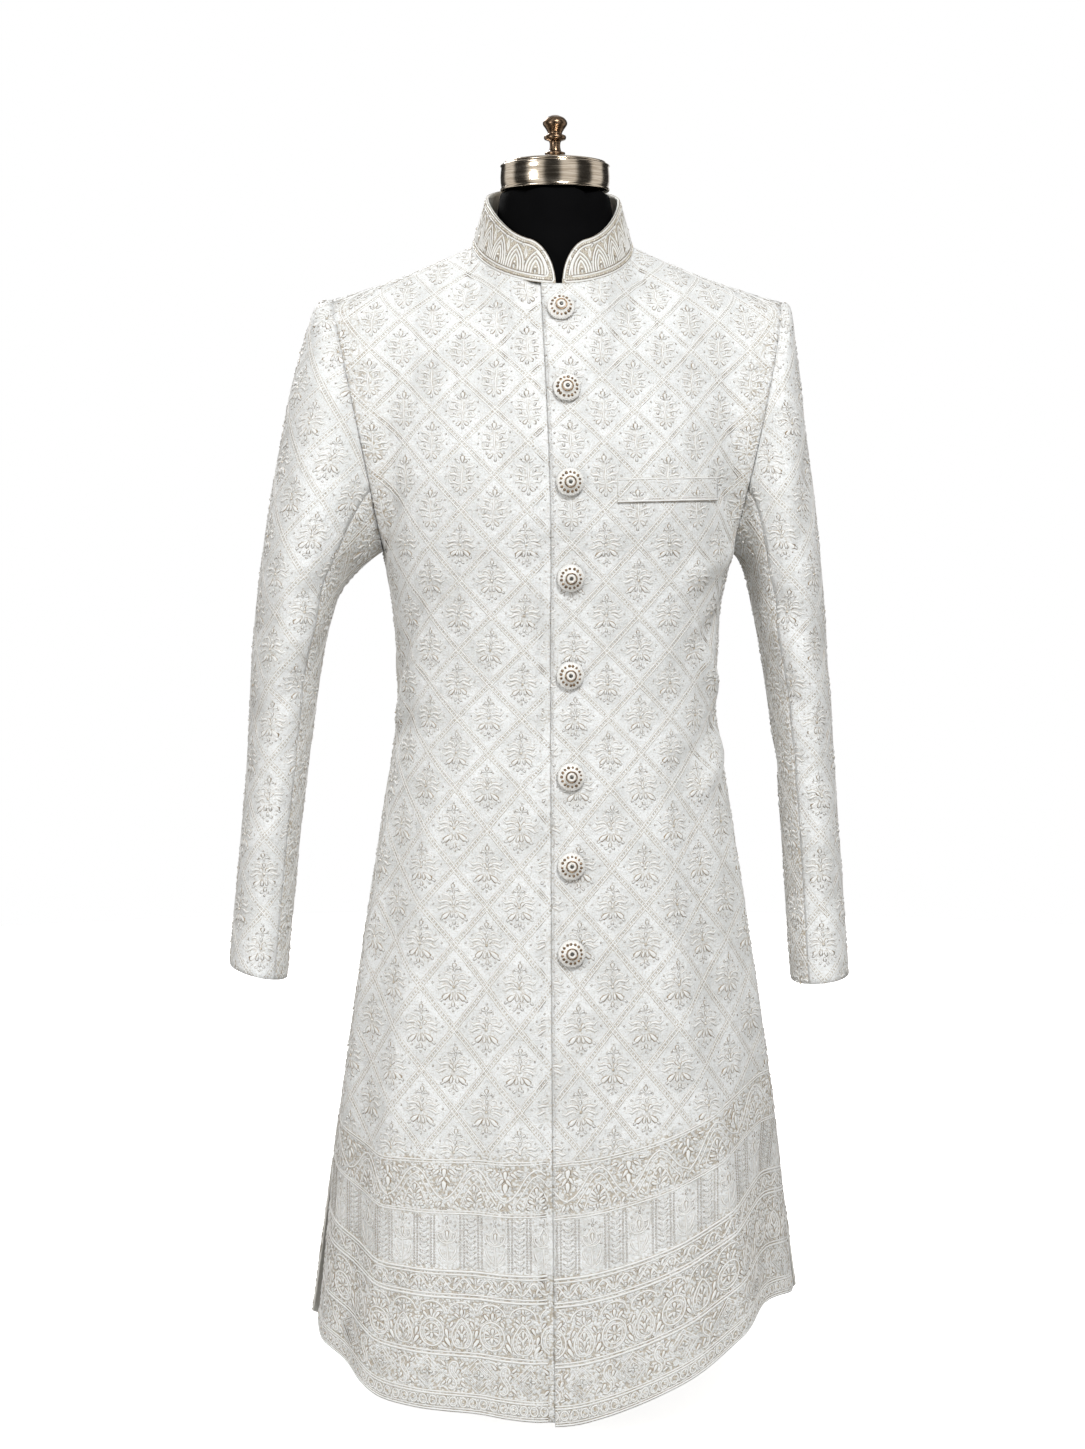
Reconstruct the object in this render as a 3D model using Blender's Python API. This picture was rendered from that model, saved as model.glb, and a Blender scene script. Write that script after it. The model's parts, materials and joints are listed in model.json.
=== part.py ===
"""Sherwani coat on a limbless dress form.

Units are metres and +Z is up. The coat faces -Y and the wearer's left side is +X.
The origin is the centre of the base plate's underside.

Every cloth piece is a wall that follows one body surface. Around the body a place is
given by a number: 0 is the centre front, 1 the wearer's left side, 2 the centre back,
and -1 (or 3) the wearer's right side. From the hem to the armpits the surface is a stack
of flattened ovals; above them each column runs up to the neckline or the shoulder seam.
"""
import math

import bmesh
import bpy
import numpy as np
from mathutils import Vector

# ---------------------------------------------------------------- driving sizes
CLOTH = 0.0020             # thickness of the brocade with its interlining
SEAM_GAP = 0.0003          # clearance between neighbouring pieces
ARMPIT_HEIGHT = 0.838
OVAL_SQUARENESS = 0.11     # how much fuller than an ellipse the body ovals are

# One row for each oval of the body: height, half width, depth to front, depth to back.
BODY_OVALS = (
    (0.015, 0.2560, 0.1780, 0.1820),
    (0.090, 0.2445, 0.1670, 0.1730),
    (0.180, 0.2320, 0.1560, 0.1630),
    (0.265, 0.2200, 0.1460, 0.1540),
    (0.347, 0.2083, 0.1370, 0.1460),
    (0.429, 0.1966, 0.1300, 0.1380),
    (0.510, 0.1840, 0.1255, 0.1300),
    (0.590, 0.1714, 0.1210, 0.1210),
    (0.670, 0.1590, 0.1155, 0.1110),
    (0.711, 0.1577, 0.1140, 0.1070),
    (0.750, 0.1595, 0.1150, 0.1070),
    (0.790, 0.1633, 0.1180, 0.1110),
    (0.838, 0.1720, 0.1220, 0.1180),
)

# Height of the hem: place around the body, height above the floor.
FRONT_LEFT_HEM = (
    (-0.10, 0.0155), (0.00, 0.0155), (0.07, 0.0215), (0.155, 0.0325), (0.23, 0.0450),
    (0.31, 0.0590), (0.40, 0.0750), (0.505, 0.0930), (0.585, 0.1035), (0.65, 0.1070),
    (0.74, 0.1070), (1.00, 0.1000),
)
FRONT_RIGHT_HEM = (
    (-1.00, 0.0800), (-0.75, 0.0640), (-0.54, 0.0430), (-0.47, 0.0345), (-0.365, 0.0314),
    (-0.27, 0.0287), (-0.195, 0.0260), (-0.135, 0.0219), (-0.065, 0.0190), (0.10, 0.0185),
)
BACK_HEM = ((1.00, 0.0960), (1.30, 0.0560), (1.65, 0.0280), (2.00, 0.0200),
            (2.35, 0.0260), (2.70, 0.0480), (3.00, 0.0790))

# Soft folds of the skirt: place, half breadth, height where the fold ends, depth (+ is outwards).
SKIRT_FOLDS = (
    (0.62, 0.17, 0.44, -0.011), (0.28, 0.15, 0.52, 0.005), (-0.34, 0.16, 0.48, 0.006),
    (-0.66, 0.16, 0.42, -0.010), (1.30, 0.16, 0.52, 0.008), (1.55, 0.14, 0.46, -0.008),
    (1.80, 0.15, 0.55, 0.007), (2.08, 0.15, 0.50, -0.008), (2.36, 0.15, 0.56, 0.008),
    (2.66, 0.16, 0.45, -0.007),
)
FOLD_FULL_HEIGHT = 0.03    # below this height a skirt fold has its full depth

SLIT_TOP = 0.290           # both side seams are open below this height
SLIT_FULL = 0.090          # and at their widest here
SLIT_FRONT_PULL = 0.075    # how far round the front's edge draws away from the side
SLIT_FRONT_TUCK = 0.0050   # and how far it sits inside the back's edge
TUCK_FROM, TUCK_TO = 0.72, 0.92   # places between which that tuck grows
HEM_HEIGHT = 0.015         # height at which the surface begins
SLIT_BASE = 0.10           # height of the slit's lower end

# Neckline, shoulder seam and armhole.
NECK_SHIFT = -0.004        # the neck stands slightly to the wearer's right
NECK_HALF_WIDTH = 0.0785
NECK_FRONT_Y = -0.083
NECK_SIDE_Y = 0.005
NECK_BACK_Y = 0.065
NECK_FRONT_HEIGHT = 1.0935
NECK_SIDE_HEIGHT = 1.1370
NECK_BACK_HEIGHT = 1.1540
NECK_SHARE = 0.42          # share of each quarter of the body that ends at the neckline
SHOULDER_TIP = (0.2200, 0.0, 1.0840)
SHOULDER_DIP = 0.0040      # the shoulder seam hangs this much below a straight line
SIDE_BLEND = 0.15          # columns are fully under the shoulder seam this far past the neck
ARMHOLE_BLEND = 0.70       # columns past this place turn towards the armhole
CORNER_SOFTENING = 0.22    # the corner between neckline and shoulder fades over this breadth
CORNER_FADE = 0.62         # and over the columns' length above this share

# How strongly the columns leave the armpit oval and arrive at their top, in metres: a larger
# pull gives a fuller chest, shoulder or armhole. Out is away from the body's middle plane.
CHEST_PULL = 0.060         # out, at the middle of the fronts
UPPER_BACK_PULL = 0.035    # out, at the middle of the back
SIDE_CHEST_PULL = 0.075    # out, under the shoulder seam
MIDDLE_RISE = 0.26         # up, at the middle
SIDE_RISE = 0.28           # up, under the shoulder seam
NECK_FALL_IN = 0.09        # inwards on arriving at the neckline
SHOULDER_FALL_IN = 0.165   # inwards on arriving at the shoulder seam
NECK_ARRIVAL = 0.22        # up on arriving at the neckline
SHOULDER_ARRIVAL = 0.030   # up on arriving at the shoulder seam
ARMHOLE_FRONT_PULL = 0.20
ARMHOLE_BACK_PULL = 0.17
ARMHOLE_RISE = 0.10
ARMHOLE_OUT_LOW = 0.015
ARMHOLE_OUT_HIGH = 0.010

# Placket.
EDGE_X_LOW = -0.0137       # edge of the left front from the hem to the chest
EDGE_X_TOP = -0.0170       # and at the neckline, measured from the neck's own centre
UNDERLAP_REACH = 0.034     # how far the right front runs under the left
UNDERLAP_RAMP = (0.0200, 0.0115, 0.0045)  # distances before the edge where it dips under
UNDERLAP_DIPS = (0.5, 1.0, 1.0, 1.0, 1.0)          # share of the dip at each column from there on
UNDERLAP_DEPTH = CLOTH + 0.0011

# Sleeves: height, how far out, how far to the back, half width, half depth.
LEFT_SLEEVE_RINGS = (
    (0.4185, 0.2597, -0.032, 0.0279, 0.0480),
    (0.4480, 0.2582, -0.026, 0.0280, 0.0490),
    (0.5090, 0.2557, -0.015, 0.0279, 0.0515),
    (0.5700, 0.2520, -0.007, 0.0275, 0.0545),
    (0.6300, 0.2478, -0.002, 0.0283, 0.0580),
    (0.6900, 0.2422, 0.001, 0.0302, 0.0620),
    (0.7500, 0.2352, 0.002, 0.0327, 0.0670),
    (0.7900, 0.2294, 0.002, 0.0351, 0.0710),
)
RIGHT_SLEEVE_RINGS = (
    (0.4300, 0.2953, -0.030, 0.0280, 0.0480),
    (0.4550, 0.2936, -0.025, 0.0282, 0.0490),
    (0.5090, 0.2883, -0.015, 0.0283, 0.0515),
    (0.5700, 0.2825, -0.007, 0.0288, 0.0545),
    (0.6300, 0.2760, -0.002, 0.0303, 0.0580),
    (0.6900, 0.2705, 0.001, 0.0326, 0.0620),
    (0.7500, 0.2640, 0.002, 0.0356, 0.0670),
    (0.7900, 0.2564, 0.002, 0.0390, 0.0715),
)
LEFT_CUFF_TILT = 0.15      # the cuff rises this much for each metre away from the body
RIGHT_CUFF_TILT = 0.25
CUFF_TILT_HEIGHT = 0.20    # the tilt fades out this far above the cuff
LEFT_HEAD_SPREAD = 0.045   # how strongly the sleeve leaves the shoulder sideways
RIGHT_HEAD_SPREAD = 0.092
SLEEVE_HEAD_ROLL = 0.0065  # roll of the sleeve head over the armhole seam
HEAD_ROLL_SHARE = 0.08     # where that roll is highest, as a share of the sleeve head
UNDERARM_SPREAD = 0.035    # how strongly the sleeve leaves the armpit sideways
FRONT_LEAVE = 0.045        # and the armhole's front and back
UNDERARM_DROP = 0.02
SLEEVE_HEAD_SHARES = (1.0, 0.86, 0.72, 0.58, 0.44, 0.30, 0.18, 0.09, 0.03, 0.0)
SLEEVE_RING_ROWS = 9       # rows from the cuff to the highest ring
TOP_SLEEVE_COLUMNS = 12
UNDER_SLEEVE_COLUMNS = 6
FRONT_SLEEVE_SEAM = 1.42   # places of the two seams around the sleeve: 0 outer side,
BACK_SLEEVE_SEAM = -1.30   # 1 front, 2 inner side, -1 back

# Band collar.
COLLAR_FRONT_HEIGHT = 0.0400
COLLAR_SIDE_HEIGHT = 0.0460
COLLAR_CORNER = 0.030      # radius of the rounded front corners
COLLAR_HALF_GAP = 0.0033
COLLAR_LEAN = 0.30         # how far the band leans inwards for each metre of its height
COLLAR_THICKNESS = 0.0026
COLLAR_LIFT = 0.0006       # clearance over the neckline
COLLAR_RISE_FROM, COLLAR_RISE_TO = 0.03, 0.10   # metres from the front over which it gains height
COLLAR_END_SHARE = 0.12    # the very front still has this share of the height
# Columns from each front end to the side of the neck, closer together around the corner.
COLLAR_FRONT_COLUMNS = (0.0, 0.06, 0.14, 0.24, 0.36, 0.50, 0.75, 1.0)
COLLAR_BACK_COLUMNS = 10
COLLAR_ROWS = (0.0, 0.33, 0.67, 1.0)

# Buttons on the left front.
# One row for each button: height, x, clearance of its back over the curved front. The
# chest's flat facets lie a little inside the curve, so the top one sits closer to it.
BUTTONS = (
    (1.0700, -0.0030, 0.0000), (0.9930, 0.0010, 0.0006), (0.9050, 0.0030, 0.0006),
    (0.8150, 0.0045, 0.0006), (0.7225, 0.0045, 0.0006), (0.6260, 0.0050, 0.0006),
    (0.5416, 0.0050, 0.0006), (0.4586, 0.0050, 0.0006),
)
BUTTON_RADIUS = 0.0135
# Turned profile of a button: share of the radius, height above its back.
BUTTON_PROFILE = ((0.80, 0.0), (1.00, 0.0022), (0.96, 0.0044), (0.78, 0.0054), (0.66, 0.0056),
                  (0.50, 0.0082), (0.26, 0.0096))
BUTTON_TOP = 0.0101
BUTTON_SIDES = 16

# Breast pocket welt.
WELT_INNER_X = 0.0480
WELT_OUTER_X = 0.1480
WELT_TOP = 0.9085
WELT_HEIGHT = 0.0225
WELT_RISE = 0.0025         # the outer end stands this much higher
WELT_THICKNESS = 0.0016
WELT_COLUMNS = 9
WELT_ROWS = 4

# Dress form.
FORM_OVALS = (
    (0.4050, 0.1180, 0.0780, 0.0880),
    (0.4150, 0.1480, 0.0980, 0.1080),
    (0.4400, 0.1620, 0.1060, 0.1160),
    (0.5100, 0.1660, 0.1080, 0.1150),
    (0.5900, 0.1560, 0.1050, 0.1070),
    (0.6700, 0.1460, 0.1010, 0.0980),
    (0.7110, 0.1440, 0.1000, 0.0950),
    (0.7900, 0.1500, 0.1050, 0.0990),
    (0.8380, 0.1570, 0.1085, 0.1050),
)
SHOULDER_REST = 0.0012     # the coat rests this close over the form's shoulders
THROAT_REST = 0.0080       # and stands off its throat, where both fronts lie
NAPE_REST = 0.0035         # and its nape
CHEST_REST = 0.0120        # and hangs this far off its chest
CHEST_REST_TO = 0.8        # share of the column above which the form lies close again
FORM_BODY_ROWS = 8         # rows from the hips to the armpit
ARM_CAP_BULGE = 0.007
ARM_CAP_RIM = 0.45         # the cap's inner ring lies this share of the way to its middle
SAME_SPOT = 1e-6
NECK_TOP = 1.1885
# Neck rings above the shoulders: share of the rise to the neck's top, half width, half depth, centre y.
NECK_RINGS = ((0.05, 0.0700, 0.0650, -0.0090), (0.22, 0.0640, 0.0605, -0.0075),
              (0.48, 0.0580, 0.0563, -0.0060), (1.00, 0.0545, 0.0545, -0.0055))
NECK_CENTRE = (NECK_SHIFT + 0.0015, -0.0055)
BAND_BOTTOM = 1.1888
BAND_TOP = 1.2144
BAND_RADIUS = 0.0535
BAND_BEVEL = 0.0012
CAP_TOP = 1.2230
STEM_TOP = 1.2620
# Turned profiles: height, radius.
BAND_PROFILE = ((BAND_BOTTOM, BAND_RADIUS - BAND_BEVEL), (BAND_BOTTOM + BAND_BEVEL, BAND_RADIUS),
                (BAND_TOP - BAND_BEVEL, BAND_RADIUS), (BAND_TOP, BAND_RADIUS - BAND_BEVEL))
CAP_PROFILE = ((BAND_TOP + SEAM_GAP, 0.0500), (BAND_TOP + 0.0022, 0.0500), (1.2195, 0.0330),
               (1.2215, 0.0180), (CAP_TOP, 0.0125))
STEM_PROFILE = ((CAP_TOP + SEAM_GAP, 0.0092), (1.2262, 0.0098), (1.2275, 0.0062), (1.2370, 0.0058),
                (1.2385, 0.0100), (1.2425, 0.0104), (1.2440, 0.0070), (1.2480, 0.0085),
                (1.2540, 0.0120), (1.2595, 0.0090), (STEM_TOP, 0.0035))
POLE_RADIUS = 0.0140
BASE_RADIUS = 0.1000
BASE_THICKNESS = 0.0100
BASE_PROFILE = ((0.0, BASE_RADIUS - 0.002), (0.0, BASE_RADIUS), (BASE_THICKNESS - 0.002, BASE_RADIUS),
                (BASE_THICKNESS, BASE_RADIUS - 0.002), (BASE_THICKNESS, 0.040),
                (BASE_THICKNESS + 0.012, 0.022))
ROUND_SIDES = 32
SLIM_SIDES = 20            # for the stem and the pole

# Looks: colour, roughness, metallic.
IVORY = ((0.76, 0.76, 0.73), 0.62)
BUTTON_LOOK = ((0.58, 0.54, 0.47), 0.45)
BLACK_FORM = ((0.010, 0.010, 0.011), 0.45)
GOLD = ((0.78, 0.66, 0.48), 0.16, 1.0)
BRONZE = ((0.20, 0.13, 0.08), 0.30, 1.0)
STEEL = ((0.30, 0.30, 0.31), 0.35, 1.0)

# Mesh density.
LOWER_ROWS = 15            # rows from hem to armpit
UPPER_ROWS = 9             # rows from armpit to neck and shoulder
NECK_COLUMNS = 5           # columns from the middle to the side of the neck
SHOULDER_COLUMNS = 7       # and from there to the side
SEARCH_ROUNDS = 40
METRES_AROUND = 0.45       # more than one place around measures, so a search closes in gently
METRES_UP = 0.40           # more than the rise from the armpit to the top
SHARP_ANGLE = 40.0         # degrees


# ---------------------------------------------------------------- small tools
def clear_scene():
    for leftover in list(bpy.data.objects):
        bpy.data.objects.remove(leftover, do_unlink=True)


def blend(low, high, value):
    """Smooth step from 0 at low to 1 at high."""
    share = min(max((value - low) / (high - low), 0.0), 1.0)
    return share * share * (3.0 - 2.0 * share)


def mix(first, second, share):
    return first + (second - first) * share


def from_table(table, key, column):
    """Smooth value of one column of a table whose first column rises."""
    keys = [row[0] for row in table]
    values = [row[column] for row in table]
    last = len(keys) - 1
    key = min(max(key, keys[0]), keys[last])
    index = 0
    while index < last - 1 and key > keys[index + 1]:
        index += 1

    def slope(at):
        before = max(at - 1, 0)
        after = min(at + 1, last)
        return (values[after] - values[before]) / (keys[after] - keys[before])

    span = keys[index + 1] - keys[index]
    share = (key - keys[index]) / span
    return float(curve(values[index], slope(index) * span, values[index + 1],
                       slope(index + 1) * span, share))


def curve(start, start_pull, end, end_pull, share):
    """Cubic Hermite curve between two points (or numbers) with the given end pulls."""
    square = share * share
    cube = square * share
    return (start * (2 * cube - 3 * square + 1) + start_pull * (cube - 2 * square + share)
            + end * (3 * square - 2 * cube) + end_pull * (cube - square))


def plain_material(name, colour, roughness, metallic=0.0):
    material = bpy.data.materials.new(name)
    material.use_nodes = True
    shader = material.node_tree.nodes["Principled BSDF"]
    shader.inputs["Base Color"].default_value = (*colour, 1.0)
    shader.inputs["Roughness"].default_value = roughness
    shader.inputs["Metallic"].default_value = metallic
    return material


def add_object(name, mesh_data, look, smooth=True):
    """Turn a bmesh into an object with its own material."""
    mesh = bpy.data.meshes.new(name)
    mesh_data.to_mesh(mesh)
    mesh_data.free()
    mesh.materials.append(plain_material(name + "_finish", *look))
    if smooth:
        mesh.shade_smooth()
        mesh.set_sharp_from_angle(angle=math.radians(SHARP_ANGLE))
    piece = bpy.data.objects.new(name, mesh)
    bpy.context.scene.collection.objects.link(piece)
    return piece


def grid_normals(points):
    """Outward unit normals of a grid of points [row up][column around]."""
    up = np.gradient(points, axis=0)
    around = np.gradient(points, axis=1)
    normal = np.cross(around, up)
    return normal / np.linalg.norm(normal, axis=2, keepdims=True)


def wall(name, points, thickness, look, normals=None):
    """A closed cloth wall whose outer face is the grid of points."""
    points = np.array(points, dtype=float)
    if normals is None:
        normals = grid_normals(points)
    inner = points - thickness * normals
    rows, columns = points.shape[:2]
    mesh_data = bmesh.new()
    faces = [[[mesh_data.verts.new(Vector(side[r][c])) for c in range(columns)]
              for r in range(rows)] for side in (points, inner)]
    outside, inside = faces
    for r in range(rows - 1):
        for c in range(columns - 1):
            add_quad(mesh_data, outside[r][c], outside[r][c + 1], outside[r + 1][c + 1], outside[r + 1][c])
            add_quad(mesh_data, inside[r][c], inside[r + 1][c], inside[r + 1][c + 1], inside[r][c + 1])
    for r in range(rows - 1):
        add_quad(mesh_data, outside[r][0], outside[r + 1][0], inside[r + 1][0], inside[r][0])
        add_quad(mesh_data, outside[r + 1][-1], outside[r][-1], inside[r][-1], inside[r + 1][-1])
    for c in range(columns - 1):
        add_quad(mesh_data, outside[0][c + 1], outside[0][c], inside[0][c], inside[0][c + 1])
        add_quad(mesh_data, outside[-1][c], outside[-1][c + 1], inside[-1][c + 1], inside[-1][c])
    return add_object(name, mesh_data, look)


def add_quad(mesh_data, first, second, third, fourth):
    """Two triangles split along the first to third corner, the same way everywhere."""
    mesh_data.faces.new((first, second, third))
    mesh_data.faces.new((first, third, fourth))


def turned(name, profile, centre, look, sides=ROUND_SIDES):
    """A solid turned about a vertical axis from (height, radius) rows, lowest first."""
    mesh_data = bmesh.new()
    rings = []
    for height, radius in profile:
        ring = []
        for step in range(sides):
            angle = 2.0 * math.pi * step / sides
            ring.append(mesh_data.verts.new((centre[0] + radius * math.cos(angle),
                                             centre[1] + radius * math.sin(angle), height)))
        rings.append(ring)
    for low, high in zip(rings, rings[1:]):
        for step in range(sides):
            after = (step + 1) % sides
            mesh_data.faces.new((low[step], low[after], high[after], high[step]))
    mesh_data.faces.new(list(reversed(rings[0])))
    mesh_data.faces.new(rings[-1])
    return add_object(name, mesh_data, look)


# ---------------------------------------------------------------- the coat's surface
def oval_point(table, height, around):
    half_width = from_table(table, height, 1)
    angle = around * math.pi / 2.0
    side = math.sin(angle)
    facing = math.cos(angle)
    depth = from_table(table, height, 2 if facing >= 0.0 else 3)
    return np.array([half_width * (side + OVAL_SQUARENESS * side * facing * facing),
                     -depth * (facing + OVAL_SQUARENESS * facing * side * side), height])


def skirt_fold(height, around):
    depth = 0.0
    for place, breadth, top, size in SKIRT_FOLDS:
        near = 1.0 - abs(around - place) / breadth
        if near > 0.0 and height < top:
            depth += size * near * near * (3.0 - 2.0 * near) * (1.0 - blend(FOLD_FULL_HEIGHT, top, height))
    return depth


def slit_opening(height):
    return 1.0 - blend(SLIT_FULL, SLIT_TOP, height)


def outward(around):
    angle = around * math.pi / 2.0
    return np.array([math.sin(angle), -math.cos(angle), 0.0])


def neckline_point(around):
    """Point of the neckline; around runs from -NECK_SHARE to NECK_SHARE at the front,
    and from 2 - NECK_SHARE to 2 + NECK_SHARE at the back."""
    if abs(around) <= 1.0:
        angle = around / NECK_SHARE * math.pi / 2.0
        rise = 1.0 - math.cos(angle)
        y = mix(NECK_FRONT_Y, NECK_SIDE_Y, rise)
        height = mix(NECK_FRONT_HEIGHT, NECK_SIDE_HEIGHT, rise)
    else:
        angle = (2.0 - around) / NECK_SHARE * math.pi / 2.0
        facing = math.cos(angle)
        y = mix(NECK_SIDE_Y, NECK_BACK_Y, facing)
        height = mix(NECK_SIDE_HEIGHT, NECK_BACK_HEIGHT, facing)
    return np.array([NECK_SHIFT + NECK_HALF_WIDTH * math.sin(angle), y, height])


def shoulder_point(share, side):
    """Point of the shoulder seam from the neck (0) to the tip (1); side is 1 or -1."""
    neck = np.array([NECK_SHIFT + side * NECK_HALF_WIDTH, NECK_SIDE_Y, NECK_SIDE_HEIGHT])
    tip = np.array([side * SHOULDER_TIP[0], SHOULDER_TIP[1], SHOULDER_TIP[2]])
    point = mix(neck, tip, share)
    point[2] -= SHOULDER_DIP * 4.0 * share * (1.0 - share)
    return point


def top_point(from_middle, front):
    """Point of the neckline or shoulder seam; from_middle runs from -1 to 1."""
    reach = abs(from_middle)
    if reach <= NECK_SHARE:
        return neckline_point(from_middle if front else 2.0 - from_middle)
    side = 1.0 if from_middle > 0.0 else -1.0
    return shoulder_point((reach - NECK_SHARE) / (1.0 - NECK_SHARE), side)


def softened_top(from_middle, front):
    """The same edge with its corner at the neck rounded off."""
    reach = abs(from_middle)
    spread = min(CORNER_SOFTENING, reach, 1.0 - reach)
    total = 0.0
    for step, weight in ((-1.0, 1.0), (-0.5, 2.0), (0.0, 2.0), (0.5, 2.0), (1.0, 1.0)):
        total = total + weight / 8.0 * top_point(from_middle + step * spread, front)
    return total


def column_ends(around, front):
    """Softened top of a column, what the true top adds, and the pulls at both ends."""
    facing = -1.0 if front else 1.0
    from_middle = around if front else 2.0 - around
    side = 1.0 if from_middle >= 0.0 else -1.0
    reach = abs(from_middle)
    to_shoulder = blend(0.0, NECK_SHARE + SIDE_BLEND, reach)
    to_armhole = blend(ARMHOLE_BLEND, 1.0, reach)
    top = softened_top(from_middle, front)
    corner = top_point(from_middle, front) - top
    middle = CHEST_PULL if front else UPPER_BACK_PULL
    armhole = ARMHOLE_FRONT_PULL if front else ARMHOLE_BACK_PULL
    low_pull = np.array([0.0, facing * mix(middle, SIDE_CHEST_PULL, to_shoulder),
                         mix(MIDDLE_RISE, SIDE_RISE, to_shoulder)])
    high_pull = np.array([0.0, -facing * mix(NECK_FALL_IN, SHOULDER_FALL_IN, to_shoulder),
                          mix(NECK_ARRIVAL, SHOULDER_ARRIVAL, to_shoulder)])
    armhole_low = np.array([side * ARMHOLE_OUT_LOW, facing * armhole, ARMHOLE_RISE])
    armhole_high = np.array([side * ARMHOLE_OUT_HIGH, -facing * armhole, ARMHOLE_RISE])
    return top, corner, mix(low_pull, armhole_low, to_armhole), mix(high_pull, armhole_high, to_armhole)


def lower_point(height, around):
    point = oval_point(BODY_OVALS, height, around)
    return point + outward(around) * skirt_fold(height, around)


def upper_point(share, around, front=True):
    start = oval_point(BODY_OVALS, ARMPIT_HEIGHT, around)
    top, corner, low_pull, high_pull = column_ends(around, front)
    return curve(start, low_pull, top, high_pull, share) + corner * blend(CORNER_FADE, 1.0, share)


def panel_grid(hem, rows_around, front=True):
    """Grid of a panel: hem table, and a function giving the places around for a level.

    A level runs from 0 at the hem to 1 at the armpit and 2 at the top."""
    points = []
    for row in range(LOWER_ROWS):
        level = row / LOWER_ROWS
        points.append([])
        for around in rows_around(level):
            low = from_table(hem, around, 1)
            points[-1].append(lower_point(mix(low, ARMPIT_HEIGHT, level), around))
    for row in range(UPPER_ROWS + 1):
        share = row / UPPER_ROWS
        points.append([upper_point(share, around, front) for around in rows_around(1.0 + share)])
    return np.array(points)


def around_at_x(x, level):
    """Place around the body of a point x metres from the middle, near the centre front."""
    wide = from_table(BODY_OVALS, mix(HEM_HEIGHT, ARMPIT_HEIGHT, min(level, 1.0)), 1)
    low = x / (wide * (1.0 + OVAL_SQUARENESS) * math.pi / 2.0)
    high = x / NECK_HALF_WIDTH * NECK_SHARE * 2.0 / math.pi
    return mix(low, high, max(level - 1.0, 0.0))


def placket_edge_x(level):
    return mix(EDGE_X_LOW, EDGE_X_TOP, max(level - 1.0, 0.0))


def side_end(level):
    """Place where a front ends at the side, drawn forward along the slit."""
    return 1.0 - SLIT_FRONT_PULL * slit_opening(mix(SLIT_BASE, ARMPIT_HEIGHT, min(level, 1.0)))


def tuck_front_edge(points, places):
    """Sink the slit edge of a front inside the back's edge."""
    for r, row in enumerate(points):
        for c in range(len(row)):
            around = places[r][c]
            sink = SLIT_FRONT_TUCK * slit_opening(row[c][2]) * blend(TUCK_FROM, TUCK_TO, abs(around))
            row[c] -= outward(around) * sink
    return points


def columns_between(start, neck, end, near, far):
    """Places from start to end with one column on the corner of neck and shoulder."""
    return ([mix(start, neck, c / near) for c in range(near)]
            + [mix(neck, end, c / far) for c in range(far + 1)])


def front_left_places(level):
    start = around_at_x(placket_edge_x(level), level)
    return columns_between(start, NECK_SHARE, side_end(level), NECK_COLUMNS, SHOULDER_COLUMNS)


def front_right_places(level):
    edge = placket_edge_x(level)
    start = -side_end(level)
    ramp = around_at_x(edge - UNDERLAP_RAMP[0], level)
    places = columns_between(start, -NECK_SHARE, ramp, SHOULDER_COLUMNS, NECK_COLUMNS)
    for distance in UNDERLAP_RAMP[1:]:
        places.append(around_at_x(edge - distance, level))
    for step in (1, 2, 3):
        places.append(around_at_x(edge + UNDERLAP_REACH * step / 3, level))
    return places


def back_places(_level):
    left = columns_between(1.0, 2.0 - NECK_SHARE, 2.0, SHOULDER_COLUMNS, NECK_COLUMNS)
    return left + [4.0 - place for place in reversed(left[:-1])]


def top_places(rows_around):
    return on_shoulder(rows_around(2.0))


def levels():
    return ([row / LOWER_ROWS for row in range(LOWER_ROWS)]
            + [1.0 + row / UPPER_ROWS for row in range(UPPER_ROWS + 1)])


# ---------------------------------------------------------------- seams between panels
def trim_edges(points, first=0.0, last=0.0, top=0.0):
    """Draw the first column, last column or top row back along the surface."""
    points = points.copy()
    for column, beside, amount in ((0, 1, first), (-1, -2, last)):
        if amount:
            run = points[:, beside] - points[:, column]
            length = np.linalg.norm(run, axis=1, keepdims=True)
            points[:, column] += run / length * amount
    if top:
        run = points[-2] - points[-1]
        points[-1] += run / np.linalg.norm(run, axis=1, keepdims=True) * top
    return points


def seam_normals(points, seam_columns):
    """Normals that stand square to the shoulder seam along the top row."""
    normals = grid_normals(points)
    normals[-1, seam_columns, 1] = 0.0
    return normals / np.linalg.norm(normals, axis=2, keepdims=True)


def on_shoulder(places):
    """Which of the top row's places lie on the shoulder seam."""
    from_middle = [place if abs(place) <= 1.0 else 2.0 - place for place in places]
    return np.array([abs(place) > NECK_SHARE - SAME_SPOT for place in from_middle])


def front_left_points():
    points = panel_grid(FRONT_LEFT_HEM, front_left_places)
    points = tuck_front_edge(points, [front_left_places(level) for level in levels()])
    return trim_edges(points, last=SEAM_GAP, top=SEAM_GAP)


def front_right_points():
    places = [front_right_places(level) for level in levels()]
    points = tuck_front_edge(panel_grid(FRONT_RIGHT_HEM, front_right_places), places)
    normals = grid_normals(points)
    ramp_start = NECK_COLUMNS + SHOULDER_COLUMNS
    for offset, dip in enumerate(UNDERLAP_DIPS, start=1):
        points[:, ramp_start + offset] -= normals[:, ramp_start + offset] * UNDERLAP_DEPTH * dip
    return trim_edges(points, first=SEAM_GAP, top=SEAM_GAP)


def back_points():
    points = panel_grid(BACK_HEM, back_places, front=False)
    return trim_edges(points, first=SEAM_GAP, last=SEAM_GAP, top=SEAM_GAP)


def make_body_panels():
    panels = (("front_left", front_left_points(), front_left_places),
              ("front_right", front_right_points(), front_right_places),
              ("back", back_points(), back_places))
    for name, points, places in panels:
        wall(name, points, CLOTH, IVORY, seam_normals(points, top_places(places)))


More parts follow.
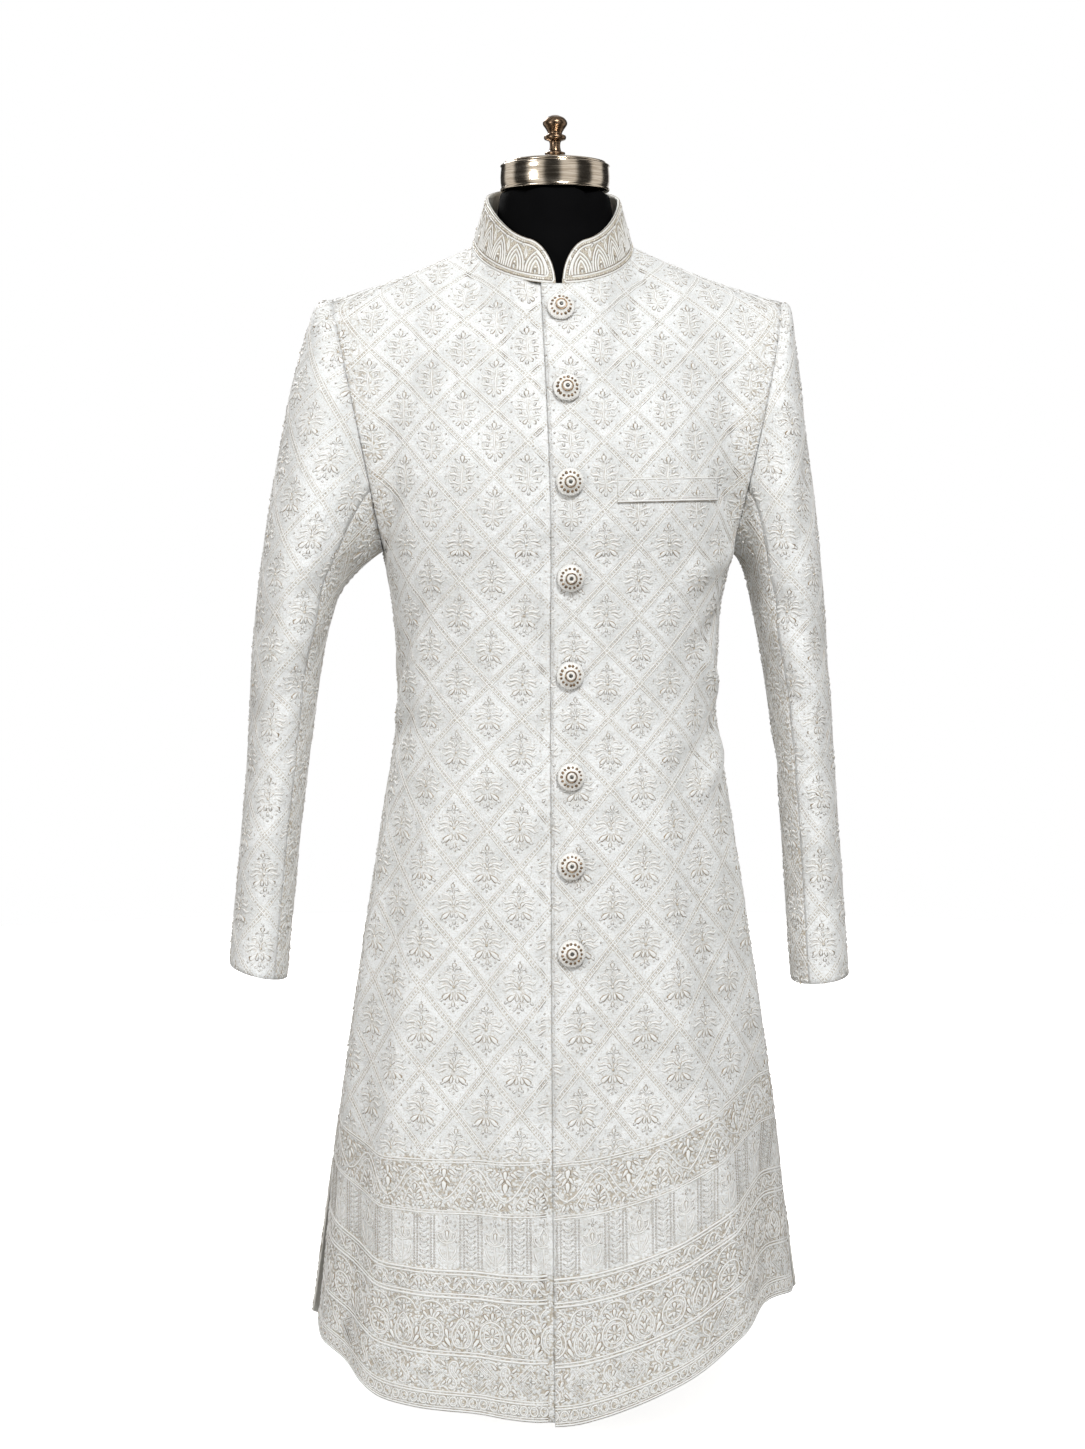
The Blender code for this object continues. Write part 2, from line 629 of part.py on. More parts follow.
# ---------------------------------------------------------------- sleeves
def armhole_point(turn, side):
    """Point of the armhole: turn 0 is the shoulder tip, 1 the front, 2 the armpit, 3 the back."""
    turn = turn % 4.0
    if turn <= 2.0:
        return upper_point(1.0 - turn / 2.0, side * 1.0)
    return upper_point((turn - 2.0) / 2.0, 1.0 if side > 0 else 3.0, front=False)


def sleeve_ring_point(rings, tilt, height, turn, side):
    out = from_table(rings, height, 1)
    to_back = from_table(rings, height, 2)
    half_width = from_table(rings, height, 3)
    half_depth = from_table(rings, height, 4)
    angle = turn * math.pi / 2.0
    reach = half_width * math.cos(angle)
    cuff = rings[0][0]
    lift = tilt * reach * (1.0 - blend(cuff, cuff + CUFF_TILT_HEIGHT, height))
    return np.array([side * (out + reach), to_back - half_depth * math.sin(angle), height + lift])


def sleeve_head_point(rings, tilt, spread, share, turn, side):
    """Between the armhole (0) and the top ring of the sleeve (1)."""
    start = armhole_point(turn, side)
    end = sleeve_ring_point(rings, tilt, rings[-1][0], turn, side)
    step = 0.02
    below = sleeve_ring_point(rings, tilt, rings[-1][0] - step, turn, side)
    drop = start[2] - end[2]
    angle = turn * math.pi / 2.0
    upper = max(math.cos(angle), 0.0)
    leave = np.array([side * mix(UNDERARM_SPREAD, spread, upper), -FRONT_LEAVE * math.sin(angle),
                      -UNDERARM_DROP * (1.0 - upper)])
    arrive = (below - end) / step * drop
    point = curve(start, leave, end, arrive, share)
    roll = share / HEAD_ROLL_SHARE
    point[0] += side * SLEEVE_HEAD_ROLL * upper * roll * math.exp(1.0 - roll)
    return point


def sleeve_points(rings, tilt, spread, side, turns):
    """Grid of a sleeve piece from the cuff up to the armhole."""
    cuff = rings[0][0]
    top = rings[-1][0]
    points = []
    for row in range(SLEEVE_RING_ROWS):
        height = mix(cuff, top, row / SLEEVE_RING_ROWS)
        points.append([sleeve_ring_point(rings, tilt, height, turn, side) for turn in turns])
    for share in SLEEVE_HEAD_SHARES:
        points.append([sleeve_head_point(rings, tilt, spread, share, turn, side) for turn in turns])
    return np.array(points)


def sleeve_wall(name, rings, tilt, spread, side, start, end, columns):
    """A sleeve piece between two seams, its edges square to the tube."""
    step = (end - start) / columns
    turns = [start + step * c for c in range(-1, columns + 2)]
    if side < 0:
        turns.reverse()
    wide = sleeve_points(rings, tilt, spread, side, turns)
    normals = grid_normals(wide)[:, 1:-1]
    points = trim_edges(wide[:, 1:-1], first=SEAM_GAP, last=SEAM_GAP, top=2.0 * SEAM_GAP)
    wall(name, points, CLOTH, IVORY, normals)


def make_sleeve(word, rings, tilt, spread, side):
    sleeve_wall(word + "_top_sleeve", rings, tilt, spread, side,
                FRONT_SLEEVE_SEAM, BACK_SLEEVE_SEAM, TOP_SLEEVE_COLUMNS)
    sleeve_wall(word + "_under_sleeve", rings, tilt, spread, side,
                BACK_SLEEVE_SEAM + 4.0, FRONT_SLEEVE_SEAM, UNDER_SLEEVE_COLUMNS)


# ---------------------------------------------------------------- collar
def collar_places():
    """Places along the neckline from the right front end round the back to the left."""
    front_end = COLLAR_HALF_GAP / NECK_HALF_WIDTH * NECK_SHARE * 2.0 / math.pi
    places = [mix(front_end, NECK_SHARE, share) for share in COLLAR_FRONT_COLUMNS]
    back = [2.0 - NECK_SHARE + 2.0 * NECK_SHARE * c / COLLAR_BACK_COLUMNS
            for c in range(COLLAR_BACK_COLUMNS + 1)]
    return places + back[1:-1] + [-place for place in reversed(places)]


def collar_height(place):
    """Height of the band: full at the side, rounded off at the front ends."""
    if abs(place) > 1.0:
        return COLLAR_SIDE_HEIGHT
    along = (abs(place) / NECK_SHARE * math.pi / 2.0) * NECK_HALF_WIDTH - COLLAR_HALF_GAP
    full = mix(COLLAR_FRONT_HEIGHT, COLLAR_SIDE_HEIGHT, blend(COLLAR_RISE_FROM, COLLAR_RISE_TO, along))
    inside = min(max(1.0 - along / COLLAR_CORNER, 0.0), 1.0)
    return full * max(math.sqrt(1.0 - inside * inside), COLLAR_END_SHARE)


def collar_point(place, share):
    """share is 0 at the neckline and 1 at the band's top edge."""
    base = neckline_point(place)
    centre = np.array([NECK_SHIFT, mix(NECK_FRONT_Y, NECK_BACK_Y, 0.5), base[2]])
    inward = centre - base
    inward[2] = 0.0
    inward /= np.linalg.norm(inward)
    rise = COLLAR_LIFT + collar_height(place) * share
    return base + np.array([0.0, 0.0, 1.0]) * rise + inward * rise * COLLAR_LEAN


def make_collar():
    places = collar_places()
    rows = np.array([[collar_point(place, share) for place in places] for share in COLLAR_ROWS])
    normals = grid_normals(rows)
    normals[:, :, 2] = 0.0
    normals /= np.linalg.norm(normals, axis=2, keepdims=True)
    wall("collar", rows, COLLAR_THICKNESS, IVORY, normals)


# ---------------------------------------------------------------- buttons and welt
def front_surface_point(x, height):
    """Point of the left front's outer face at a given x and height."""
    if height <= ARMPIT_HEIGHT:
        level = (height - HEM_HEIGHT) / (ARMPIT_HEIGHT - HEM_HEIGHT)
        around = around_at_x(x, level)
        for _ in range(SEARCH_ROUNDS):
            around += (x - lower_point(height, around)[0]) / METRES_AROUND
        return lower_point(height, around)
    around = around_at_x(x, 1.0)
    share = 0.5
    for _ in range(SEARCH_ROUNDS):
        here = upper_point(share, around)
        around += (x - here[0]) / METRES_AROUND
        share = min(max(share + (height - here[2]) / METRES_UP, 0.0), 1.0)
    return upper_point(share, around)


def surface_frame(x, height):
    """Point, across, up and outward directions of the left front."""
    step = 0.004           # half the stretch over which the directions are taken
    point = front_surface_point(x, height)
    across = front_surface_point(x + step, height) - front_surface_point(x - step, height)
    rising = front_surface_point(x, height + step) - front_surface_point(x, height - step)
    across /= np.linalg.norm(across)
    rising /= np.linalg.norm(rising)
    out = np.cross(across, rising)
    out /= np.linalg.norm(out)
    return point, across, rising, out


def make_buttons():
    for number, (height, x, clearance) in enumerate(BUTTONS, start=1):
        point, across, rising, out = surface_frame(x, height)
        back_of_button = point + out * clearance
        mesh_data = bmesh.new()
        rings = []
        for share, lift in BUTTON_PROFILE:
            ring = []
            for step in range(BUTTON_SIDES):
                angle = 2.0 * math.pi * step / BUTTON_SIDES
                spot = (back_of_button + out * lift
                        + BUTTON_RADIUS * share * (math.cos(angle) * across + math.sin(angle) * rising))
                ring.append(mesh_data.verts.new(Vector(spot)))
            rings.append(ring)
        for low, high in zip(rings, rings[1:]):
            for step in range(BUTTON_SIDES):
                after = (step + 1) % BUTTON_SIDES
                mesh_data.faces.new((low[step], low[after], high[after], high[step]))
        crown = mesh_data.verts.new(Vector(back_of_button + out * BUTTON_TOP))
        for step in range(BUTTON_SIDES):
            mesh_data.faces.new((rings[-1][step], rings[-1][(step + 1) % BUTTON_SIDES], crown))
        mesh_data.faces.new(list(reversed(rings[0])))
        add_object("button_%d" % number, mesh_data, BUTTON_LOOK)


def make_pocket_welt():
    points = []
    for r in range(WELT_ROWS):
        points.append([])
        for c in range(WELT_COLUMNS):
            share = c / (WELT_COLUMNS - 1)
            x = mix(WELT_INNER_X, WELT_OUTER_X, share)
            height = WELT_TOP - WELT_HEIGHT * (1.0 - r / (WELT_ROWS - 1)) + WELT_RISE * share
            point, _across, _rising, out = surface_frame(x, height)
            points[-1].append(point + out * (2.0 * SEAM_GAP + WELT_THICKNESS))
    wall("pocket_welt", points, WELT_THICKNESS, IVORY)


# ---------------------------------------------------------------- dress form
def form_lower_point(height, around):
    return oval_point(FORM_OVALS, height, around)


def form_upper_rows(places, front):
    """The form's chest and shoulders follow the coat's own surface, just inside it."""
    shares = [row / UPPER_ROWS for row in range(UPPER_ROWS + 1)]
    coat = np.array([[upper_point(share, place, front) for place in places] for share in shares])
    normals = seam_normals(coat, on_shoulder(places))
    rows = []
    for r, share in enumerate(shares):
        rows.append([])
        for c, place in enumerate(places):
            reach = abs(place) if front else abs(2.0 - place)
            shoulder = mix(THROAT_REST if front else NAPE_REST, SHOULDER_REST,
                           blend(0.5 * NECK_SHARE, NECK_SHARE, reach))
            clearance = mix(CHEST_REST, CLOTH + shoulder, blend(0.1, CHEST_REST_TO, share))
            inside = coat[r][c] - normals[r][c] * clearance
            rows[-1].append(mix(form_lower_point(ARMPIT_HEIGHT, place), inside, blend(0.0, 0.4, share)))
    return rows


def form_places(front):
    """Places of the form's columns at the front (-1 to 1) or the back (1 to 3)."""
    half = columns_between(0.0, NECK_SHARE, 1.0, NECK_COLUMNS, SHOULDER_COLUMNS)
    full = [-place for place in reversed(half[1:])] + half
    return full if front else [2.0 + place for place in full]


def make_form_torso():
    """One closed solid: hips, waist, chest, shoulders, arm caps and neck."""
    mesh_data = bmesh.new()
    heights = [row[0] for row in FORM_OVALS]
    heights = heights[:3] + [mix(heights[2], ARMPIT_HEIGHT, step / FORM_BODY_ROWS)
                             for step in range(1, FORM_BODY_ROWS)]
    sheets = []
    for front in (True, False):
        places = form_places(front)
        rows = [[form_lower_point(height, place) for place in places] for height in heights]
        rows += form_upper_rows(places, front)
        sheets.append(rows)
    for front_column, back_column in zip(range(len(places)), reversed(range(len(places)))):
        meeting = (sheets[0][-1][front_column] + sheets[1][-1][back_column]) / 2.0
        if on_shoulder(form_places(True))[front_column]:
            sheets[0][-1][front_column] = meeting
            sheets[1][-1][back_column] = meeting
    sheets = [[[mesh_data.verts.new(Vector(point)) for point in row] for row in rows] for rows in sheets]
    for sheet in sheets:
        for low, high in zip(sheet, sheet[1:]):
            for c in range(len(low) - 1):
                add_quad(mesh_data, low[c], low[c + 1], high[c + 1], high[c])
    close_form_ends(mesh_data, sheets, len(heights))
    bmesh.ops.remove_doubles(mesh_data, verts=mesh_data.verts, dist=SAME_SPOT)
    bmesh.ops.recalc_face_normals(mesh_data, faces=mesh_data.faces)
    return add_object("form_torso", mesh_data, BLACK_FORM)


def close_form_ends(mesh_data, sheets, armpit_row):
    """Underside of the hips, the two arm caps, and the neck."""
    front, back = sheets
    bottom = front[0][:-1] + back[0][:-1]
    centre = mesh_data.verts.new((0.0, 0.0, FORM_OVALS[0][0]))
    for step, vert in enumerate(bottom):
        mesh_data.faces.new((bottom[(step + 1) % len(bottom)], vert, centre))
    for side in (1, -1):
        front_edge = [row[-1 if side > 0 else 0] for row in front[armpit_row:]]
        back_edge = [row[0 if side > 0 else -1] for row in back[armpit_row:]]
        loop = front_edge + list(reversed(back_edge[1:-1]))
        middle = sum((vert.co for vert in loop), Vector()) / len(loop)
        hub = mesh_data.verts.new(middle + Vector((side * ARM_CAP_BULGE, 0.0, 0.0)))
        bulge = Vector((side * ARM_CAP_BULGE * 0.8, 0.0, 0.0))
        rim = [mesh_data.verts.new(vert.co.lerp(middle, ARM_CAP_RIM) + bulge) for vert in loop]
        for step in range(len(loop)):
            after = (step + 1) % len(loop)
            add_quad(mesh_data, loop[step], loop[after], rim[after], rim[step])
            mesh_data.faces.new((rim[step], rim[after], hub))
    make_form_neck(mesh_data, front[-1], back[-1])


def make_form_neck(mesh_data, front_top, back_top):
    """Rings from the neckline up to the flat top of the neck."""
    middle = len(front_top) // 2
    reach = NECK_COLUMNS
    loop = front_top[middle - reach:middle + reach + 1] + back_top[middle - reach + 1:middle + reach]
    below = loop
    for rise, half_width, half_depth, centre_y in NECK_RINGS:
        ring = []
        for vert in loop:
            offset = Vector((vert.co.x - NECK_CENTRE[0], vert.co.y - centre_y, 0.0)).normalized()
            ring.append(mesh_data.verts.new((NECK_CENTRE[0] + half_width * offset.x,
                                             centre_y + half_depth * offset.y,
                                             mix(vert.co.z, NECK_TOP, rise))))
        for step in range(len(loop)):
            after = (step + 1) % len(loop)
            add_quad(mesh_data, below[step], below[after], ring[after], ring[step])
        below = ring
    mesh_data.faces.new(below)


def make_form():
    make_form_torso()
    turned("form_neck_band", BAND_PROFILE, NECK_CENTRE, GOLD)
    turned("form_neck_cap", CAP_PROFILE, NECK_CENTRE, GOLD)
    turned("form_stem", STEM_PROFILE, NECK_CENTRE, BRONZE, sides=SLIM_SIDES)
    pole_top = FORM_OVALS[0][0] - SEAM_GAP
    turned("form_pole", ((BASE_PROFILE[-1][0] + SEAM_GAP, POLE_RADIUS), (pole_top, POLE_RADIUS)),
           (0.0, 0.0), STEEL, sides=SLIM_SIDES)
    turned("form_base", BASE_PROFILE, (0.0, 0.0), STEEL)


def main():
    clear_scene()
    make_body_panels()
    make_sleeve("left", LEFT_SLEEVE_RINGS, LEFT_CUFF_TILT, LEFT_HEAD_SPREAD, 1)
    make_sleeve("right", RIGHT_SLEEVE_RINGS, RIGHT_CUFF_TILT, RIGHT_HEAD_SPREAD, -1)
    make_collar()
    make_buttons()
    make_pocket_welt()
    make_form()


main()
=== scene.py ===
# %% [markdown]
# A sherwani is a long, fitted South Asian coat. This one is ivory brocade, covered with
# tone-on-tone thread embroidery, and it is worn by a black dress form without limbs. The
# solid model gives each panel its place. Here every panel becomes fine cloth with creases,
# and the embroidery is laid on it stitch by stitch. A painted pattern would be lighter, but
# real threads catch the light on every fold, and this is what makes such a coat.
# %% Start from the solid model
import json
import math

import bmesh
import bpy
import numpy as np
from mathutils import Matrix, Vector
from mathutils.bvhtree import BVHTree

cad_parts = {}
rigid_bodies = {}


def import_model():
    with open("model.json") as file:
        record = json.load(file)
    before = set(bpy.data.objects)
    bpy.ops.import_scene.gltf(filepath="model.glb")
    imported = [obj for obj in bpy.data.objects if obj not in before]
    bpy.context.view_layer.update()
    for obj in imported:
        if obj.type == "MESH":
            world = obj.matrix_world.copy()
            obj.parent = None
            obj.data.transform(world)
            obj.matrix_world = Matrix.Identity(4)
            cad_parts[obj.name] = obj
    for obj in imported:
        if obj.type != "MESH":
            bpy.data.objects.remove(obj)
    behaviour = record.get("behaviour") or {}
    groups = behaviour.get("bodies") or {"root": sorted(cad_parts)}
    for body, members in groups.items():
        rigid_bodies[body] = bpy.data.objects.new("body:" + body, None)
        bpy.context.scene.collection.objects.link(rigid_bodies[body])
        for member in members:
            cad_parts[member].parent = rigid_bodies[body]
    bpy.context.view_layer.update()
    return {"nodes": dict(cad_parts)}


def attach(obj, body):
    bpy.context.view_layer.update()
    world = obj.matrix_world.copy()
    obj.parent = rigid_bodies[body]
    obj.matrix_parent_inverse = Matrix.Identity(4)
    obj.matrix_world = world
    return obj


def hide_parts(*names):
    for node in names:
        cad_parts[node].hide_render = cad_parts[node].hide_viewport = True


for leftover in list(bpy.data.objects):
    bpy.data.objects.remove(leftover, do_unlink=True)
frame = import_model()
scene = bpy.context.scene

# %% [markdown]
# The camera stands 2.6 metres away at chest height, a little to the coat's right, and looks
# slightly down. A 65 mm lens keeps the long coat free of distortion. It is set up first,
# because every later choice is judged through it.
# %% Camera
CAMERA_PLACE = Vector((-0.18136683, -2.59366653, 0.86945409))
CAMERA_LOOKS = Vector((0.06405331, 0.99492171, -0.07764003))
IMAGE_HEIGHT = 1449
FOCAL_PIXELS = 2626.0
SENSOR_SIZE = 36.0


def new_object(name, data):
    """A named object in the scene, at the origin."""
    made = bpy.data.objects.new(name, data)
    scene.collection.objects.link(made)
    return made


camera_data = bpy.data.cameras.new("studio_camera")
camera_data.sensor_width = SENSOR_SIZE
camera_data.lens = SENSOR_SIZE * FOCAL_PIXELS / IMAGE_HEIGHT
camera = new_object("studio_camera", camera_data)
camera.location = CAMERA_PLACE
camera.rotation_euler = CAMERA_LOOKS.to_track_quat("-Z", "Y").to_euler()
scene.camera = camera
print("lens", round(camera_data.lens, 2), "mm")

# %% [markdown]
# The cloth needs the same surface as the solid panels, only finer. Subdividing the solids
# would round their edges away from the seams, so the surface is worked out again from its own
# sizes. The body is a stack of flattened ovals up to the armpits; above them each column runs
# up to the neckline or the shoulder seam. A place around the body is a number: 0 is the
# centre front, 1 the wearer's left side, 2 the centre back, and -1 or 3 the right side.
# %% Small tools
TURN, QUARTER = 2.0 * math.pi, math.pi / 2.0


def mix(first, second, share):
    return first + (second - first) * share


def blend(low, high, value):
    """Smooth step from 0 at low to 1 at high."""
    share = min(max((value - low) / (high - low), 0.0), 1.0)
    return share * share * (3.0 - 2.0 * share)


def curve(start, start_pull, end, end_pull, share):
    """Cubic Hermite curve between two points or numbers."""
    square = share * share
    cube = square * share
    return (start * (2 * cube - 3 * square + 1) + start_pull * (cube - 2 * square + share)
            + end * (3 * square - 2 * cube) + end_pull * (cube - square))


def from_table(table, key, column):
    """Smooth value of one column of a table whose first column rises."""
    last = len(table) - 1
    key = min(max(key, table[0][0]), table[last][0])
    index = 0
    while index < last - 1 and key > table[index + 1][0]:
        index += 1
    low, high = table[index], table[index + 1]
    before, after = table[max(index - 1, 0)], table[min(index + 2, last)]
    span = high[0] - low[0]
    low_slope = (high[column] - before[column]) / (high[0] - before[0])
    high_slope = (after[column] - low[column]) / (after[0] - low[0])
    share = (key - low[0]) / span
    return float(curve(low[column], low_slope * span, high[column], high_slope * span, share))


def walked(steps):
    """Distance from the start at every place, from the steps between the places."""
    return np.concatenate([[0.0], np.cumsum(steps)])


def step_lengths(points):
    return np.linalg.norm(np.diff(points, axis=0), axis=1)


def unit(vector):
    return vector / np.linalg.norm(vector)


print("half way from 2 to 4 is", mix(2.0, 4.0, 0.5), "and a soft quarter is", round(blend(0.0, 1.0, 0.25), 3))

# %% Sizes of the body panels
CLOTH = 0.0020
SEAM_GAP = 0.00005
ARMPIT_HEIGHT = 0.838
OVAL_SQUARENESS = 0.11

# One row for each oval: height, half width, depth to front, depth to back.
BODY_OVALS = (
    (0.015, 0.2560, 0.1780, 0.1820), (0.090, 0.2445, 0.1670, 0.1730),
    (0.180, 0.2320, 0.1560, 0.1630), (0.265, 0.2200, 0.1460, 0.1540),
    (0.347, 0.2083, 0.1370, 0.1460), (0.429, 0.1966, 0.1300, 0.1380),
    (0.510, 0.1840, 0.1255, 0.1300), (0.590, 0.1714, 0.1210, 0.1210),
    (0.670, 0.1590, 0.1155, 0.1110), (0.711, 0.1577, 0.1140, 0.1070),
    (0.750, 0.1595, 0.1150, 0.1070), (0.790, 0.1633, 0.1180, 0.1110),
    (0.838, 0.1720, 0.1220, 0.1180),
)
# Hems: place around the body, height above the floor.
FRONT_LEFT_HEM = (
    (-0.10, 0.0155), (0.00, 0.0155), (0.07, 0.0215), (0.155, 0.0325), (0.23, 0.0450),
    (0.31, 0.0590), (0.40, 0.0750), (0.505, 0.0930), (0.585, 0.1035), (0.65, 0.1070),
    (0.74, 0.1070), (1.00, 0.1000),
)
FRONT_RIGHT_HEM = (
    (-1.00, 0.0800), (-0.75, 0.0640), (-0.54, 0.0430), (-0.47, 0.0345), (-0.365, 0.0314),
    (-0.27, 0.0287), (-0.195, 0.0260), (-0.135, 0.0219), (-0.065, 0.0190), (0.10, 0.0185),
)
BACK_HEM = ((1.00, 0.0960), (1.30, 0.0560), (1.65, 0.0280), (2.00, 0.0200),
            (2.35, 0.0260), (2.70, 0.0480), (3.00, 0.0790))
# Large folds of the skirt: place, half breadth, height where it ends, depth.
SKIRT_FOLDS = (
    (0.62, 0.17, 0.44, -0.011), (0.28, 0.15, 0.52, 0.005), (-0.34, 0.16, 0.48, 0.006),
    (-0.66, 0.16, 0.42, -0.010), (1.30, 0.16, 0.52, 0.008), (1.55, 0.14, 0.46, -0.008),
    (1.80, 0.15, 0.55, 0.007), (2.08, 0.15, 0.50, -0.008), (2.36, 0.15, 0.56, 0.008),
    (2.66, 0.16, 0.45, -0.007),
)
FOLD_FULL_HEIGHT = 0.03
SLIT_TOP = 0.290
SLIT_FULL = 0.090
SLIT_FRONT_PULL = 0.075
SLIT_FRONT_TUCK = 0.0050
TUCK_FROM, TUCK_TO = 0.72, 0.92
HEM_HEIGHT = 0.015
SLIT_BASE = 0.10

NECK_SHIFT = -0.004
NECK_HALF_WIDTH = 0.0785
NECK_FRONT_Y, NECK_SIDE_Y, NECK_BACK_Y = -0.083, 0.005, 0.065
NECK_FRONT_HEIGHT, NECK_SIDE_HEIGHT, NECK_BACK_HEIGHT = 1.0935, 1.1370, 1.1540
NECK_SHARE = 0.42
SHOULDER_TIP = (0.2200, 0.0, 1.0840)
SHOULDER_DIP = 0.0040
SIDE_BLEND = 0.15
ARMHOLE_BLEND = 0.70
CORNER_SOFTENING = 0.22
CORNER_FADE = 0.62
CHEST_PULL, UPPER_BACK_PULL, SIDE_CHEST_PULL = 0.060, 0.035, 0.075
MIDDLE_RISE, SIDE_RISE = 0.26, 0.28
NECK_FALL_IN, SHOULDER_FALL_IN = 0.09, 0.165
NECK_ARRIVAL, SHOULDER_ARRIVAL = 0.22, 0.030
ARMHOLE_FRONT_PULL, ARMHOLE_BACK_PULL = 0.20, 0.17
ARMHOLE_RISE, ARMHOLE_OUT_LOW, ARMHOLE_OUT_HIGH = 0.10, 0.015, 0.010

EDGE_X_LOW, EDGE_X_TOP = -0.0137, -0.0170
UNDERLAP_REACH = 0.034
UNDERLAP_DIP_START, UNDERLAP_DIP_END = 0.0160, 0.0070
UNDERLAP_DEPTH = CLOTH + 0.0011
print("ovals", len(BODY_OVALS), "skirt folds", len(SKIRT_FOLDS))


# %% The body surface
def oval_point(height, around):
    half_width = from_table(BODY_OVALS, height, 1)
    angle = around * QUARTER
    side = math.sin(angle)
    facing = math.cos(angle)
    depth = from_table(BODY_OVALS, height, 2 if facing >= 0.0 else 3)
    return np.array([half_width * (side + OVAL_SQUARENESS * side * facing * facing),
                     -depth * (facing + OVAL_SQUARENESS * facing * side * side), height])


def outward(around):
    angle = around * QUARTER
    return np.array([math.sin(angle), -math.cos(angle), 0.0])


def skirt_fold(height, around):
    depth = 0.0
    for place, breadth, top, size in SKIRT_FOLDS:
        near = 1.0 - abs(around - place) / breadth
        if near > 0.0 and height < top:
            depth += size * near * near * (3.0 - 2.0 * near) * (1.0 - blend(FOLD_FULL_HEIGHT, top, height))
    return depth


def slit_opening(height):
    return 1.0 - blend(SLIT_FULL, SLIT_TOP, height)


print("waist half width", round(oval_point(0.711, 1.0)[0], 4), "m, slit open by", slit_opening(SLIT_FULL))


# %% Neckline, shoulders and columns
def neckline_point(around):
    if abs(around) <= 1.0:
        angle = around / NECK_SHARE * QUARTER
        rise = 1.0 - math.cos(angle)
        y = mix(NECK_FRONT_Y, NECK_SIDE_Y, rise)
        height = mix(NECK_FRONT_HEIGHT, NECK_SIDE_HEIGHT, rise)
    else:
        angle = (2.0 - around) / NECK_SHARE * QUARTER
        facing = math.cos(angle)
        y = mix(NECK_SIDE_Y, NECK_BACK_Y, facing)
        height = mix(NECK_SIDE_HEIGHT, NECK_BACK_HEIGHT, facing)
    return np.array([NECK_SHIFT + NECK_HALF_WIDTH * math.sin(angle), y, height])


def shoulder_point(share, side):
    neck = np.array([NECK_SHIFT + side * NECK_HALF_WIDTH, NECK_SIDE_Y, NECK_SIDE_HEIGHT])
    tip = np.array([side * SHOULDER_TIP[0], SHOULDER_TIP[1], SHOULDER_TIP[2]])
    point = mix(neck, tip, share)
    point[2] -= SHOULDER_DIP * 4.0 * share * (1.0 - share)
    return point


def top_point(from_middle, front):
    reach = abs(from_middle)
    if reach <= NECK_SHARE:
        return neckline_point(from_middle if front else 2.0 - from_middle)
    return shoulder_point((reach - NECK_SHARE) / (1.0 - NECK_SHARE), 1.0 if from_middle > 0.0 else -1.0)


def softened_top(from_middle, front):
    reach = abs(from_middle)
    spread = min(CORNER_SOFTENING, reach, 1.0 - reach)
    total = 0.0
    for step, weight in ((-1.0, 1.0), (-0.5, 2.0), (0.0, 2.0), (0.5, 2.0), (1.0, 1.0)):
        total = total + weight / 8.0 * top_point(from_middle + step * spread, front)
    return total


def column_ends(around, front):
    """Softened top of a column, what the true top adds, and the pulls at both ends."""
    facing = -1.0 if front else 1.0
    from_middle = around if front else 2.0 - around
    side = 1.0 if from_middle >= 0.0 else -1.0
    reach = abs(from_middle)
    to_shoulder = blend(0.0, NECK_SHARE + SIDE_BLEND, reach)
    to_armhole = blend(ARMHOLE_BLEND, 1.0, reach)
    top = softened_top(from_middle, front)
    corner = top_point(from_middle, front) - top
    middle = CHEST_PULL if front else UPPER_BACK_PULL
    armhole = ARMHOLE_FRONT_PULL if front else ARMHOLE_BACK_PULL
    low_pull = np.array([0.0, facing * mix(middle, SIDE_CHEST_PULL, to_shoulder),
                         mix(MIDDLE_RISE, SIDE_RISE, to_shoulder)])
    high_pull = np.array([0.0, -facing * mix(NECK_FALL_IN, SHOULDER_FALL_IN, to_shoulder),
                          mix(NECK_ARRIVAL, SHOULDER_ARRIVAL, to_shoulder)])
    armhole_low = np.array([side * ARMHOLE_OUT_LOW, facing * armhole, ARMHOLE_RISE])
    armhole_high = np.array([side * ARMHOLE_OUT_HIGH, -facing * armhole, ARMHOLE_RISE])
    return top, corner, mix(low_pull, armhole_low, to_armhole), mix(high_pull, armhole_high, to_armhole)


def lower_point(height, around):
    return oval_point(height, around) + outward(around) * skirt_fold(height, around)


def upper_point(share, around, ends):
    top, corner, low_pull, high_pull = ends
    start = oval_point(ARMPIT_HEIGHT, around)
    return curve(start, low_pull, top, high_pull, share) + corner * blend(CORNER_FADE, 1.0, share)


print("front of the neck", np.round(neckline_point(0.0), 4), "m")

# %% [markdown]
# A worn coat is never as smooth as its pattern. Small creases are placed one by one, each as a
# soft trough or ridge along a short line on the body: a drag line from the waist, slack under
# the arms, and loose ripples down the skirt. A cloth simulation could make them, but it would
# also move the hems and seams off the solid panels. Real cloth folds unevenly, so no two
# creases have the same length, depth or spacing.
# %% Creases of the body
BODY_METRES, SLEEVE_METRES = 0.27, 0.07     # roughly what one place around, or one turn, measures

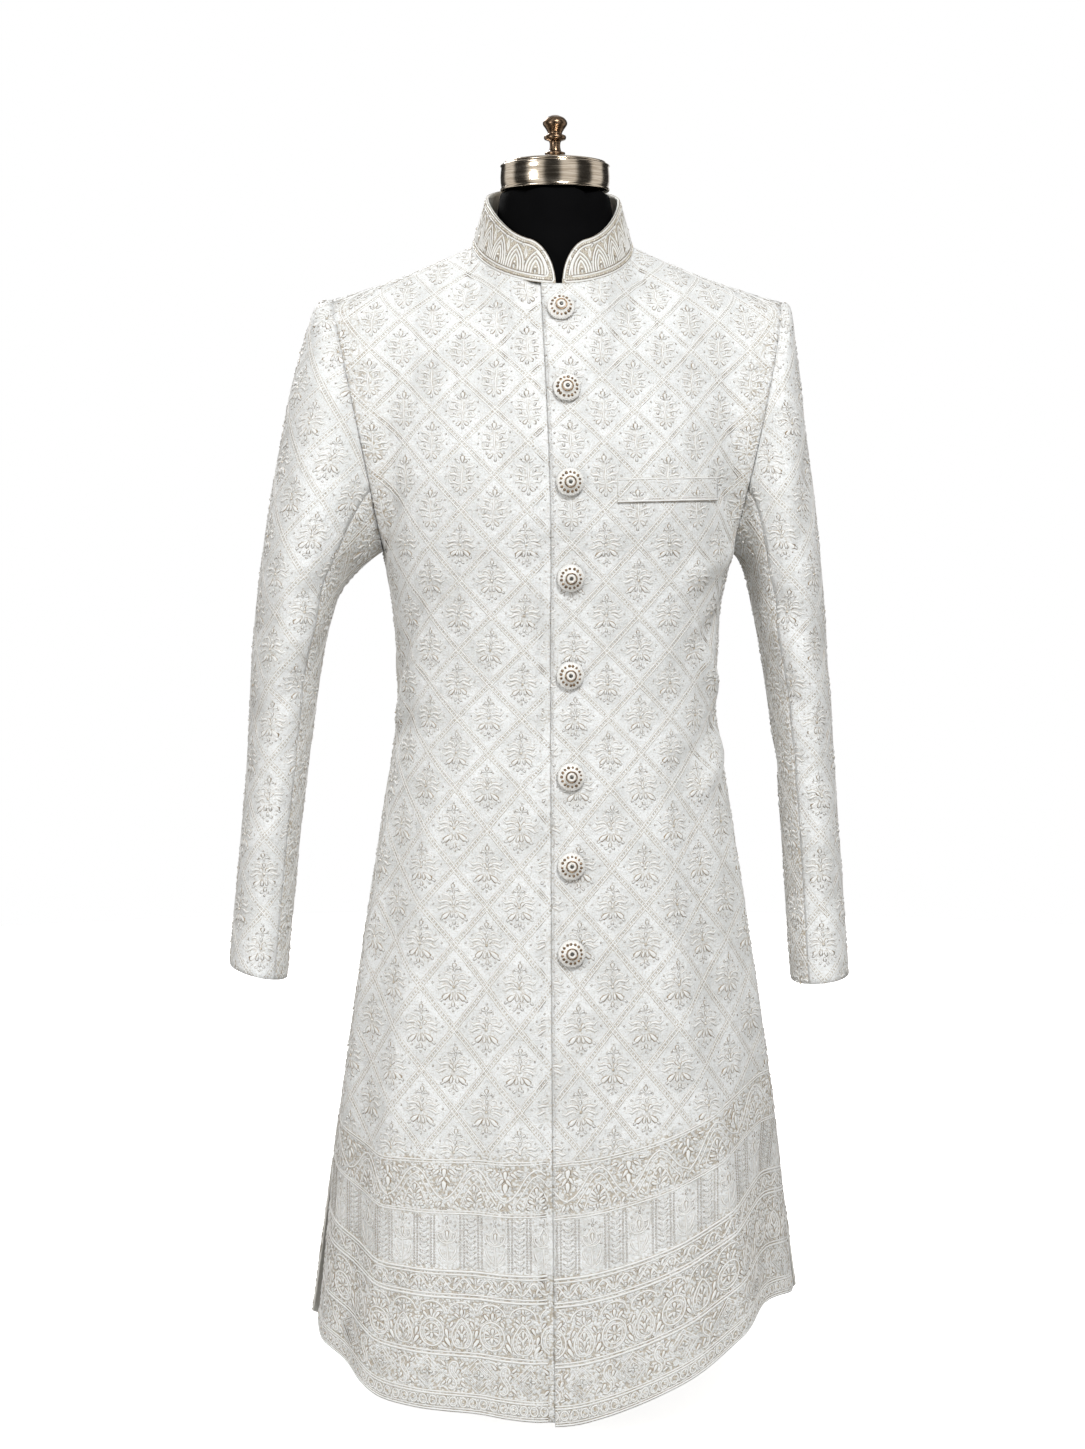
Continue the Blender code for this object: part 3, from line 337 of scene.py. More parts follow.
# One row for each crease: start place, start height, end place, end height, breadth, depth
# (a ridge is positive).
BODY_CREASES = (
    (0.54, 0.746, 0.90, 0.784, 0.019, -0.0048), (0.56, 0.756, 0.84, 0.700, 0.015, 0.0058),
    (0.50, 0.640, 0.88, 0.682, 0.017, -0.0042), (0.48, 0.815, 0.86, 0.842, 0.018, 0.0052),
    (0.64, 0.905, 0.90, 0.872, 0.018, -0.0040), (0.54, 0.608, 0.86, 0.648, 0.015, 0.0052),
    (0.80, 0.960, 0.93, 0.880, 0.017, -0.0032), (0.30, 0.560, 0.36, 0.330, 0.024, 0.0037),
    (0.47, 0.600, 0.50, 0.300, 0.026, -0.0032), (0.76, 0.560, 0.80, 0.260, 0.026, 0.0051),
    (0.87, 0.520, 0.90, 0.300, 0.022, -0.0030), (0.12, 0.420, 0.16, 0.180, 0.020, -0.0020),
    (0.42, 0.300, 0.46, 0.110, 0.022, 0.0037), (0.73, 0.250, 0.71, 0.120, 0.026, -0.0063),
    (-0.58, 0.790, -0.96, 0.705, 0.021, -0.0035), (-0.64, 0.742, -0.94, 0.668, 0.018, 0.0041),
    (-0.70, 0.680, -0.97, 0.652, 0.016, -0.0025), (-0.72, 0.885, -0.97, 0.838, 0.019, -0.0035),
    (-0.25, 0.540, -0.29, 0.300, 0.024, -0.0028), (-0.48, 0.580, -0.52, 0.260, 0.027, 0.0044),
    (-0.79, 0.540, -0.82, 0.270, 0.024, 0.0048), (-0.15, 0.400, -0.18, 0.150, 0.020, 0.0027),
    (1.12, 0.790, 1.46, 0.722, 0.022, -0.0034), (1.08, 0.730, 1.38, 0.690, 0.018, 0.0028),
    (1.15, 0.660, 1.42, 0.672, 0.020, -0.0026), (1.22, 0.860, 1.05, 0.800, 0.020, 0.0026),
    (1.62, 0.745, 1.93, 0.700, 0.022, -0.0028), (1.70, 0.690, 2.00, 0.655, 0.017, 0.0022),
    (2.88, 0.795, 2.52, 0.718, 0.023, -0.0034), (2.93, 0.724, 2.60, 0.688, 0.018, 0.0026),
    (2.84, 0.655, 2.56, 0.668, 0.021, -0.0024), (2.36, 0.752, 2.06, 0.708, 0.021, -0.0026),
    (1.36, 0.980, 1.52, 0.900, 0.020, -0.0028), (2.66, 0.985, 2.49, 0.897, 0.021, -0.0028),
    (1.85, 1.085, 2.02, 1.060, 0.015, -0.0016), (1.44, 0.600, 1.42, 0.250, 0.026, -0.0028),
    (1.92, 0.560, 1.95, 0.200, 0.027, 0.0030), (2.22, 0.600, 2.20, 0.240, 0.025, -0.0030),
    (2.52, 0.560, 2.50, 0.260, 0.026, 0.0030), (2.80, 0.520, 2.84, 0.220, 0.024, -0.0024),
)


CREASE_BAND = 0.25         # a crease does not reach further up or down than this
CREASE_START, CREASE_RISEN, CREASE_FALLING, CREASE_END = -0.3, 0.2, 0.75, 1.3
CREASE_SHARPNESS = 1.6


def crease_depth(creases, metres, height, around, closed=False):
    """How far the creases lift or sink the cloth at a place; metres is the size of one turn."""
    depth = 0.0
    for start_around, start_height, end_around, end_height, breadth, size in creases:
        if abs(height - (start_height + end_height) / 2.0) > CREASE_BAND:
            continue
        away = around - start_around
        if closed:
            away = (away + 2.0) % 4.0 - 2.0
        run_x, run_y = (end_around - start_around) * metres, end_height - start_height
        from_x, from_y = away * metres, height - start_height
        length = run_x * run_x + run_y * run_y
        along = (from_x * run_x + from_y * run_y) / length
        if CREASE_START < along < CREASE_END:
            across = (from_x * run_y - from_y * run_x) / math.sqrt(length)
            ends = (blend(CREASE_START, CREASE_RISEN, along)
                    * (1.0 - blend(CREASE_FALLING, CREASE_END, along)))
            depth += size * ends * math.exp(-(across / breadth) ** 2 * CREASE_SHARPNESS)
    return depth


print("creases", len(BODY_CREASES), "lift at one place",
      round(crease_depth(BODY_CREASES, BODY_METRES, 0.41, 0.78), 4), "m")

# %% [markdown]
# Each panel is a grid of points: rows from hem to top, columns from edge to edge. The placket
# edge is straight, the side edges open into slits, and one column always lies on the corner
# between the neckline and the shoulder seam. Every grid also keeps a flat address, as on the
# cutting table: how far across the cloth and how high, in metres. All the embroidery is drawn
# in these flat addresses, because its lines are straight on the flat cloth.
# %% Panel grids
LOWER_ROWS = 112
UPPER_ROWS = 42
FINE = 5                   # columns for each column of the solid panels
CALM_FROM, CALM_TO = 1.75, 1.95     # levels between which the creases die away


def around_at_x(x, level):
    wide = from_table(BODY_OVALS, mix(HEM_HEIGHT, ARMPIT_HEIGHT, min(level, 1.0)), 1)
    low = x / (wide * (1.0 + OVAL_SQUARENESS) * QUARTER)
    high = x / NECK_HALF_WIDTH * NECK_SHARE / QUARTER
    return mix(low, high, max(level - 1.0, 0.0))


def placket_edge_x(level):
    return mix(EDGE_X_LOW, EDGE_X_TOP, max(level - 1.0, 0.0))


def covering_edge_x(level):
    """Where the left front's edge lies on the worn coat; the neck shifts its upper end."""
    return placket_edge_x(level) + NECK_SHIFT * blend(1.0, 2.0, level)


def side_end(level):
    return 1.0 - SLIT_FRONT_PULL * slit_opening(mix(SLIT_BASE, ARMPIT_HEIGHT, min(level, 1.0)))


def columns_between(start, neck, end, near, far):
    return ([mix(start, neck, c / near) for c in range(near)]
            + [mix(neck, end, c / far) for c in range(far + 1)])


def front_left_places(level):
    start = around_at_x(placket_edge_x(level), level)
    return columns_between(start, NECK_SHARE, side_end(level), 5 * FINE, 7 * FINE)


def front_right_places(level):
    end = around_at_x(placket_edge_x(level) + UNDERLAP_REACH, level)
    return columns_between(-side_end(level), -NECK_SHARE, end, 7 * FINE, 7 * FINE)


def back_places(_level):
    left = columns_between(1.0, 2.0 - NECK_SHARE, 2.0, 7 * FINE, 5 * FINE)
    return left + [4.0 - place for place in reversed(left[:-1])]


print("left front columns", len(front_left_places(0.0)), "back columns", len(back_places(0.0)))


# %% From places to points
def grid_normals(points):
    """Outward unit normals of a grid of points [row up][column around]."""
    normal = np.cross(np.gradient(points, axis=1), np.gradient(points, axis=0))
    return normal / np.linalg.norm(normal, axis=2, keepdims=True)


def panel_grid(hem, places_at, front):
    """Outer points of a panel, with the place around of each point."""
    levels = [row / LOWER_ROWS for row in range(LOWER_ROWS)]
    levels += [1.0 + row / UPPER_ROWS for row in range(UPPER_ROWS + 1)]
    points, places = [], []
    for level in levels:
        row_places = places_at(level)
        row = []
        for around in row_places:
            if level < 1.0:
                point = lower_point(mix(from_table(hem, around, 1), ARMPIT_HEIGHT, level), around)
            else:
                point = upper_point(level - 1.0, around, column_ends(around, front))
            if front:
                tuck = SLIT_FRONT_TUCK * slit_opening(point[2]) * blend(TUCK_FROM, TUCK_TO, abs(around))
                point = point - outward(around) * tuck
            calm = 1.0 - blend(CALM_FROM, CALM_TO, level)
            depth = crease_depth(BODY_CREASES, BODY_METRES, point[2], around)
            row.append(point + outward(around) * depth * calm)
        points.append(row)
        places.append(row_places)
    return np.array(points), np.array(places)


def trim_edges(points, first=0.0, last=0.0, top=0.0):
    """Draw edge columns or the top row back along the surface, for the seam's gap."""
    points = points.copy()
    for column, beside, amount in ((0, 1, first), (-1, -2, last)):
        run = points[:, beside] - points[:, column]
        points[:, column] += run / np.linalg.norm(run, axis=1, keepdims=True) * amount
    run = points[-2] - points[-1]
    points[-1] += run / np.linalg.norm(run, axis=1, keepdims=True) * top
    return points


def lap_under(points):
    """Sink the right front where the left one covers it."""
    points = points.copy()
    normals = grid_normals(points)
    for r, row in enumerate(points):
        level = r / LOWER_ROWS if r < LOWER_ROWS else 1.0 + (r - LOWER_ROWS) / UPPER_ROWS
        edge = covering_edge_x(level)
        for c, point in enumerate(row):
            dip = blend(edge - UNDERLAP_DIP_START, edge - UNDERLAP_DIP_END, point[0])
            row[c] = point - normals[r][c] * UNDERLAP_DEPTH * dip
    return points


# %% Flat addresses of the body panels
ARC_STEP = 0.01            # metres between the heights where the girth is measured
ARMHOLE_MODEL = 0.70       # reach of the column that the armhole's columns follow
ARMHOLE_BEFORE, ARMHOLE_AFTER = 0.12, 0.08
MODEL_MISS = 0.1
ARC_PLACES = np.linspace(-1.0, 3.0, 401)


def girth_table():
    """Distance from the side seams around the body, one row for each height."""
    heights = np.arange(0.010, ARMPIT_HEIGHT + ARC_STEP, ARC_STEP)
    rows = []
    for height in heights:
        ring = np.array([lower_point(height, place) for place in ARC_PLACES])
        rows.append(walked(step_lengths(ring)))
    return heights, np.array(rows)


GIRTH_HEIGHTS, GIRTHS = girth_table()


def distance_round(height, around, middle):
    """Metres from the centre front or back to a place, at one height."""
    at = min(max((height - GIRTH_HEIGHTS[0]) / ARC_STEP, 0.0), len(GIRTH_HEIGHTS) - 1.001)
    low = int(at)
    row = mix(GIRTHS[low], GIRTHS[low + 1], at - low)
    here, centre = np.interp([around, middle], ARC_PLACES, row)
    return here - centre


def flat_addresses(points, places, middle):
    """Address of each point: metres from the middle, and height along the cloth."""
    flat = np.zeros(points.shape[:2] + (2,))
    for r in range(LOWER_ROWS + 1):
        for c in range(points.shape[1]):
            height = points[r, c, 2]
            flat[r, c] = (distance_round(height, places[r, c], middle), height)
    upper = points[LOWER_ROWS:]
    by_column = np.gradient(upper, axis=1)
    by_row = np.gradient(upper, axis=0)
    spin = by_column[:, :, 0] * by_row[:, :, 2] - by_row[:, :, 0] * by_column[:, :, 2]
    y_by_x = (by_column[:, :, 1] * by_row[:, :, 2] - by_row[:, :, 1] * by_column[:, :, 2]) / spin
    y_by_z = (by_column[:, :, 0] * by_row[:, :, 1] - by_row[:, :, 0] * by_column[:, :, 1]) / spin
    across = np.clip(np.sqrt(1.0 + y_by_x ** 2), 1.0, 2.0)
    rising = np.clip(np.sqrt(1.0 + y_by_z ** 2), 1.0, 4.0)
    start = int(np.argmin(np.abs(places[LOWER_ROWS] - middle)))
    facing = 1.0 if middle < 1.0 else -1.0
    for r in range(1, upper.shape[0]):
        steps = np.diff(upper[r, :, 0]) * (across[r, 1:] + across[r, :-1]) / 2.0 * facing
        along = walked(steps)
        flat[LOWER_ROWS + r, :, 0] = along + (upper[r, start, 0] * facing - along[start])
        climb = np.abs(upper[r, :, 2] - upper[r - 1, :, 2]) * (rising[r] + rising[r - 1]) / 2.0
        flat[LOWER_ROWS + r, :, 1] = flat[LOWER_ROWS + r - 1, :, 1] + climb
    level_armhole_columns(upper, flat[LOWER_ROWS:], np.abs(places[LOWER_ROWS] - middle))
    return flat


def level_armhole_columns(upper, flat, reach):
    """Beside the armhole the cloth turns away; its rows stay level with those next to it."""
    for half in (np.arange(len(reach)) <= np.argmin(reach), np.arange(len(reach)) >= np.argmin(reach)):
        columns = np.where(half)[0]
        model = columns[np.argmin(np.abs(reach[columns] - ARMHOLE_MODEL))]
        if abs(reach[model] - ARMHOLE_MODEL) > MODEL_MISS:
            continue
        for c in columns:
            level = np.interp(upper[:, c, 2], upper[:, model, 2], flat[:, model, 1])
            share = blend(ARMHOLE_MODEL - ARMHOLE_BEFORE, ARMHOLE_MODEL + ARMHOLE_AFTER, reach[c])
            flat[:, c, 1] = mix(flat[:, c, 1], level, share)


print("girth at the armpits", round(float(GIRTHS[-1, -1]), 3), "m")


# %% The body panels
def body_panel(hem, places_at, middle, sides):
    front = middle < 1.0
    points, places = panel_grid(hem, places_at, front)
    flat = flat_addresses(points, places, middle)
    if sides == "right":
        points = lap_under(points)
    first = 0.0 if sides == "left" else SEAM_GAP
    last = 0.0 if sides == "right" else SEAM_GAP
    return {"points": trim_edges(points, first, last, SEAM_GAP), "flat": flat, "places": places}


PANELS = {
    "front_left": body_panel(FRONT_LEFT_HEM, front_left_places, 0.0, "left"),
    "front_right": body_panel(FRONT_RIGHT_HEM, front_right_places, 0.0, "right"),
    "back": body_panel(BACK_HEM, back_places, 2.0, "both"),
}
for panel_name, panel in PANELS.items():
    low, high = panel["flat"].min(axis=(0, 1)), panel["flat"].max(axis=(0, 1))
    print(panel_name, panel["points"].shape, "flat", np.round(low, 3), np.round(high, 3))

# %% [markdown]
# The lattice of raised double lines is the coat's main pattern. Its lines meet in columns 32
# mm apart. The rows are closer on the chest than on the skirt, so a short table gives the
# height of each row. A lattice address counts diamonds: both numbers whole is the middle of a
# diamond, and a half is a line.
# %% Lattice addresses
COLUMN_PITCH = 0.0318
FIRST_COLUMN = 0.0130
CHEST_SHIFT = 0.0090       # the columns stand this much closer to the middle on the chest
CHEST_LOW, CHEST_HIGH = 0.45, 1.00
# One row for each row of flowers in an even column: height on the cloth, row number.
LATTICE_ROWS = (
    (0.000, -4.0), (0.077, -3.0), (0.154, -2.0), (0.231, -1.0), (0.308, 0.0), (0.3855, 1.0),
    (0.4655, 2.0), (0.5385, 3.0), (0.6150, 4.0), (0.6815, 5.0), (0.7460, 6.0), (0.8120, 7.0),
    (0.8800, 8.0), (0.9440, 9.0), (1.0060, 10.0), (1.0680, 11.0), (1.1280, 12.0), (1.2400, 14.0),
)
ROW_HEIGHTS = [row[0] for row in LATTICE_ROWS]
ROW_NUMBERS = [row[1] for row in LATTICE_ROWS]


def chest_shift(height):
    return CHEST_SHIFT * blend(CHEST_LOW, CHEST_HIGH, height)


def body_lattice(across, height, side):
    """Lattice address of a flat address. side is 1 or -1 on a front and 0 on the back."""
    shift = chest_shift(height)
    column = (side * across - FIRST_COLUMN + shift if side else across) / COLUMN_PITCH
    row = 2.0 * np.interp(height, ROW_HEIGHTS, ROW_NUMBERS)
    return np.array([(column + row) / 2.0, (row - column) / 2.0])


def body_flat(first, second, side):
    """Flat address of a lattice address; the two fronts mirror each other."""
    row = first + second
    height = np.interp(row / 2.0, ROW_NUMBERS, ROW_HEIGHTS)
    across = (first - second) * COLUMN_PITCH
    return np.array([side * (across + FIRST_COLUMN - chest_shift(height)) if side else across, height])


# %% [markdown]
# A sleeve is a tube of rings that hangs from the armhole. It is cut in two pieces: a wide top
# sleeve and a narrow under sleeve. One bent tube would meet the armhole badly, so above the
# last ring each column has its own curve to its own point of the armhole. Around the sleeve,
# turn 0 is the outer side, 1 the front, 2 the inner side and 3 (or -1) the back.
# %% Sizes of the sleeves
# Rings: height, how far out, how far to the back, half width, half depth.
LEFT_SLEEVE_RINGS = (
    (0.4185, 0.2597, -0.032, 0.0279, 0.0480), (0.4480, 0.2582, -0.026, 0.0280, 0.0490),
    (0.5090, 0.2557, -0.015, 0.0279, 0.0515), (0.5700, 0.2520, -0.007, 0.0275, 0.0545),
    (0.6300, 0.2478, -0.002, 0.0283, 0.0580), (0.6900, 0.2422, 0.001, 0.0302, 0.0620),
    (0.7500, 0.2352, 0.002, 0.0327, 0.0670), (0.7900, 0.2294, 0.002, 0.0351, 0.0710),
)
RIGHT_SLEEVE_RINGS = (
    (0.4300, 0.2953, -0.030, 0.0280, 0.0480), (0.4550, 0.2936, -0.025, 0.0282, 0.0490),
    (0.5090, 0.2883, -0.015, 0.0283, 0.0515), (0.5700, 0.2825, -0.007, 0.0288, 0.0545),
    (0.6300, 0.2760, -0.002, 0.0303, 0.0580), (0.6900, 0.2705, 0.001, 0.0326, 0.0620),
    (0.7500, 0.2640, 0.002, 0.0356, 0.0670), (0.7900, 0.2564, 0.002, 0.0390, 0.0715),
)
LEFT_CUFF_TILT, RIGHT_CUFF_TILT = 0.15, 0.25
CUFF_TILT_HEIGHT = 0.20
LEFT_HEAD_SPREAD, RIGHT_HEAD_SPREAD = 0.045, 0.092
SLEEVE_HEAD_ROLL = 0.0065
HEAD_ROLL_SHARE = 0.08
UNDERARM_SPREAD, FRONT_LEAVE, UNDERARM_DROP = 0.035, 0.045, 0.02
FRONT_SLEEVE_SEAM, BACK_SLEEVE_SEAM = 1.42, -1.30
SLEEVE_RING_ROWS = 68
SLEEVE_HEAD_ROWS = 42
HEAD_SPACING = 0.85        # below 1, the rows of the head are closer together near the armhole
HEAD_CALM = 0.3

# Creases of the sleeves: start turn, start height, end turn, end height, breadth, depth.
LEFT_SLEEVE_CREASES = (
    (1.50, 0.800, 0.30, 0.730, 0.017, -0.0032), (1.55, 0.765, 0.55, 0.690, 0.014, 0.0024),
    (1.45, 0.700, 0.40, 0.655, 0.015, -0.0026), (0.35, 0.930, 0.95, 0.820, 0.018, -0.0028),
    (1.40, 0.640, 0.65, 0.610, 0.013, -0.0022), (1.35, 0.610, 0.45, 0.590, 0.012, 0.0016),
    (0.95, 0.540, 0.25, 0.500, 0.014, -0.0018), (1.30, 0.470, 0.60, 0.505, 0.013, -0.0016),
    (-0.60, 0.860, -1.25, 0.760, 0.018, -0.0030), (-0.45, 0.700, -1.20, 0.640, 0.016, -0.0024),
    (-0.50, 0.590, -1.15, 0.625, 0.014, 0.0020), (-0.35, 0.520, -1.00, 0.480, 0.015, -0.0018),
    (0.00, 0.990, 0.45, 0.900, 0.014, -0.0016), (2.10, 0.640, 2.40, 0.600, 0.015, -0.0026),
)
RIGHT_SLEEVE_CREASES = (
    (1.48, 0.815, 0.35, 0.760, 0.018, -0.0030), (1.50, 0.770, 0.50, 0.705, 0.015, 0.0024),
    (1.42, 0.715, 0.30, 0.670, 0.016, -0.0028), (0.30, 0.955, 0.90, 0.830, 0.019, -0.0030),
    (0.10, 1.000, 0.55, 0.905, 0.015, 0.0018), (1.38, 0.655, 0.55, 0.600, 0.014, -0.0022),
    (1.10, 0.570, 0.30, 0.545, 0.013, 0.0016), (1.25, 0.500, 0.45, 0.475, 0.014, -0.0018),
    (-0.55, 0.850, -1.22, 0.775, 0.018, -0.0028), (-0.40, 0.720, -1.15, 0.655, 0.016, -0.0024),
    (-0.55, 0.600, -1.20, 0.585, 0.014, 0.0018), (2.15, 0.650, 2.45, 0.615, 0.015, -0.0024),
)


# %% The sleeve surface
def armhole_point(turn, side):
    turn = turn % 4.0
    if turn <= 2.0:
        return upper_point(1.0 - turn / 2.0, side, column_ends(side, True))
    place = 1.0 if side > 0 else 3.0
    return upper_point((turn - 2.0) / 2.0, place, column_ends(place, False))


def sleeve_ring_point(rings, tilt, height, turn, side):
    angle = turn * QUARTER
    reach = from_table(rings, height, 3) * math.cos(angle)
    cuff = rings[0][0]
    lift = tilt * reach * (1.0 - blend(cuff, cuff + CUFF_TILT_HEIGHT, height))
    return np.array([side * (from_table(rings, height, 1) + reach),
                     from_table(rings, height, 2) - from_table(rings, height, 4) * math.sin(angle),
                     height + lift])


def sleeve_head_column(rings, tilt, spread, turn, side, shares):
    """Points from the top ring (share 1) up to the armhole (share 0)."""
    start = armhole_point(turn, side)
    top = rings[-1][0]
    end = sleeve_ring_point(rings, tilt, top, turn, side)
    step = 0.02
    below = sleeve_ring_point(rings, tilt, top - step, turn, side)
    angle = turn * QUARTER
    upper = max(math.cos(angle), 0.0)
    leave = np.array([side * mix(UNDERARM_SPREAD, spread, upper), -FRONT_LEAVE * math.sin(angle),
                      -UNDERARM_DROP * (1.0 - upper)])
    arrive = (below - end) / step * (start[2] - end[2])
    points = []
    for share in shares:
        point = curve(start, leave, end, arrive, share)
        roll = share / HEAD_ROLL_SHARE
        point[0] += side * SLEEVE_HEAD_ROLL * upper * roll * math.exp(1.0 - roll)
        points.append(point)
    return points


print("left armhole top", np.round(armhole_point(0.0, 1.0), 4))


# %% The sleeve pieces
def sleeve_piece(rings, tilt, spread, creases, side, start, end, columns):
    """Grid and flat addresses of one sleeve piece; turns run between its two seams."""
    step = (end - start) / columns
    turns = [start + step * c for c in range(-1, columns + 2)]
    if side < 0:
        turns.reverse()
    cuff, top = rings[0][0], rings[-1][0]
    head_shares = [1.0 - (r / SLEEVE_HEAD_ROWS) ** HEAD_SPACING for r in range(SLEEVE_HEAD_ROWS + 1)]
    columns_up = []
    for turn in turns:
        column = [sleeve_ring_point(rings, tilt, mix(cuff, top, r / SLEEVE_RING_ROWS), turn, side)
                  for r in range(SLEEVE_RING_ROWS)]
        column += sleeve_head_column(rings, tilt, spread, turn, side, head_shares)
        columns_up.append(column)
    points = np.array(columns_up).transpose(1, 0, 2)
    normals = grid_normals(points)
    for c, turn in enumerate(turns):
        for r in range(points.shape[0]):
            calm = 1.0 if r <= SLEEVE_RING_ROWS else blend(0.0, HEAD_CALM, head_shares[r - SLEEVE_RING_ROWS])
            depth = crease_depth(creases, SLEEVE_METRES, points[r, c, 2], turn, True)
            points[r, c] += normals[r, c] * depth * calm
    normals = grid_normals(points)[:, 1:-1]
    points = points[:, 1:-1]
    turns = np.array(turns[1:-1])
    flat = np.zeros(points.shape[:2] + (2,))
    steps = np.linalg.norm(np.diff(points, axis=1)[:, :, :2], axis=2)
    along = np.array([walked(row) for row in steps])
    order = np.argsort(turns)
    outer = 0.0 if turns.min() <= 0.0 <= turns.max() else turns.mean()
    for r in range(len(points)):
        flat[r, :, 0] = along[r] - np.interp(outer, turns[order], along[r][order])
    climb = np.linalg.norm(np.diff(points, axis=0), axis=2).mean(axis=1)
    flat[:, :, 1] = (cuff + walked(climb))[:, None]
    ringed = points[:SLEEVE_RING_ROWS, :, 2]
    flat[:SLEEVE_RING_ROWS, :, 1] += ringed - ringed.mean(axis=1, keepdims=True)
    # In the head the distances across are taken at one height, as in the rings below.
    middle = int(np.argmin(np.abs(turns - outer)))
    heights = np.maximum.accumulate(points[:, :, 2], axis=0) + np.arange(len(points))[:, None] * 1e-7
    for r in range(SLEEVE_RING_ROWS, len(points)):
        over = np.linalg.norm(points[r] - points[r - 1], axis=1) - (points[r, :, 2] - points[r - 1, :, 2])
        over *= np.maximum(np.cos(turns * QUARTER), 0.0) ** 2
        flat[r, :, 1] = flat[r - 1, :, 1] + points[r, :, 2] - points[r - 1, :, 2] + over
        for c in range(len(turns)):
            between = range(min(c, middle), max(c, middle) + 1)
            level = [[np.interp(points[r, c, 2], heights[:, k], points[:, k, axis]) for axis in (0, 1)]
                     for k in between]
            away = step_lengths(level).sum() if len(level) > 1 else 0.0
            flat[r, c, 0] = away if c > middle else -away
    return {"points": trim_edges(points, SEAM_GAP, SEAM_GAP, 2.0 * SEAM_GAP), "flat": flat,
            "normals": normals}


for word, rings, tilt, spread, creases, side in (
        ("left", LEFT_SLEEVE_RINGS, LEFT_CUFF_TILT, LEFT_HEAD_SPREAD, LEFT_SLEEVE_CREASES, 1),
        ("right", RIGHT_SLEEVE_RINGS, RIGHT_CUFF_TILT, RIGHT_HEAD_SPREAD, RIGHT_SLEEVE_CREASES, -1)):
    PANELS[word + "_top_sleeve"] = sleeve_piece(rings, tilt, spread, creases, side,
                                                FRONT_SLEEVE_SEAM, BACK_SLEEVE_SEAM, 40)
    PANELS[word + "_under_sleeve"] = sleeve_piece(rings, tilt, spread, creases, side,
                                                  BACK_SLEEVE_SEAM + 4.0, FRONT_SLEEVE_SEAM, 20)
print("sleeve length", round(float(np.ptp(PANELS["left_top_sleeve"]["flat"][:, :, 1])), 3), "m")

# %% Lattice of the sleeves
SLEEVE_ROW_PITCH = 0.0730
SLEEVE_FIRST_ROW = 0.455


def sleeve_lattice(across, height, _side):
    column = across / COLUMN_PITCH
    row = 2.0 * (height - SLEEVE_FIRST_ROW) / SLEEVE_ROW_PITCH
    return np.array([(column + row) / 2.0, (row - column) / 2.0])


def sleeve_flat(first, second, _side):
    return np.array([(first - second) * COLUMN_PITCH,
                     SLEEVE_FIRST_ROW + (first + second) / 2.0 * SLEEVE_ROW_PITCH])

# %% [markdown]
# The brocade is ivory silk and cotton with a matt, slightly cool ground. Light catches the
# thread only on top of each ridge, and the gaps beside the ridges lie in shade. That shade is
# painted into the materials: the cloth gets a painted shadow along each lattice cord, and each
# stitch carries a value called "crest" that runs from 0 at its edge to 1 on its ridge, with
# painted shade where it is low.
# %% Material tools
CLOTH_WHITE = (0.828, 0.842, 0.846, 1.0)
# The brocade is tinted towards this beige for its ticks and speckles, and for painted shadows and shade.
CLOTH_BEIGE = (0.400, 0.332, 0.240, 1.0)
THREAD_IVORY = (0.862, 0.866, 0.855, 1.0)
# Painted shade for the low edges of the stitches.
THREAD_PAINTED_SHADE = (0.300, 0.228, 0.145, 1.0)
KNOT_SMOOTHNESS = 0.35
SHADER_INPUTS = {"metallic": "Metallic", "specular": "Specular IOR Level", "coat": "Coat Weight",
                 "sheen": "Sheen Weight", "glow": "Emission Strength"}


def connect(owner, source, target):
    """Join a socket of a material, the world or a node group, or set a plain value."""
    if isinstance(source, bpy.types.NodeSocket):
        getattr(owner, "node_tree", owner).links.new(source, target)
    else:
        target.default_value = source


def new_node(owner, kind, inputs=None, **settings):
    """A new node; each of its inputs is a socket to join or a plain value."""
    node = getattr(owner, "node_tree", owner).nodes.new(kind)
    for key, value in settings.items():
        setattr(node, key, value)
    for key, value in (inputs or {}).items():
        connect(owner, value, node.inputs[key])
    return node


def shader_of(material):
    return material.node_tree.nodes["Principled BSDF"]


def new_material(name, colour, roughness, **others):
    material = bpy.data.materials.new(name)
    material.use_nodes = True
    material.diffuse_color = colour
    shader = shader_of(material)
    shader.inputs["Base Color"].default_value = colour
    shader.inputs["Roughness"].default_value = roughness
    for title, value in others.items():
        shader.inputs[SHADER_INPUTS[title]].default_value = value
    return material


def finish(material, colour, normal=None):
    """Give a material its colour and its relief."""
    connect(material, colour, shader_of(material).inputs["Base Color"])
    if normal is not None:
        connect(material, normal, shader_of(material).inputs["Normal"])
    return material


# %% Shading nodes
def maths(owner, operation, first, second=0.0, clamp=False):
    return new_node(owner, "ShaderNodeMath", {0: first, 1: second}, operation=operation,
                    use_clamp=clamp).outputs[0]


def smooth_range(owner, value, low, high):
    """0 at low, 1 at high, with soft ends."""
    return new_node(owner, "ShaderNodeMapRange", {"Value": value, "From Min": low, "From Max": high},
                    interpolation_type="SMOOTHSTEP").outputs["Result"]


def mix_colours(owner, share, first, second):
    return new_node(owner, "ShaderNodeMix", {0: share, 6: first, 7: second}, data_type="RGBA").outputs[2]


def attribute(owner, name):
    return new_node(owner, "ShaderNodeAttribute", attribute_name=name).outputs["Fac"]


def split(owner, vector):
    return new_node(owner, "ShaderNodeSeparateXYZ", {0: vector}).outputs[:2]


def uv_map(owner, name):
    return new_node(owner, "ShaderNodeUVMap", uv_map=name).outputs["UV"]


def object_coordinates(owner):
    return new_node(owner, "ShaderNodeTexCoord").outputs["Object"]


def noise(owner, vector, scale, detail=2.0, roughness=0.5):
    return new_node(owner, "ShaderNodeTexNoise", {"Vector": vector, "Scale": scale, "Detail": detail,
                                                  "Roughness": roughness}).outputs["Fac"]


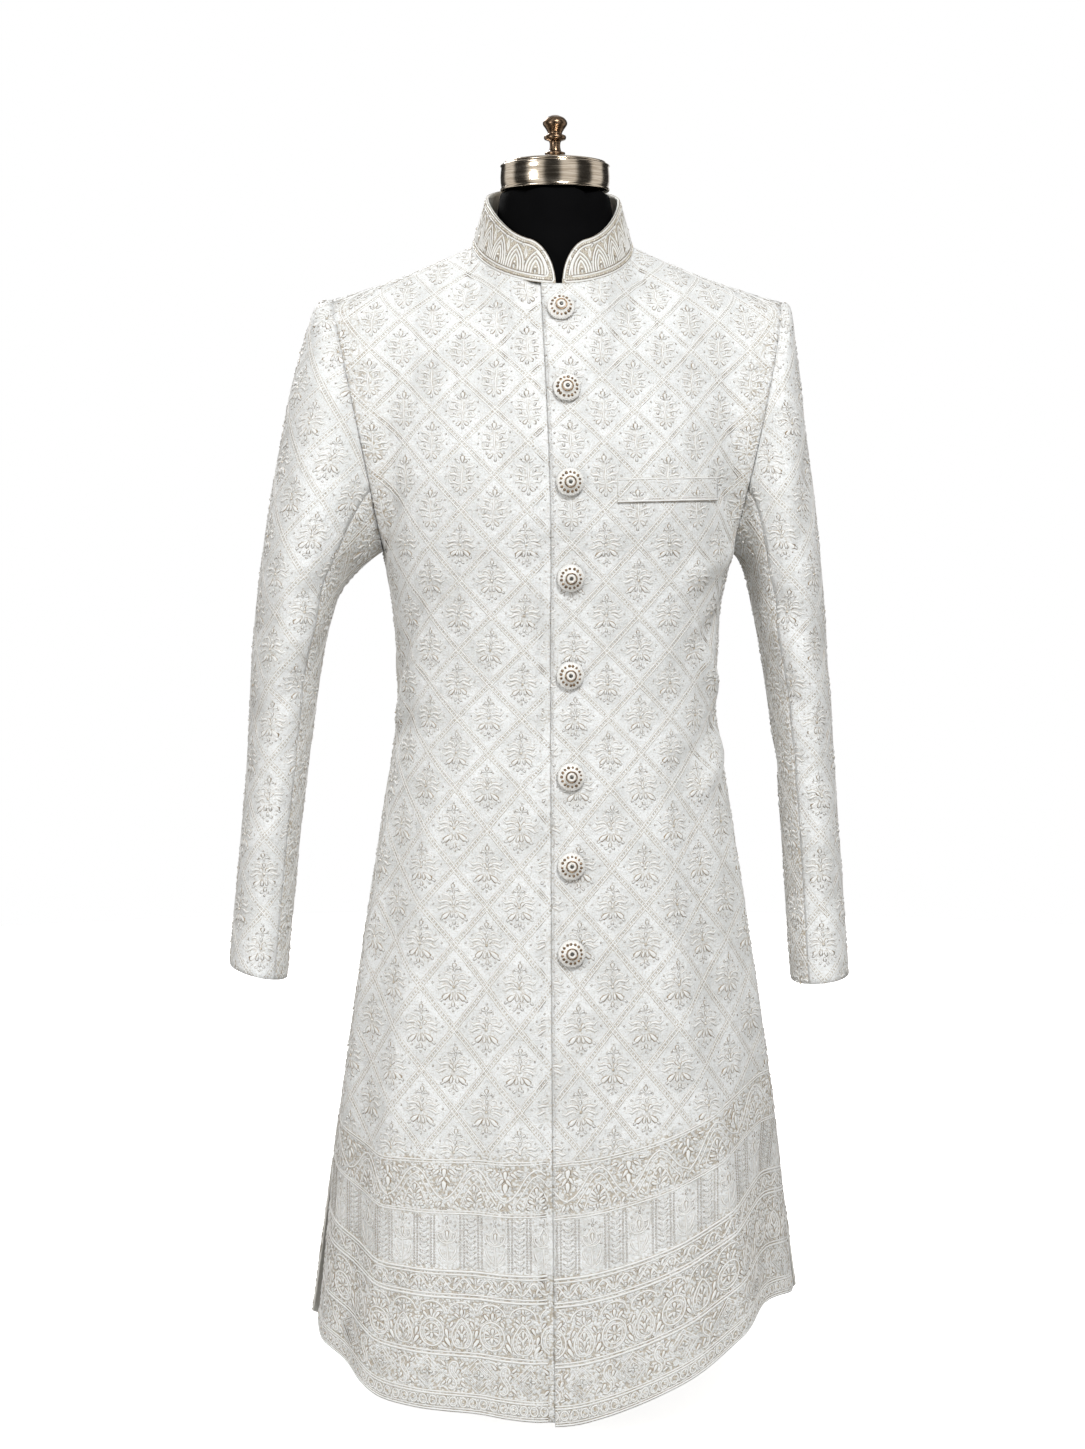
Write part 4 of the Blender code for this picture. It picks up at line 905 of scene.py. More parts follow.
def knots(owner, vector, scale):
    """Distance from the middle of the nearest of many small knots."""
    return new_node(owner, "ShaderNodeTexVoronoi", {"Vector": vector, "Scale": scale,
                                                    "Smoothness": KNOT_SMOOTHNESS},
                    feature="SMOOTH_F1").outputs["Distance"]


def add_bump(owner, height, distance, strength=1.0, below=None):
    node = new_node(owner, "ShaderNodeBump", {"Height": height, "Distance": distance,
                                              "Strength": strength})
    if below is not None:
        connect(owner, below, node.inputs["Normal"])
    return node.outputs["Normal"]


# %% [markdown]
# Brocade has a fine diagonal rib. Two waves of the flat address give it: one across the cloth
# and one along it. A coarser noise adds the slight slubs of hand-finished silk. Where the
# lattice runs, the ground between its two cords shows small crossing stitches, which are a
# tint and a bump here because they are under a millimetre wide. Just outside each cord the
# cloth gets a thin painted shadow, and in the densely worked ground the gaps between small
# knots get painted shade.
# %% The brocade
THREADS_PER_METRE = 620.0
TICKS_PER_DIAMOND = 15.0
CORD_SHADOW_AT = 0.054   # in lattice addresses, as the next two
CORD_SHADOW_FADE, TICK_FADE = (0.003, 0.012), (0.018, 0.028)
TICK_EDGE = (-0.3, 0.5)
CLOTH_GREY = (0.715, 0.726, 0.724, 1.0)
CLOUDS_PER_METRE, STIPPLES_PER_METRE, PUCKERS_PER_METRE, GRAINS_PER_METRE = 26.0, 620.0, 95.0, 400.0
# Values of a noise between which a tone changes.
NOISE_MIDDLE, CLOUD_RANGE, SPECKLE_RANGE = (0.35, 0.65), (0.38, 0.66), (0.50, 0.66)
BROKEN_RANGE, GAP_RANGE = (0.35, 0.60), (0.46, 0.72)
# How much each mark tints the cloth. The cord shadow and the gaps between knots are painted shade; the
# work-and-shade tint is partly painted shade.
TICK_SHADE, PAINTED_CORD_SHADOW, SPECKLE_SHADE, PAINTED_GAP_SHADE, WORK_AND_SHADE_TINT = 0.50, 0.58, 0.40, 0.72, 0.02


def weave_height(material, address, threads):
    """Height of a diagonal twill, from the flat address."""
    across, along = split(material, address)
    diagonal = maths(material, "MULTIPLY", maths(material, "ADD", across, along), threads)
    warp = maths(material, "SINE", maths(material, "MULTIPLY", diagonal, TURN))
    weft = maths(material, "SINE", maths(material, "MULTIPLY", across, TURN * threads * 0.5))
    return maths(material, "ADD", warp, maths(material, "MULTIPLY", weft, 0.5))


def lattice_shadows_and_ticks(material):
    """Painted shadows in thin lines outside the two cords of a line, and the ticks between them."""
    first, second = split(material, uv_map(material, "lattice"))
    cord_shadows, ticks = [], []
    for near, along in ((first, second), (second, first)):
        off = maths(material, "ABSOLUTE", maths(material, "SUBTRACT", maths(material, "FRACT", near), 0.5))
        from_shade = maths(material, "ABSOLUTE", maths(material, "SUBTRACT", off, CORD_SHADOW_AT))
        cord_shadows.append(maths(material, "SUBTRACT", 1.0, smooth_range(material, from_shade, *CORD_SHADOW_FADE)))
        inside = maths(material, "SUBTRACT", 1.0, smooth_range(material, off, *TICK_FADE))
        wave = maths(material, "SINE", maths(material, "MULTIPLY", along, TURN * TICKS_PER_DIAMOND))
        ticks.append(maths(material, "MULTIPLY", inside, smooth_range(material, wave, *TICK_EDGE)))
    present = attribute(material, "patterned")
    return [maths(material, "MULTIPLY", maths(material, "MAXIMUM", *pair), present)
            for pair in (cord_shadows, ticks)]


def make_brocade():
    brocade = new_material("ivory_brocade", CLOTH_WHITE, 0.62, specular=0.32, sheen=0.22)
    shader_of(brocade).inputs["Sheen Roughness"].default_value = 0.45
    address = uv_map(brocade, "flat")
    # strip is the painted shadow beside the lattice cords; tick is the small stitches between them.
    strip, tick = lattice_shadows_and_ticks(brocade)
    cloudy = noise(brocade, object_coordinates(brocade), CLOUDS_PER_METRE, 3.0)
    stipple = noise(brocade, address, STIPPLES_PER_METRE, 3.0, 0.62)
    puckers = noise(brocade, address, PUCKERS_PER_METRE)
    grains = knots(brocade, address, GRAINS_PER_METRE)
    work_and_shade = attribute(brocade, "work_and_shade")
    ground = mix_colours(brocade, smooth_range(brocade, cloudy, *CLOUD_RANGE), CLOTH_WHITE, CLOTH_GREY)
    speckle = smooth_range(brocade, stipple, *SPECKLE_RANGE)
    # The stipple breaks up the painted cord shadow.
    strip = maths(brocade, "MULTIPLY", strip, smooth_range(brocade, stipple, *BROKEN_RANGE))
    # Painted shade in the gaps between the small knots where the ground is worked; part of work_and_shade is
    # itself painted shade, beside the slits and on the under sleeves.
    between = maths(brocade, "MULTIPLY", smooth_range(brocade, grains, *GAP_RANGE), PAINTED_GAP_SHADE)
    gaps = maths(brocade, "MULTIPLY", work_and_shade, maths(brocade, "ADD", between, WORK_AND_SHADE_TINT))
    shade = maths(brocade, "ADD", maths(brocade, "MULTIPLY", tick, TICK_SHADE),
                  maths(brocade, "MULTIPLY", strip, PAINTED_CORD_SHADOW))
    shade = maths(brocade, "ADD", shade, maths(brocade, "MULTIPLY", speckle, SPECKLE_SHADE))
    shade = maths(brocade, "ADD", shade, gaps, clamp=True)
    domes = maths(brocade, "MULTIPLY", maths(brocade, "SUBTRACT", 1.0, grains), work_and_shade)
    relief = None
    for height, distance, strength in (
            (weave_height(brocade, address, THREADS_PER_METRE), 0.00012, 0.55), (stipple, 0.0010, 0.9),
            (puckers, 0.0026, 0.75), (domes, 0.0012, 0.9), (tick, 0.0004, 0.7)):
        relief = add_bump(brocade, height, distance, strength, relief)
    return finish(brocade, mix_colours(brocade, shade, ground, CLOTH_BEIGE), relief)


BROCADE = make_brocade()
print("brocade nodes", len(BROCADE.node_tree.nodes))


# %% Lining and collar ground
def make_lining():
    lining = new_material("plain_lining", (0.70, 0.69, 0.65, 1.0), 0.55, specular=0.3)
    address = uv_map(lining, "flat")
    tone = mix_colours(lining, noise(lining, address, 30.0, 3.0), (0.72, 0.71, 0.67, 1.0),
                       (0.66, 0.65, 0.61, 1.0))
    return finish(lining, tone, add_bump(lining, weave_height(lining, address, 900.0), 0.0001, 0.4))


def make_collar_ground():
    ground = new_material("beige_collar_ground", (0.47, 0.42, 0.34, 1.0), 0.60, specular=0.3)
    grain = noise(ground, uv_map(ground, "flat"), 900.0, 2.0, 0.6)
    tone = mix_colours(ground, smooth_range(ground, grain, *NOISE_MIDDLE), (0.32, 0.27, 0.205, 1.0),
                       (0.62, 0.58, 0.50, 1.0))
    return finish(ground, tone, add_bump(ground, grain, 0.0004, 0.6))


LINING, COLLAR_GROUND = make_lining(), make_collar_ground()
print("cloth materials", [material.name for material in (BROCADE, LINING, COLLAR_GROUND)])

# %% [markdown]
# The thread is untwisted silk, glossy along its ridge. Where it dives into the cloth it lies in
# shade, and that shade is painted: its colour turns to a darker shade colour towards its low
# edges. One material serves every stitch and cord; "strand" runs along a cord or across a
# petal, in metres, and draws the single threads.
# %% Silk thread
STRANDS_PER_METRE = 9000.0
SHADE_BREAKUP_SHARE = 0.30
SHADED_EDGE_START, SHADED_EDGE_WIDTH = 0.36, 0.32


def make_thread(name, ivory, shade, edge=0.34):
    thread = new_material(name, ivory, 0.48, specular=0.4, sheen=0.15)
    tone = noise(thread, object_coordinates(thread), 160.0)
    # Painted shade: where crest is low, the colour turns to the shade colour, and a noise breaks up its edge.
    shade_breakup = maths(thread, "MULTIPLY", noise(thread, object_coordinates(thread), 300.0, 1.0), SHADE_BREAKUP_SHARE)
    painted_shade_share = smooth_range(thread, maths(thread, "ADD", attribute(thread, "crest"), shade_breakup),
                              SHADED_EDGE_START, edge + SHADED_EDGE_WIDTH)
    lit = mix_colours(thread, tone, ivory, tuple(0.93 * part for part in ivory[:3]) + (1.0,))
    strands = maths(thread, "MULTIPLY", attribute(thread, "strand"), STRANDS_PER_METRE)
    return finish(thread, mix_colours(thread, painted_shade_share, shade, lit),
                  add_bump(thread, maths(thread, "SINE", strands), 0.00015, 0.55))


def mottled(name, colour, roughness, first, second, scale, detail=2.0, spread=None, relief=None, **others):
    """A material whose colour wanders between two tones, with a fine relief of the same noise."""
    material = new_material(name, colour, roughness, **others)
    tone = noise(material, object_coordinates(material), scale, detail)
    share = smooth_range(material, tone, *spread) if spread else tone
    return finish(material, mix_colours(material, share, first, second),
                  add_bump(material, tone, *relief) if relief else None)


# The second colour of each thread is painted shade for its low edges.
SILK = make_thread("silk_thread", THREAD_IVORY, THREAD_PAINTED_SHADE)
PIPING = make_thread("white_piping", (0.86, 0.855, 0.83, 1.0), (0.21, 0.17, 0.12, 1.0), 0.42)
BUTTON_THREAD = make_thread("button_rim_thread", (0.90, 0.895, 0.875, 1.0), (0.62, 0.58, 0.50, 1.0), 0.30)
BEADS = mottled("ivory_glass_beads", (0.80, 0.78, 0.72, 1.0), 0.22, (0.84, 0.82, 0.77, 1.0),
                (0.52, 0.45, 0.35, 1.0), 260.0, 1.0, NOISE_MIDDLE, specular=0.6, coat=0.4)
print("materials so far:", len(bpy.data.materials))

# %% [markdown]
# Each cloth piece is a closed shell: the outer grid, an inner copy two millimetres below it,
# and a strip around the edge. A solidify modifier does the same, but here the seams' gaps
# have to stay exact. The outside wears the brocade and the rest wears the lining. The flat
# address becomes a UV map in metres, and a second UV map holds the lattice address.
# %% Cloth shells
LINE_CLEAR = 0.0035        # the lattice stops this far above the border


def lattice_map_of(flat, address, side=None):
    return np.array([[address(*spot, side) for spot in row] for row in flat])


def grid_faces(rows, columns, offset, flipped):
    faces = []
    for r in range(rows - 1):
        for c in range(columns - 1):
            corner = offset + r * columns + c
            face = (corner, corner + 1, corner + columns + 1, corner + columns)
            faces.append(tuple(reversed(face)) if flipped else face)
    return faces


def rim_faces(rows, columns, offset):
    """Strip that joins the outer grid to the inner one around their edge."""
    loop = list(range(columns))
    loop += [r * columns + columns - 1 for r in range(1, rows)]
    loop += [(rows - 1) * columns + c for c in range(columns - 2, -1, -1)]
    loop += [r * columns for r in range(rows - 2, 0, -1)]
    return [(after, here, here + offset, after + offset)
            for here, after in zip(loop, loop[1:] + loop[:1])]


def write_uv(mesh, name, per_point):
    corners = np.zeros(len(mesh.loops), dtype=np.int32)
    mesh.loops.foreach_get("vertex_index", corners)
    layer = mesh.uv_layers.new(name=name)
    layer.data.foreach_set("uv", per_point[corners].astype(np.float32).ravel())


def write_floats(mesh, name, values):
    layer = mesh.attributes.new(name, "FLOAT", "POINT")
    layer.data.foreach_set("value", np.asarray(values, dtype=np.float32).ravel())


def write_vectors(mesh, name, values):
    layer = mesh.attributes.new(name, "FLOAT_VECTOR", "POINT")
    layer.data.foreach_set("vector", np.asarray(values, dtype=np.float32).ravel())


# %% Pieces
def add_piece(name, points, faces, materials):
    """A new smooth piece at the origin, with its place in its mesh."""
    mesh = bpy.data.meshes.new(name)
    mesh.from_pydata([tuple(point) for point in points], [], faces)
    for material in materials:
        mesh.materials.append(material)
    mesh.shade_smooth()
    return new_object(name, mesh)


def cloth_shell(name, panel, lattice_map, work_and_shade, patterned, outside=None):
    outer = panel["points"]
    rows, columns = outer.shape[:2]
    inner = outer - panel["normals"] * CLOTH
    faces = grid_faces(rows, columns, 0, False) + grid_faces(rows, columns, rows * columns, True)
    faces += rim_faces(rows, columns, rows * columns)
    points = np.concatenate([outer.reshape(-1, 3), inner.reshape(-1, 3)])
    piece = add_piece(name, points, faces, (outside or BROCADE, LINING))
    mesh = piece.data
    indices = np.ones(len(faces), dtype=np.int32)
    indices[:(rows - 1) * (columns - 1)] = 0
    mesh.polygons.foreach_set("material_index", indices)
    twice = lambda values: np.concatenate([values, values])
    write_uv(mesh, "flat", twice(panel["flat"].reshape(-1, 2)))
    write_uv(mesh, "lattice", twice(lattice_map.reshape(-1, 2)))
    write_floats(mesh, "work_and_shade", twice(work_and_shade.ravel()))
    write_floats(mesh, "patterned", twice(patterned.ravel()))
    return piece


# %% [markdown]
# The border at the hem is as wide as a hand and a half. It follows the hem's edge, so its
# lines are drawn at heights above the hem and not above the floor. Towards the side slits the
# border narrows a little.
# %% The hem's own height on the cloth
BORDER_TOP = 0.246
BORDER_REACH = 0.30        # metres from the middle where the border is narrowest
HEM_SHRINK = 0.13          # share by which the border narrows from the middle to a slit
PLAIN_BAND = (0.140, 0.193)     # the band of plants has the plainest ground


def hem_line(panel):
    """Flat positions across the cloth and flat heights of the hem."""
    edge = panel["flat"][0]
    order = np.argsort(edge[:, 0])
    return edge[order, 0], edge[order, 1]


def border_height(hem, across, above):
    """Flat height of a line of the border."""
    reach = min(abs(across) / BORDER_REACH, 1.0)
    return float(np.interp(across, *hem)) + above * (1.0 - HEM_SHRINK * reach)


# Levels of work_and_shade: each sets the relief of small knots and the painted shade between them.
DIAMOND_WORK_AND_SHADE, DIAMOND_FADE = 0.42, (0.14, 0.40)
SLIT_WORK_AND_SHADE, SLIT_FADE = 0.55, (0.84, 0.97)
PLAIN_WORK_AND_SHADE, BORDER_WORK_AND_SHADE = 0.25, 0.9


def work_and_shade_share(panel, lattice_map, hem):
    """Near 1 in the border, less around the middle of each diamond and beside a slit."""
    work_and_shade = np.zeros(panel["flat"].shape[:2])
    patterned = np.ones(panel["flat"].shape[:2])
    for r, row in enumerate(panel["flat"]):
        reach = np.abs(row[:, 0]).max()
        for c, (across, height) in enumerate(row):
            away = np.abs(lattice_map[r, c] - np.round(lattice_map[r, c])).max()
            work_and_shade[r, c] = DIAMOND_WORK_AND_SHADE * (1.0 - blend(*DIAMOND_FADE, away))
            if hem is None:
                continue
            # Beside a slit the cloth turns away from the light: this raise is painted shade, with more knot
            # relief.
            work_and_shade[r, c] += SLIT_WORK_AND_SHADE * blend(*SLIT_FADE, abs(across) / reach)
            if height < border_height(hem, across, BORDER_TOP + LINE_CLEAR):
                patterned[r, c] = 0.0
                low, high = (border_height(hem, across, edge) for edge in PLAIN_BAND)
                work_and_shade[r, c] = PLAIN_WORK_AND_SHADE if low < height < high else BORDER_WORK_AND_SHADE
    return work_and_shade, patterned


# The under sleeves lie in the shadow of the body; their raised level is painted shade, with more knot relief.
UNDER_SLEEVE_WORK_AND_SHADE = 0.85
CLOTHS, HEMS = {}, {}
LATTICE_SIDE = {"front_left": 1, "front_right": -1, "back": 0}
for panel_name, panel in PANELS.items():
    if "normals" not in panel:
        panel["normals"] = grid_normals(panel["points"])
    on_body = "sleeve" not in panel_name
    lattice_map = lattice_map_of(panel["flat"], body_lattice if on_body else sleeve_lattice,
                                 LATTICE_SIDE.get(panel_name))
    HEMS[panel_name] = hem_line(panel) if on_body else None
    work_and_shade, patterned = work_and_shade_share(panel, lattice_map, HEMS[panel_name])
    if "under" in panel_name:
        work_and_shade = np.maximum(work_and_shade, UNDER_SLEEVE_WORK_AND_SHADE)
    CLOTHS[panel_name] = cloth_shell(panel_name + "_cloth", panel, lattice_map, work_and_shade, patterned)
print("cloth triangles", sum(2 * len(cloth.data.polygons) for cloth in CLOTHS.values()))

# %% [markdown]
# Embroidery is drawn on the flat cloth and then carried to the worn one. A chart does this:
# it finds the small triangle of the flat grid that holds an address, and takes the same point
# of that triangle on the body. An address off the panel finds nothing, so no stitch hangs
# over an edge.
# %% Charts from flat cloth to worn cloth
CHART_REACH = 0.00004
COVER_CLEAR = 0.0040       # stitches of the right front stop this far before the left one's edge


def make_chart(name, panel):
    rows, columns = panel["points"].shape[:2]
    triangles = []
    for first, second, third, fourth in grid_faces(rows, columns, 0, False):
        triangles += [(first, second, third), (first, third, fourth)]
    flat = panel["flat"].reshape(-1, 2)
    tree = BVHTree.FromPolygons([(u, v, 0.0) for u, v in flat], triangles)
    return {"name": name, "tree": tree, "triangles": triangles, "flat": flat, "floor": 0.0,
            "points": panel["points"].reshape(-1, 3), "normals": panel["normals"].reshape(-1, 3)}


def under_left_front(point):
    level = 1.0 + (point[2] - ARMPIT_HEIGHT) / (NECK_FRONT_HEIGHT - ARMPIT_HEIGHT)
    return point[0] > covering_edge_x(level) - COVER_CLEAR


def on_cloth(chart, across, height):
    """Point and outward direction at a flat address, or None off the panel."""
    if chart["floor"] and height < border_height(HEMS[chart["name"]], across, chart["floor"]):
        return None
    _spot, _normal, index, _distance = chart["tree"].find_nearest((across, height, 0.0), CHART_REACH)
    if index is None:
        return None
    triangle = chart["triangles"][index]
    (ax, ay), (bx, by), (cx, cy) = (chart["flat"][corner] for corner in triangle)
    area = (bx - ax) * (cy - ay) - (cx - ax) * (by - ay)
    if abs(area) < 1e-12:
        return None
    second = ((across - ax) * (cy - ay) - (cx - ax) * (height - ay)) / area
    third = ((bx - ax) * (height - ay) - (across - ax) * (by - ay)) / area
    shares = (1.0 - second - third, second, third)
    point = sum(share * chart["points"][corner] for share, corner in zip(shares, triangle))
    normal = sum(share * chart["normals"][corner] for share, corner in zip(shares, triangle))
    if chart["name"] == "front_right" and under_left_front(point):
        return None
    return point, unit(normal)


CHARTS = {name: make_chart(name, panel) for name, panel in PANELS.items()}
print("charts", len(CHARTS), "middle of the back at", np.round(on_cloth(CHARTS["back"], 0.0, 0.9)[0], 3))

# %% [markdown]
# A motif is a short table of stitches. Petals are padded satin stitches, and seeds are small
# round knots. Cords are twisted threads that are laid on the cloth along a path and tied
# down: a "path" is smoothed, a "line" keeps its corners, and a "leaf" swells. The tables are
# laid out again and again, each time with the small differences of handwork.
# %% Laying stitches
MILLIMETRE = 0.001
PETAL_HEIGHT, HIGHEST_STITCH = 0.40, 0.0013
KNOT_HEIGHT = 0.60
PETAL_FULLNESS = 1.12
CURVE_STEPS = 2
SLIVER_WIDTH = 0.0025      # petals narrower than this are made with fewer faces
hand = np.random.default_rng(41)
LAID = {name: {"petal": [], "sliver": [], "seed": [], "bead": []} for name in PANELS}
PATHS = {name: [] for name in PANELS}


def lay_petal(name, start, end, width):
    """A petal between two flat addresses."""
    heel, tip = on_cloth(CHARTS[name], *start), on_cloth(CHARTS[name], *end)
    if heel is None or tip is None:
        return
    along = tip[0] - heel[0]
    length = float(np.linalg.norm(along))
    if length < 1e-5:
        return
    high = min(PETAL_HEIGHT * width, HIGHEST_STITCH)
    LAID[name]["sliver" if width < SLIVER_WIDTH else "petal"].append((
        (heel[0] + tip[0]) / 2.0, unit(heel[1] + tip[1]), along,
        (length * PETAL_FULLNESS, width * PETAL_FULLNESS, high)))


def lay_knot(name, kind, spot, across_size):
    """A round stitch or bead at a flat address."""
    place = on_cloth(CHARTS[name], *spot)
    if place is None:
        return
    turn = hand.random() * math.pi
    along = np.cross(place[1], (math.cos(turn), math.sin(turn), 0.3))
    LAID[name][kind].append((place[0], place[1], along,
                             (across_size, across_size, KNOT_HEIGHT * across_size)))


LEAF_END, LEAF_SKEW = 0.28, 1.4


def leaf_share(t):
    """A leaf is thin at its ends and full beyond its middle."""
    return LEAF_END + (1.0 - LEAF_END) * math.sin(math.pi * t ** LEAF_SKEW)


print("a leaf's share of its width at heel, middle and tip",
      [round(leaf_share(t), 2) for t in (0.0, 0.5, 1.0)])


# %% Laying cords
def lay_path(name, spots, radius, leaf=False):
    """A cord along flat addresses; it is cut where it leaves the panel."""
    current = []
    for index, spot in enumerate(list(spots) + [None]):
        place = on_cloth(CHARTS[name], *spot) if spot is not None else None
        if place is not None:
            full = leaf_share(index / (len(spots) - 1)) if leaf else 1.0
            current.append((place[0], place[1], radius * full))
        elif len(current) > 1:
            PATHS[name].append(current)
        if place is None:
            current = []


def curved(spots):
    """More places along a path, on a smooth curve through the given ones."""
    spots = [np.array(spot, dtype=float) for spot in spots]
    if len(spots) < 3:
        return spots
    closed = np.linalg.norm(spots[0] - spots[-1]) < 1e-6
    before = [spots[-2] if closed else 2.0 * spots[0] - spots[1]] + spots[:-1]
    after = spots[1:] + [spots[1] if closed else 2.0 * spots[-1] - spots[-2]]
    run = []
    for index in range(len(spots) - 1):
        start, end = spots[index], spots[index + 1]
        leave = (after[index] - before[index]) / 2.0
        arrive = (after[index + 1] - before[index + 1]) / 2.0
        run += [curve(start, leave, end, arrive, step / CURVE_STEPS) for step in range(CURVE_STEPS)]
    return run + [spots[-1]]


# %% Laying motifs
def motif(*rows):
    """Read the rows of a motif: a kind, a star if the row is mirrored, and millimetres.

    A petal has place, turn, length and width; a seed or bead has place and size; a cord has
    its radius and then the places x,y of its path.
    """
    made = []
    for row in rows:
        if isinstance(row, str):
            kind, *words = row.split()
            numbers = [[float(number) for number in word.split(",")] for word in words]
            places = [tuple(pair) for pair in numbers if len(pair) == 2]
            flat = [single[0] for single in numbers if len(single) == 1]
            row = (kind.rstrip("*"), kind.endswith("*"), (flat[0], places) if places else flat)
        made.append(row)
    return made


MOTIF_TURN, PETAL_TURN = 0.10, 4.0     # for one unit of wobble: radians, degrees


def lay_motif(name, rows, middle, size=(1.0, 1.0), wobble=0.25, address=None):
    """One motif at a flat address. Mirrored rows are laid twice."""
    turn = hand.normal(0.0, MOTIF_TURN * wobble)

    def placed(x, y):
        x, y = x - turn * y, y + turn * x
        spot = (middle[0] + x * size[0] * MILLIMETRE, middle[1] + y * size[1] * MILLIMETRE)
        return address(*spot) if address else spot

    for kind, mirrored, row in rows:
        for side in ((1.0, -1.0) if mirrored else (1.0,)):
            if kind == "petal":
                x, y, angle, length, width = row
                x += hand.normal(0.0, wobble)
                y += hand.normal(0.0, wobble)
                angle = math.radians(angle + hand.normal(0.0, PETAL_TURN * wobble))
                half_x = math.cos(angle) * length / 2.0
                half_y = math.sin(angle) * length / 2.0
                lay_petal(name, placed(side * (x - half_x), y - half_y),
                          placed(side * (x + half_x), y + half_y), width * size[0] * MILLIMETRE)
            elif kind in ("path", "line", "leaf"):
                radius, spots = row
                spots = curved(spots) if kind == "path" else spots
                away = hand.normal(0.0, wobble, 2) if kind == "leaf" else (0.0, 0.0)
                lay_path(name, [placed(side * (x + away[0]), y + away[1]) for x, y in spots],
                         radius * MILLIMETRE, kind == "leaf")
            else:
                x, y, across_size = row
                lay_knot(name, kind, placed(side * x, y), across_size * size[0] * MILLIMETRE)


# %% [markdown]
# Two node trees turn the laid places into thread. The first puts a small stitch on every
# point, turned to its own direction and scaled to its own size. The second sweeps the section
# of a cord along each path: a raised ridge with a thin margin on each side, where the thread
# dives into the cloth. Both carry the crest value that the silk material reads, and it paints
# shade on the low margins.
# %% Node trees for stitches and cords
def new_tree(name, sockets):
    tree = bpy.data.node_groups.new(name, "GeometryNodeTree")
    tree.interface.new_socket("Geometry", in_out="INPUT", socket_type="NodeSocketGeometry")
    tree.interface.new_socket("Geometry", in_out="OUTPUT", socket_type="NodeSocketGeometry")
    for socket_name, kind, value in sockets:
        socket = tree.interface.new_socket(socket_name, in_out="INPUT", socket_type=kind)
        if value is not None:
            socket.default_value = value
    return tree, tree.nodes.new("NodeGroupInput"), tree.nodes.new("NodeGroupOutput")


def named(tree, name, kind="FLOAT_VECTOR"):
    return new_node(tree, "GeometryNodeInputNamedAttribute", {"Name": name}, data_type=kind).outputs[0]


def stored(tree, geometry, name, value, kind="FLOAT"):
    return new_node(tree, "GeometryNodeStoreNamedAttribute",
                    {"Geometry": geometry, "Name": name, "Value": value},
                    data_type=kind, domain="POINT").outputs[0]


def shape_of(tree, picked):
    """The geometry of the object that is picked in a socket."""
    return new_node(tree, "GeometryNodeObjectInfo", {"Object": picked}).outputs["Geometry"]


def finish_tree(tree, geometry, start, end):
    """Every tree ends in real geometry that wears the given finish."""
    real = new_node(tree, "GeometryNodeRealizeInstances", {"Geometry": geometry}).outputs[0]
    finished = new_node(tree, "GeometryNodeSetMaterial",
                        {"Geometry": real, "Material": start.outputs["Finish"]}).outputs[0]
    tree.links.new(finished, end.inputs[0])
    return tree


def make_stitch_tree():
    tree, start, end = new_tree("laid_stitches", (
        ("Stitch", "NodeSocketObject", None), ("Raise", "NodeSocketFloat", 1.0),
        ("Finish", "NodeSocketMaterial", None)))
    shape = shape_of(tree, start.outputs["Stitch"])
    turn = new_node(tree, "FunctionNodeAxesToRotation",
                    {"Primary Axis": named(tree, "facing"), "Secondary Axis": named(tree, "along")},
                    primary_axis="Z", secondary_axis="X").outputs[0]
    lift = new_node(tree, "ShaderNodeCombineXYZ",
                    {"X": 1.0, "Y": 1.0, "Z": start.outputs["Raise"]}).outputs[0]
    size = new_node(tree, "ShaderNodeVectorMath", {0: named(tree, "size"), 1: lift}, operation="MULTIPLY")
    placed = new_node(tree, "GeometryNodeInstanceOnPoints",
                      {"Points": start.outputs["Geometry"], "Instance": shape, "Rotation": turn,
                       "Scale": size.outputs[0]}).outputs[0]
    return finish_tree(tree, placed, start, end)


def make_cord_tree():
    tree, start, end = new_tree("couched_cords", (
        ("Section", "NodeSocketObject", None), ("Thickness", "NodeSocketFloat", 1.0),
        ("Finish", "NodeSocketMaterial", None)))
    path = new_node(tree, "GeometryNodeMeshToCurve", {"Mesh": start.outputs["Geometry"]}).outputs[0]
    path = stored(tree, path, "core", new_node(tree, "GeometryNodeInputPosition").outputs[0], "FLOAT_VECTOR")
    path = stored(tree, path, "strand", new_node(tree, "GeometryNodeSplineParameter").outputs["Length"])
    path = new_node(tree, "GeometryNodeSetCurveNormal", {"Curve": path, "Normal": named(tree, "facing")},
                    mode="FREE").outputs[0]
    ring = new_node(tree, "GeometryNodeMeshToCurve", {"Mesh": shape_of(tree, start.outputs["Section"])})
    thick = maths(tree, "MULTIPLY", named(tree, "thick", "FLOAT"), start.outputs["Thickness"])
    tube = new_node(tree, "GeometryNodeCurveToMesh",
                    {"Curve": path, "Profile Curve": ring.outputs[0], "Scale": thick,
                     "Fill Caps": True}).outputs[0]
    here = new_node(tree, "GeometryNodeInputPosition").outputs[0]
    offset = new_node(tree, "ShaderNodeVectorMath", {0: here, 1: named(tree, "core")}, operation="SUBTRACT")
    rise = new_node(tree, "ShaderNodeVectorMath", {0: offset.outputs[0], 1: named(tree, "facing")},
                    operation="DOT_PRODUCT").outputs["Value"]
    share = maths(tree, "DIVIDE", rise, thick, True)
    return finish_tree(tree, stored(tree, tube, "crest", share), start, end)


STITCH_TREE, CORD_TREE = make_stitch_tree(), make_cord_tree()
print("tree nodes", len(STITCH_TREE.nodes), "and", len(CORD_TREE.nodes))


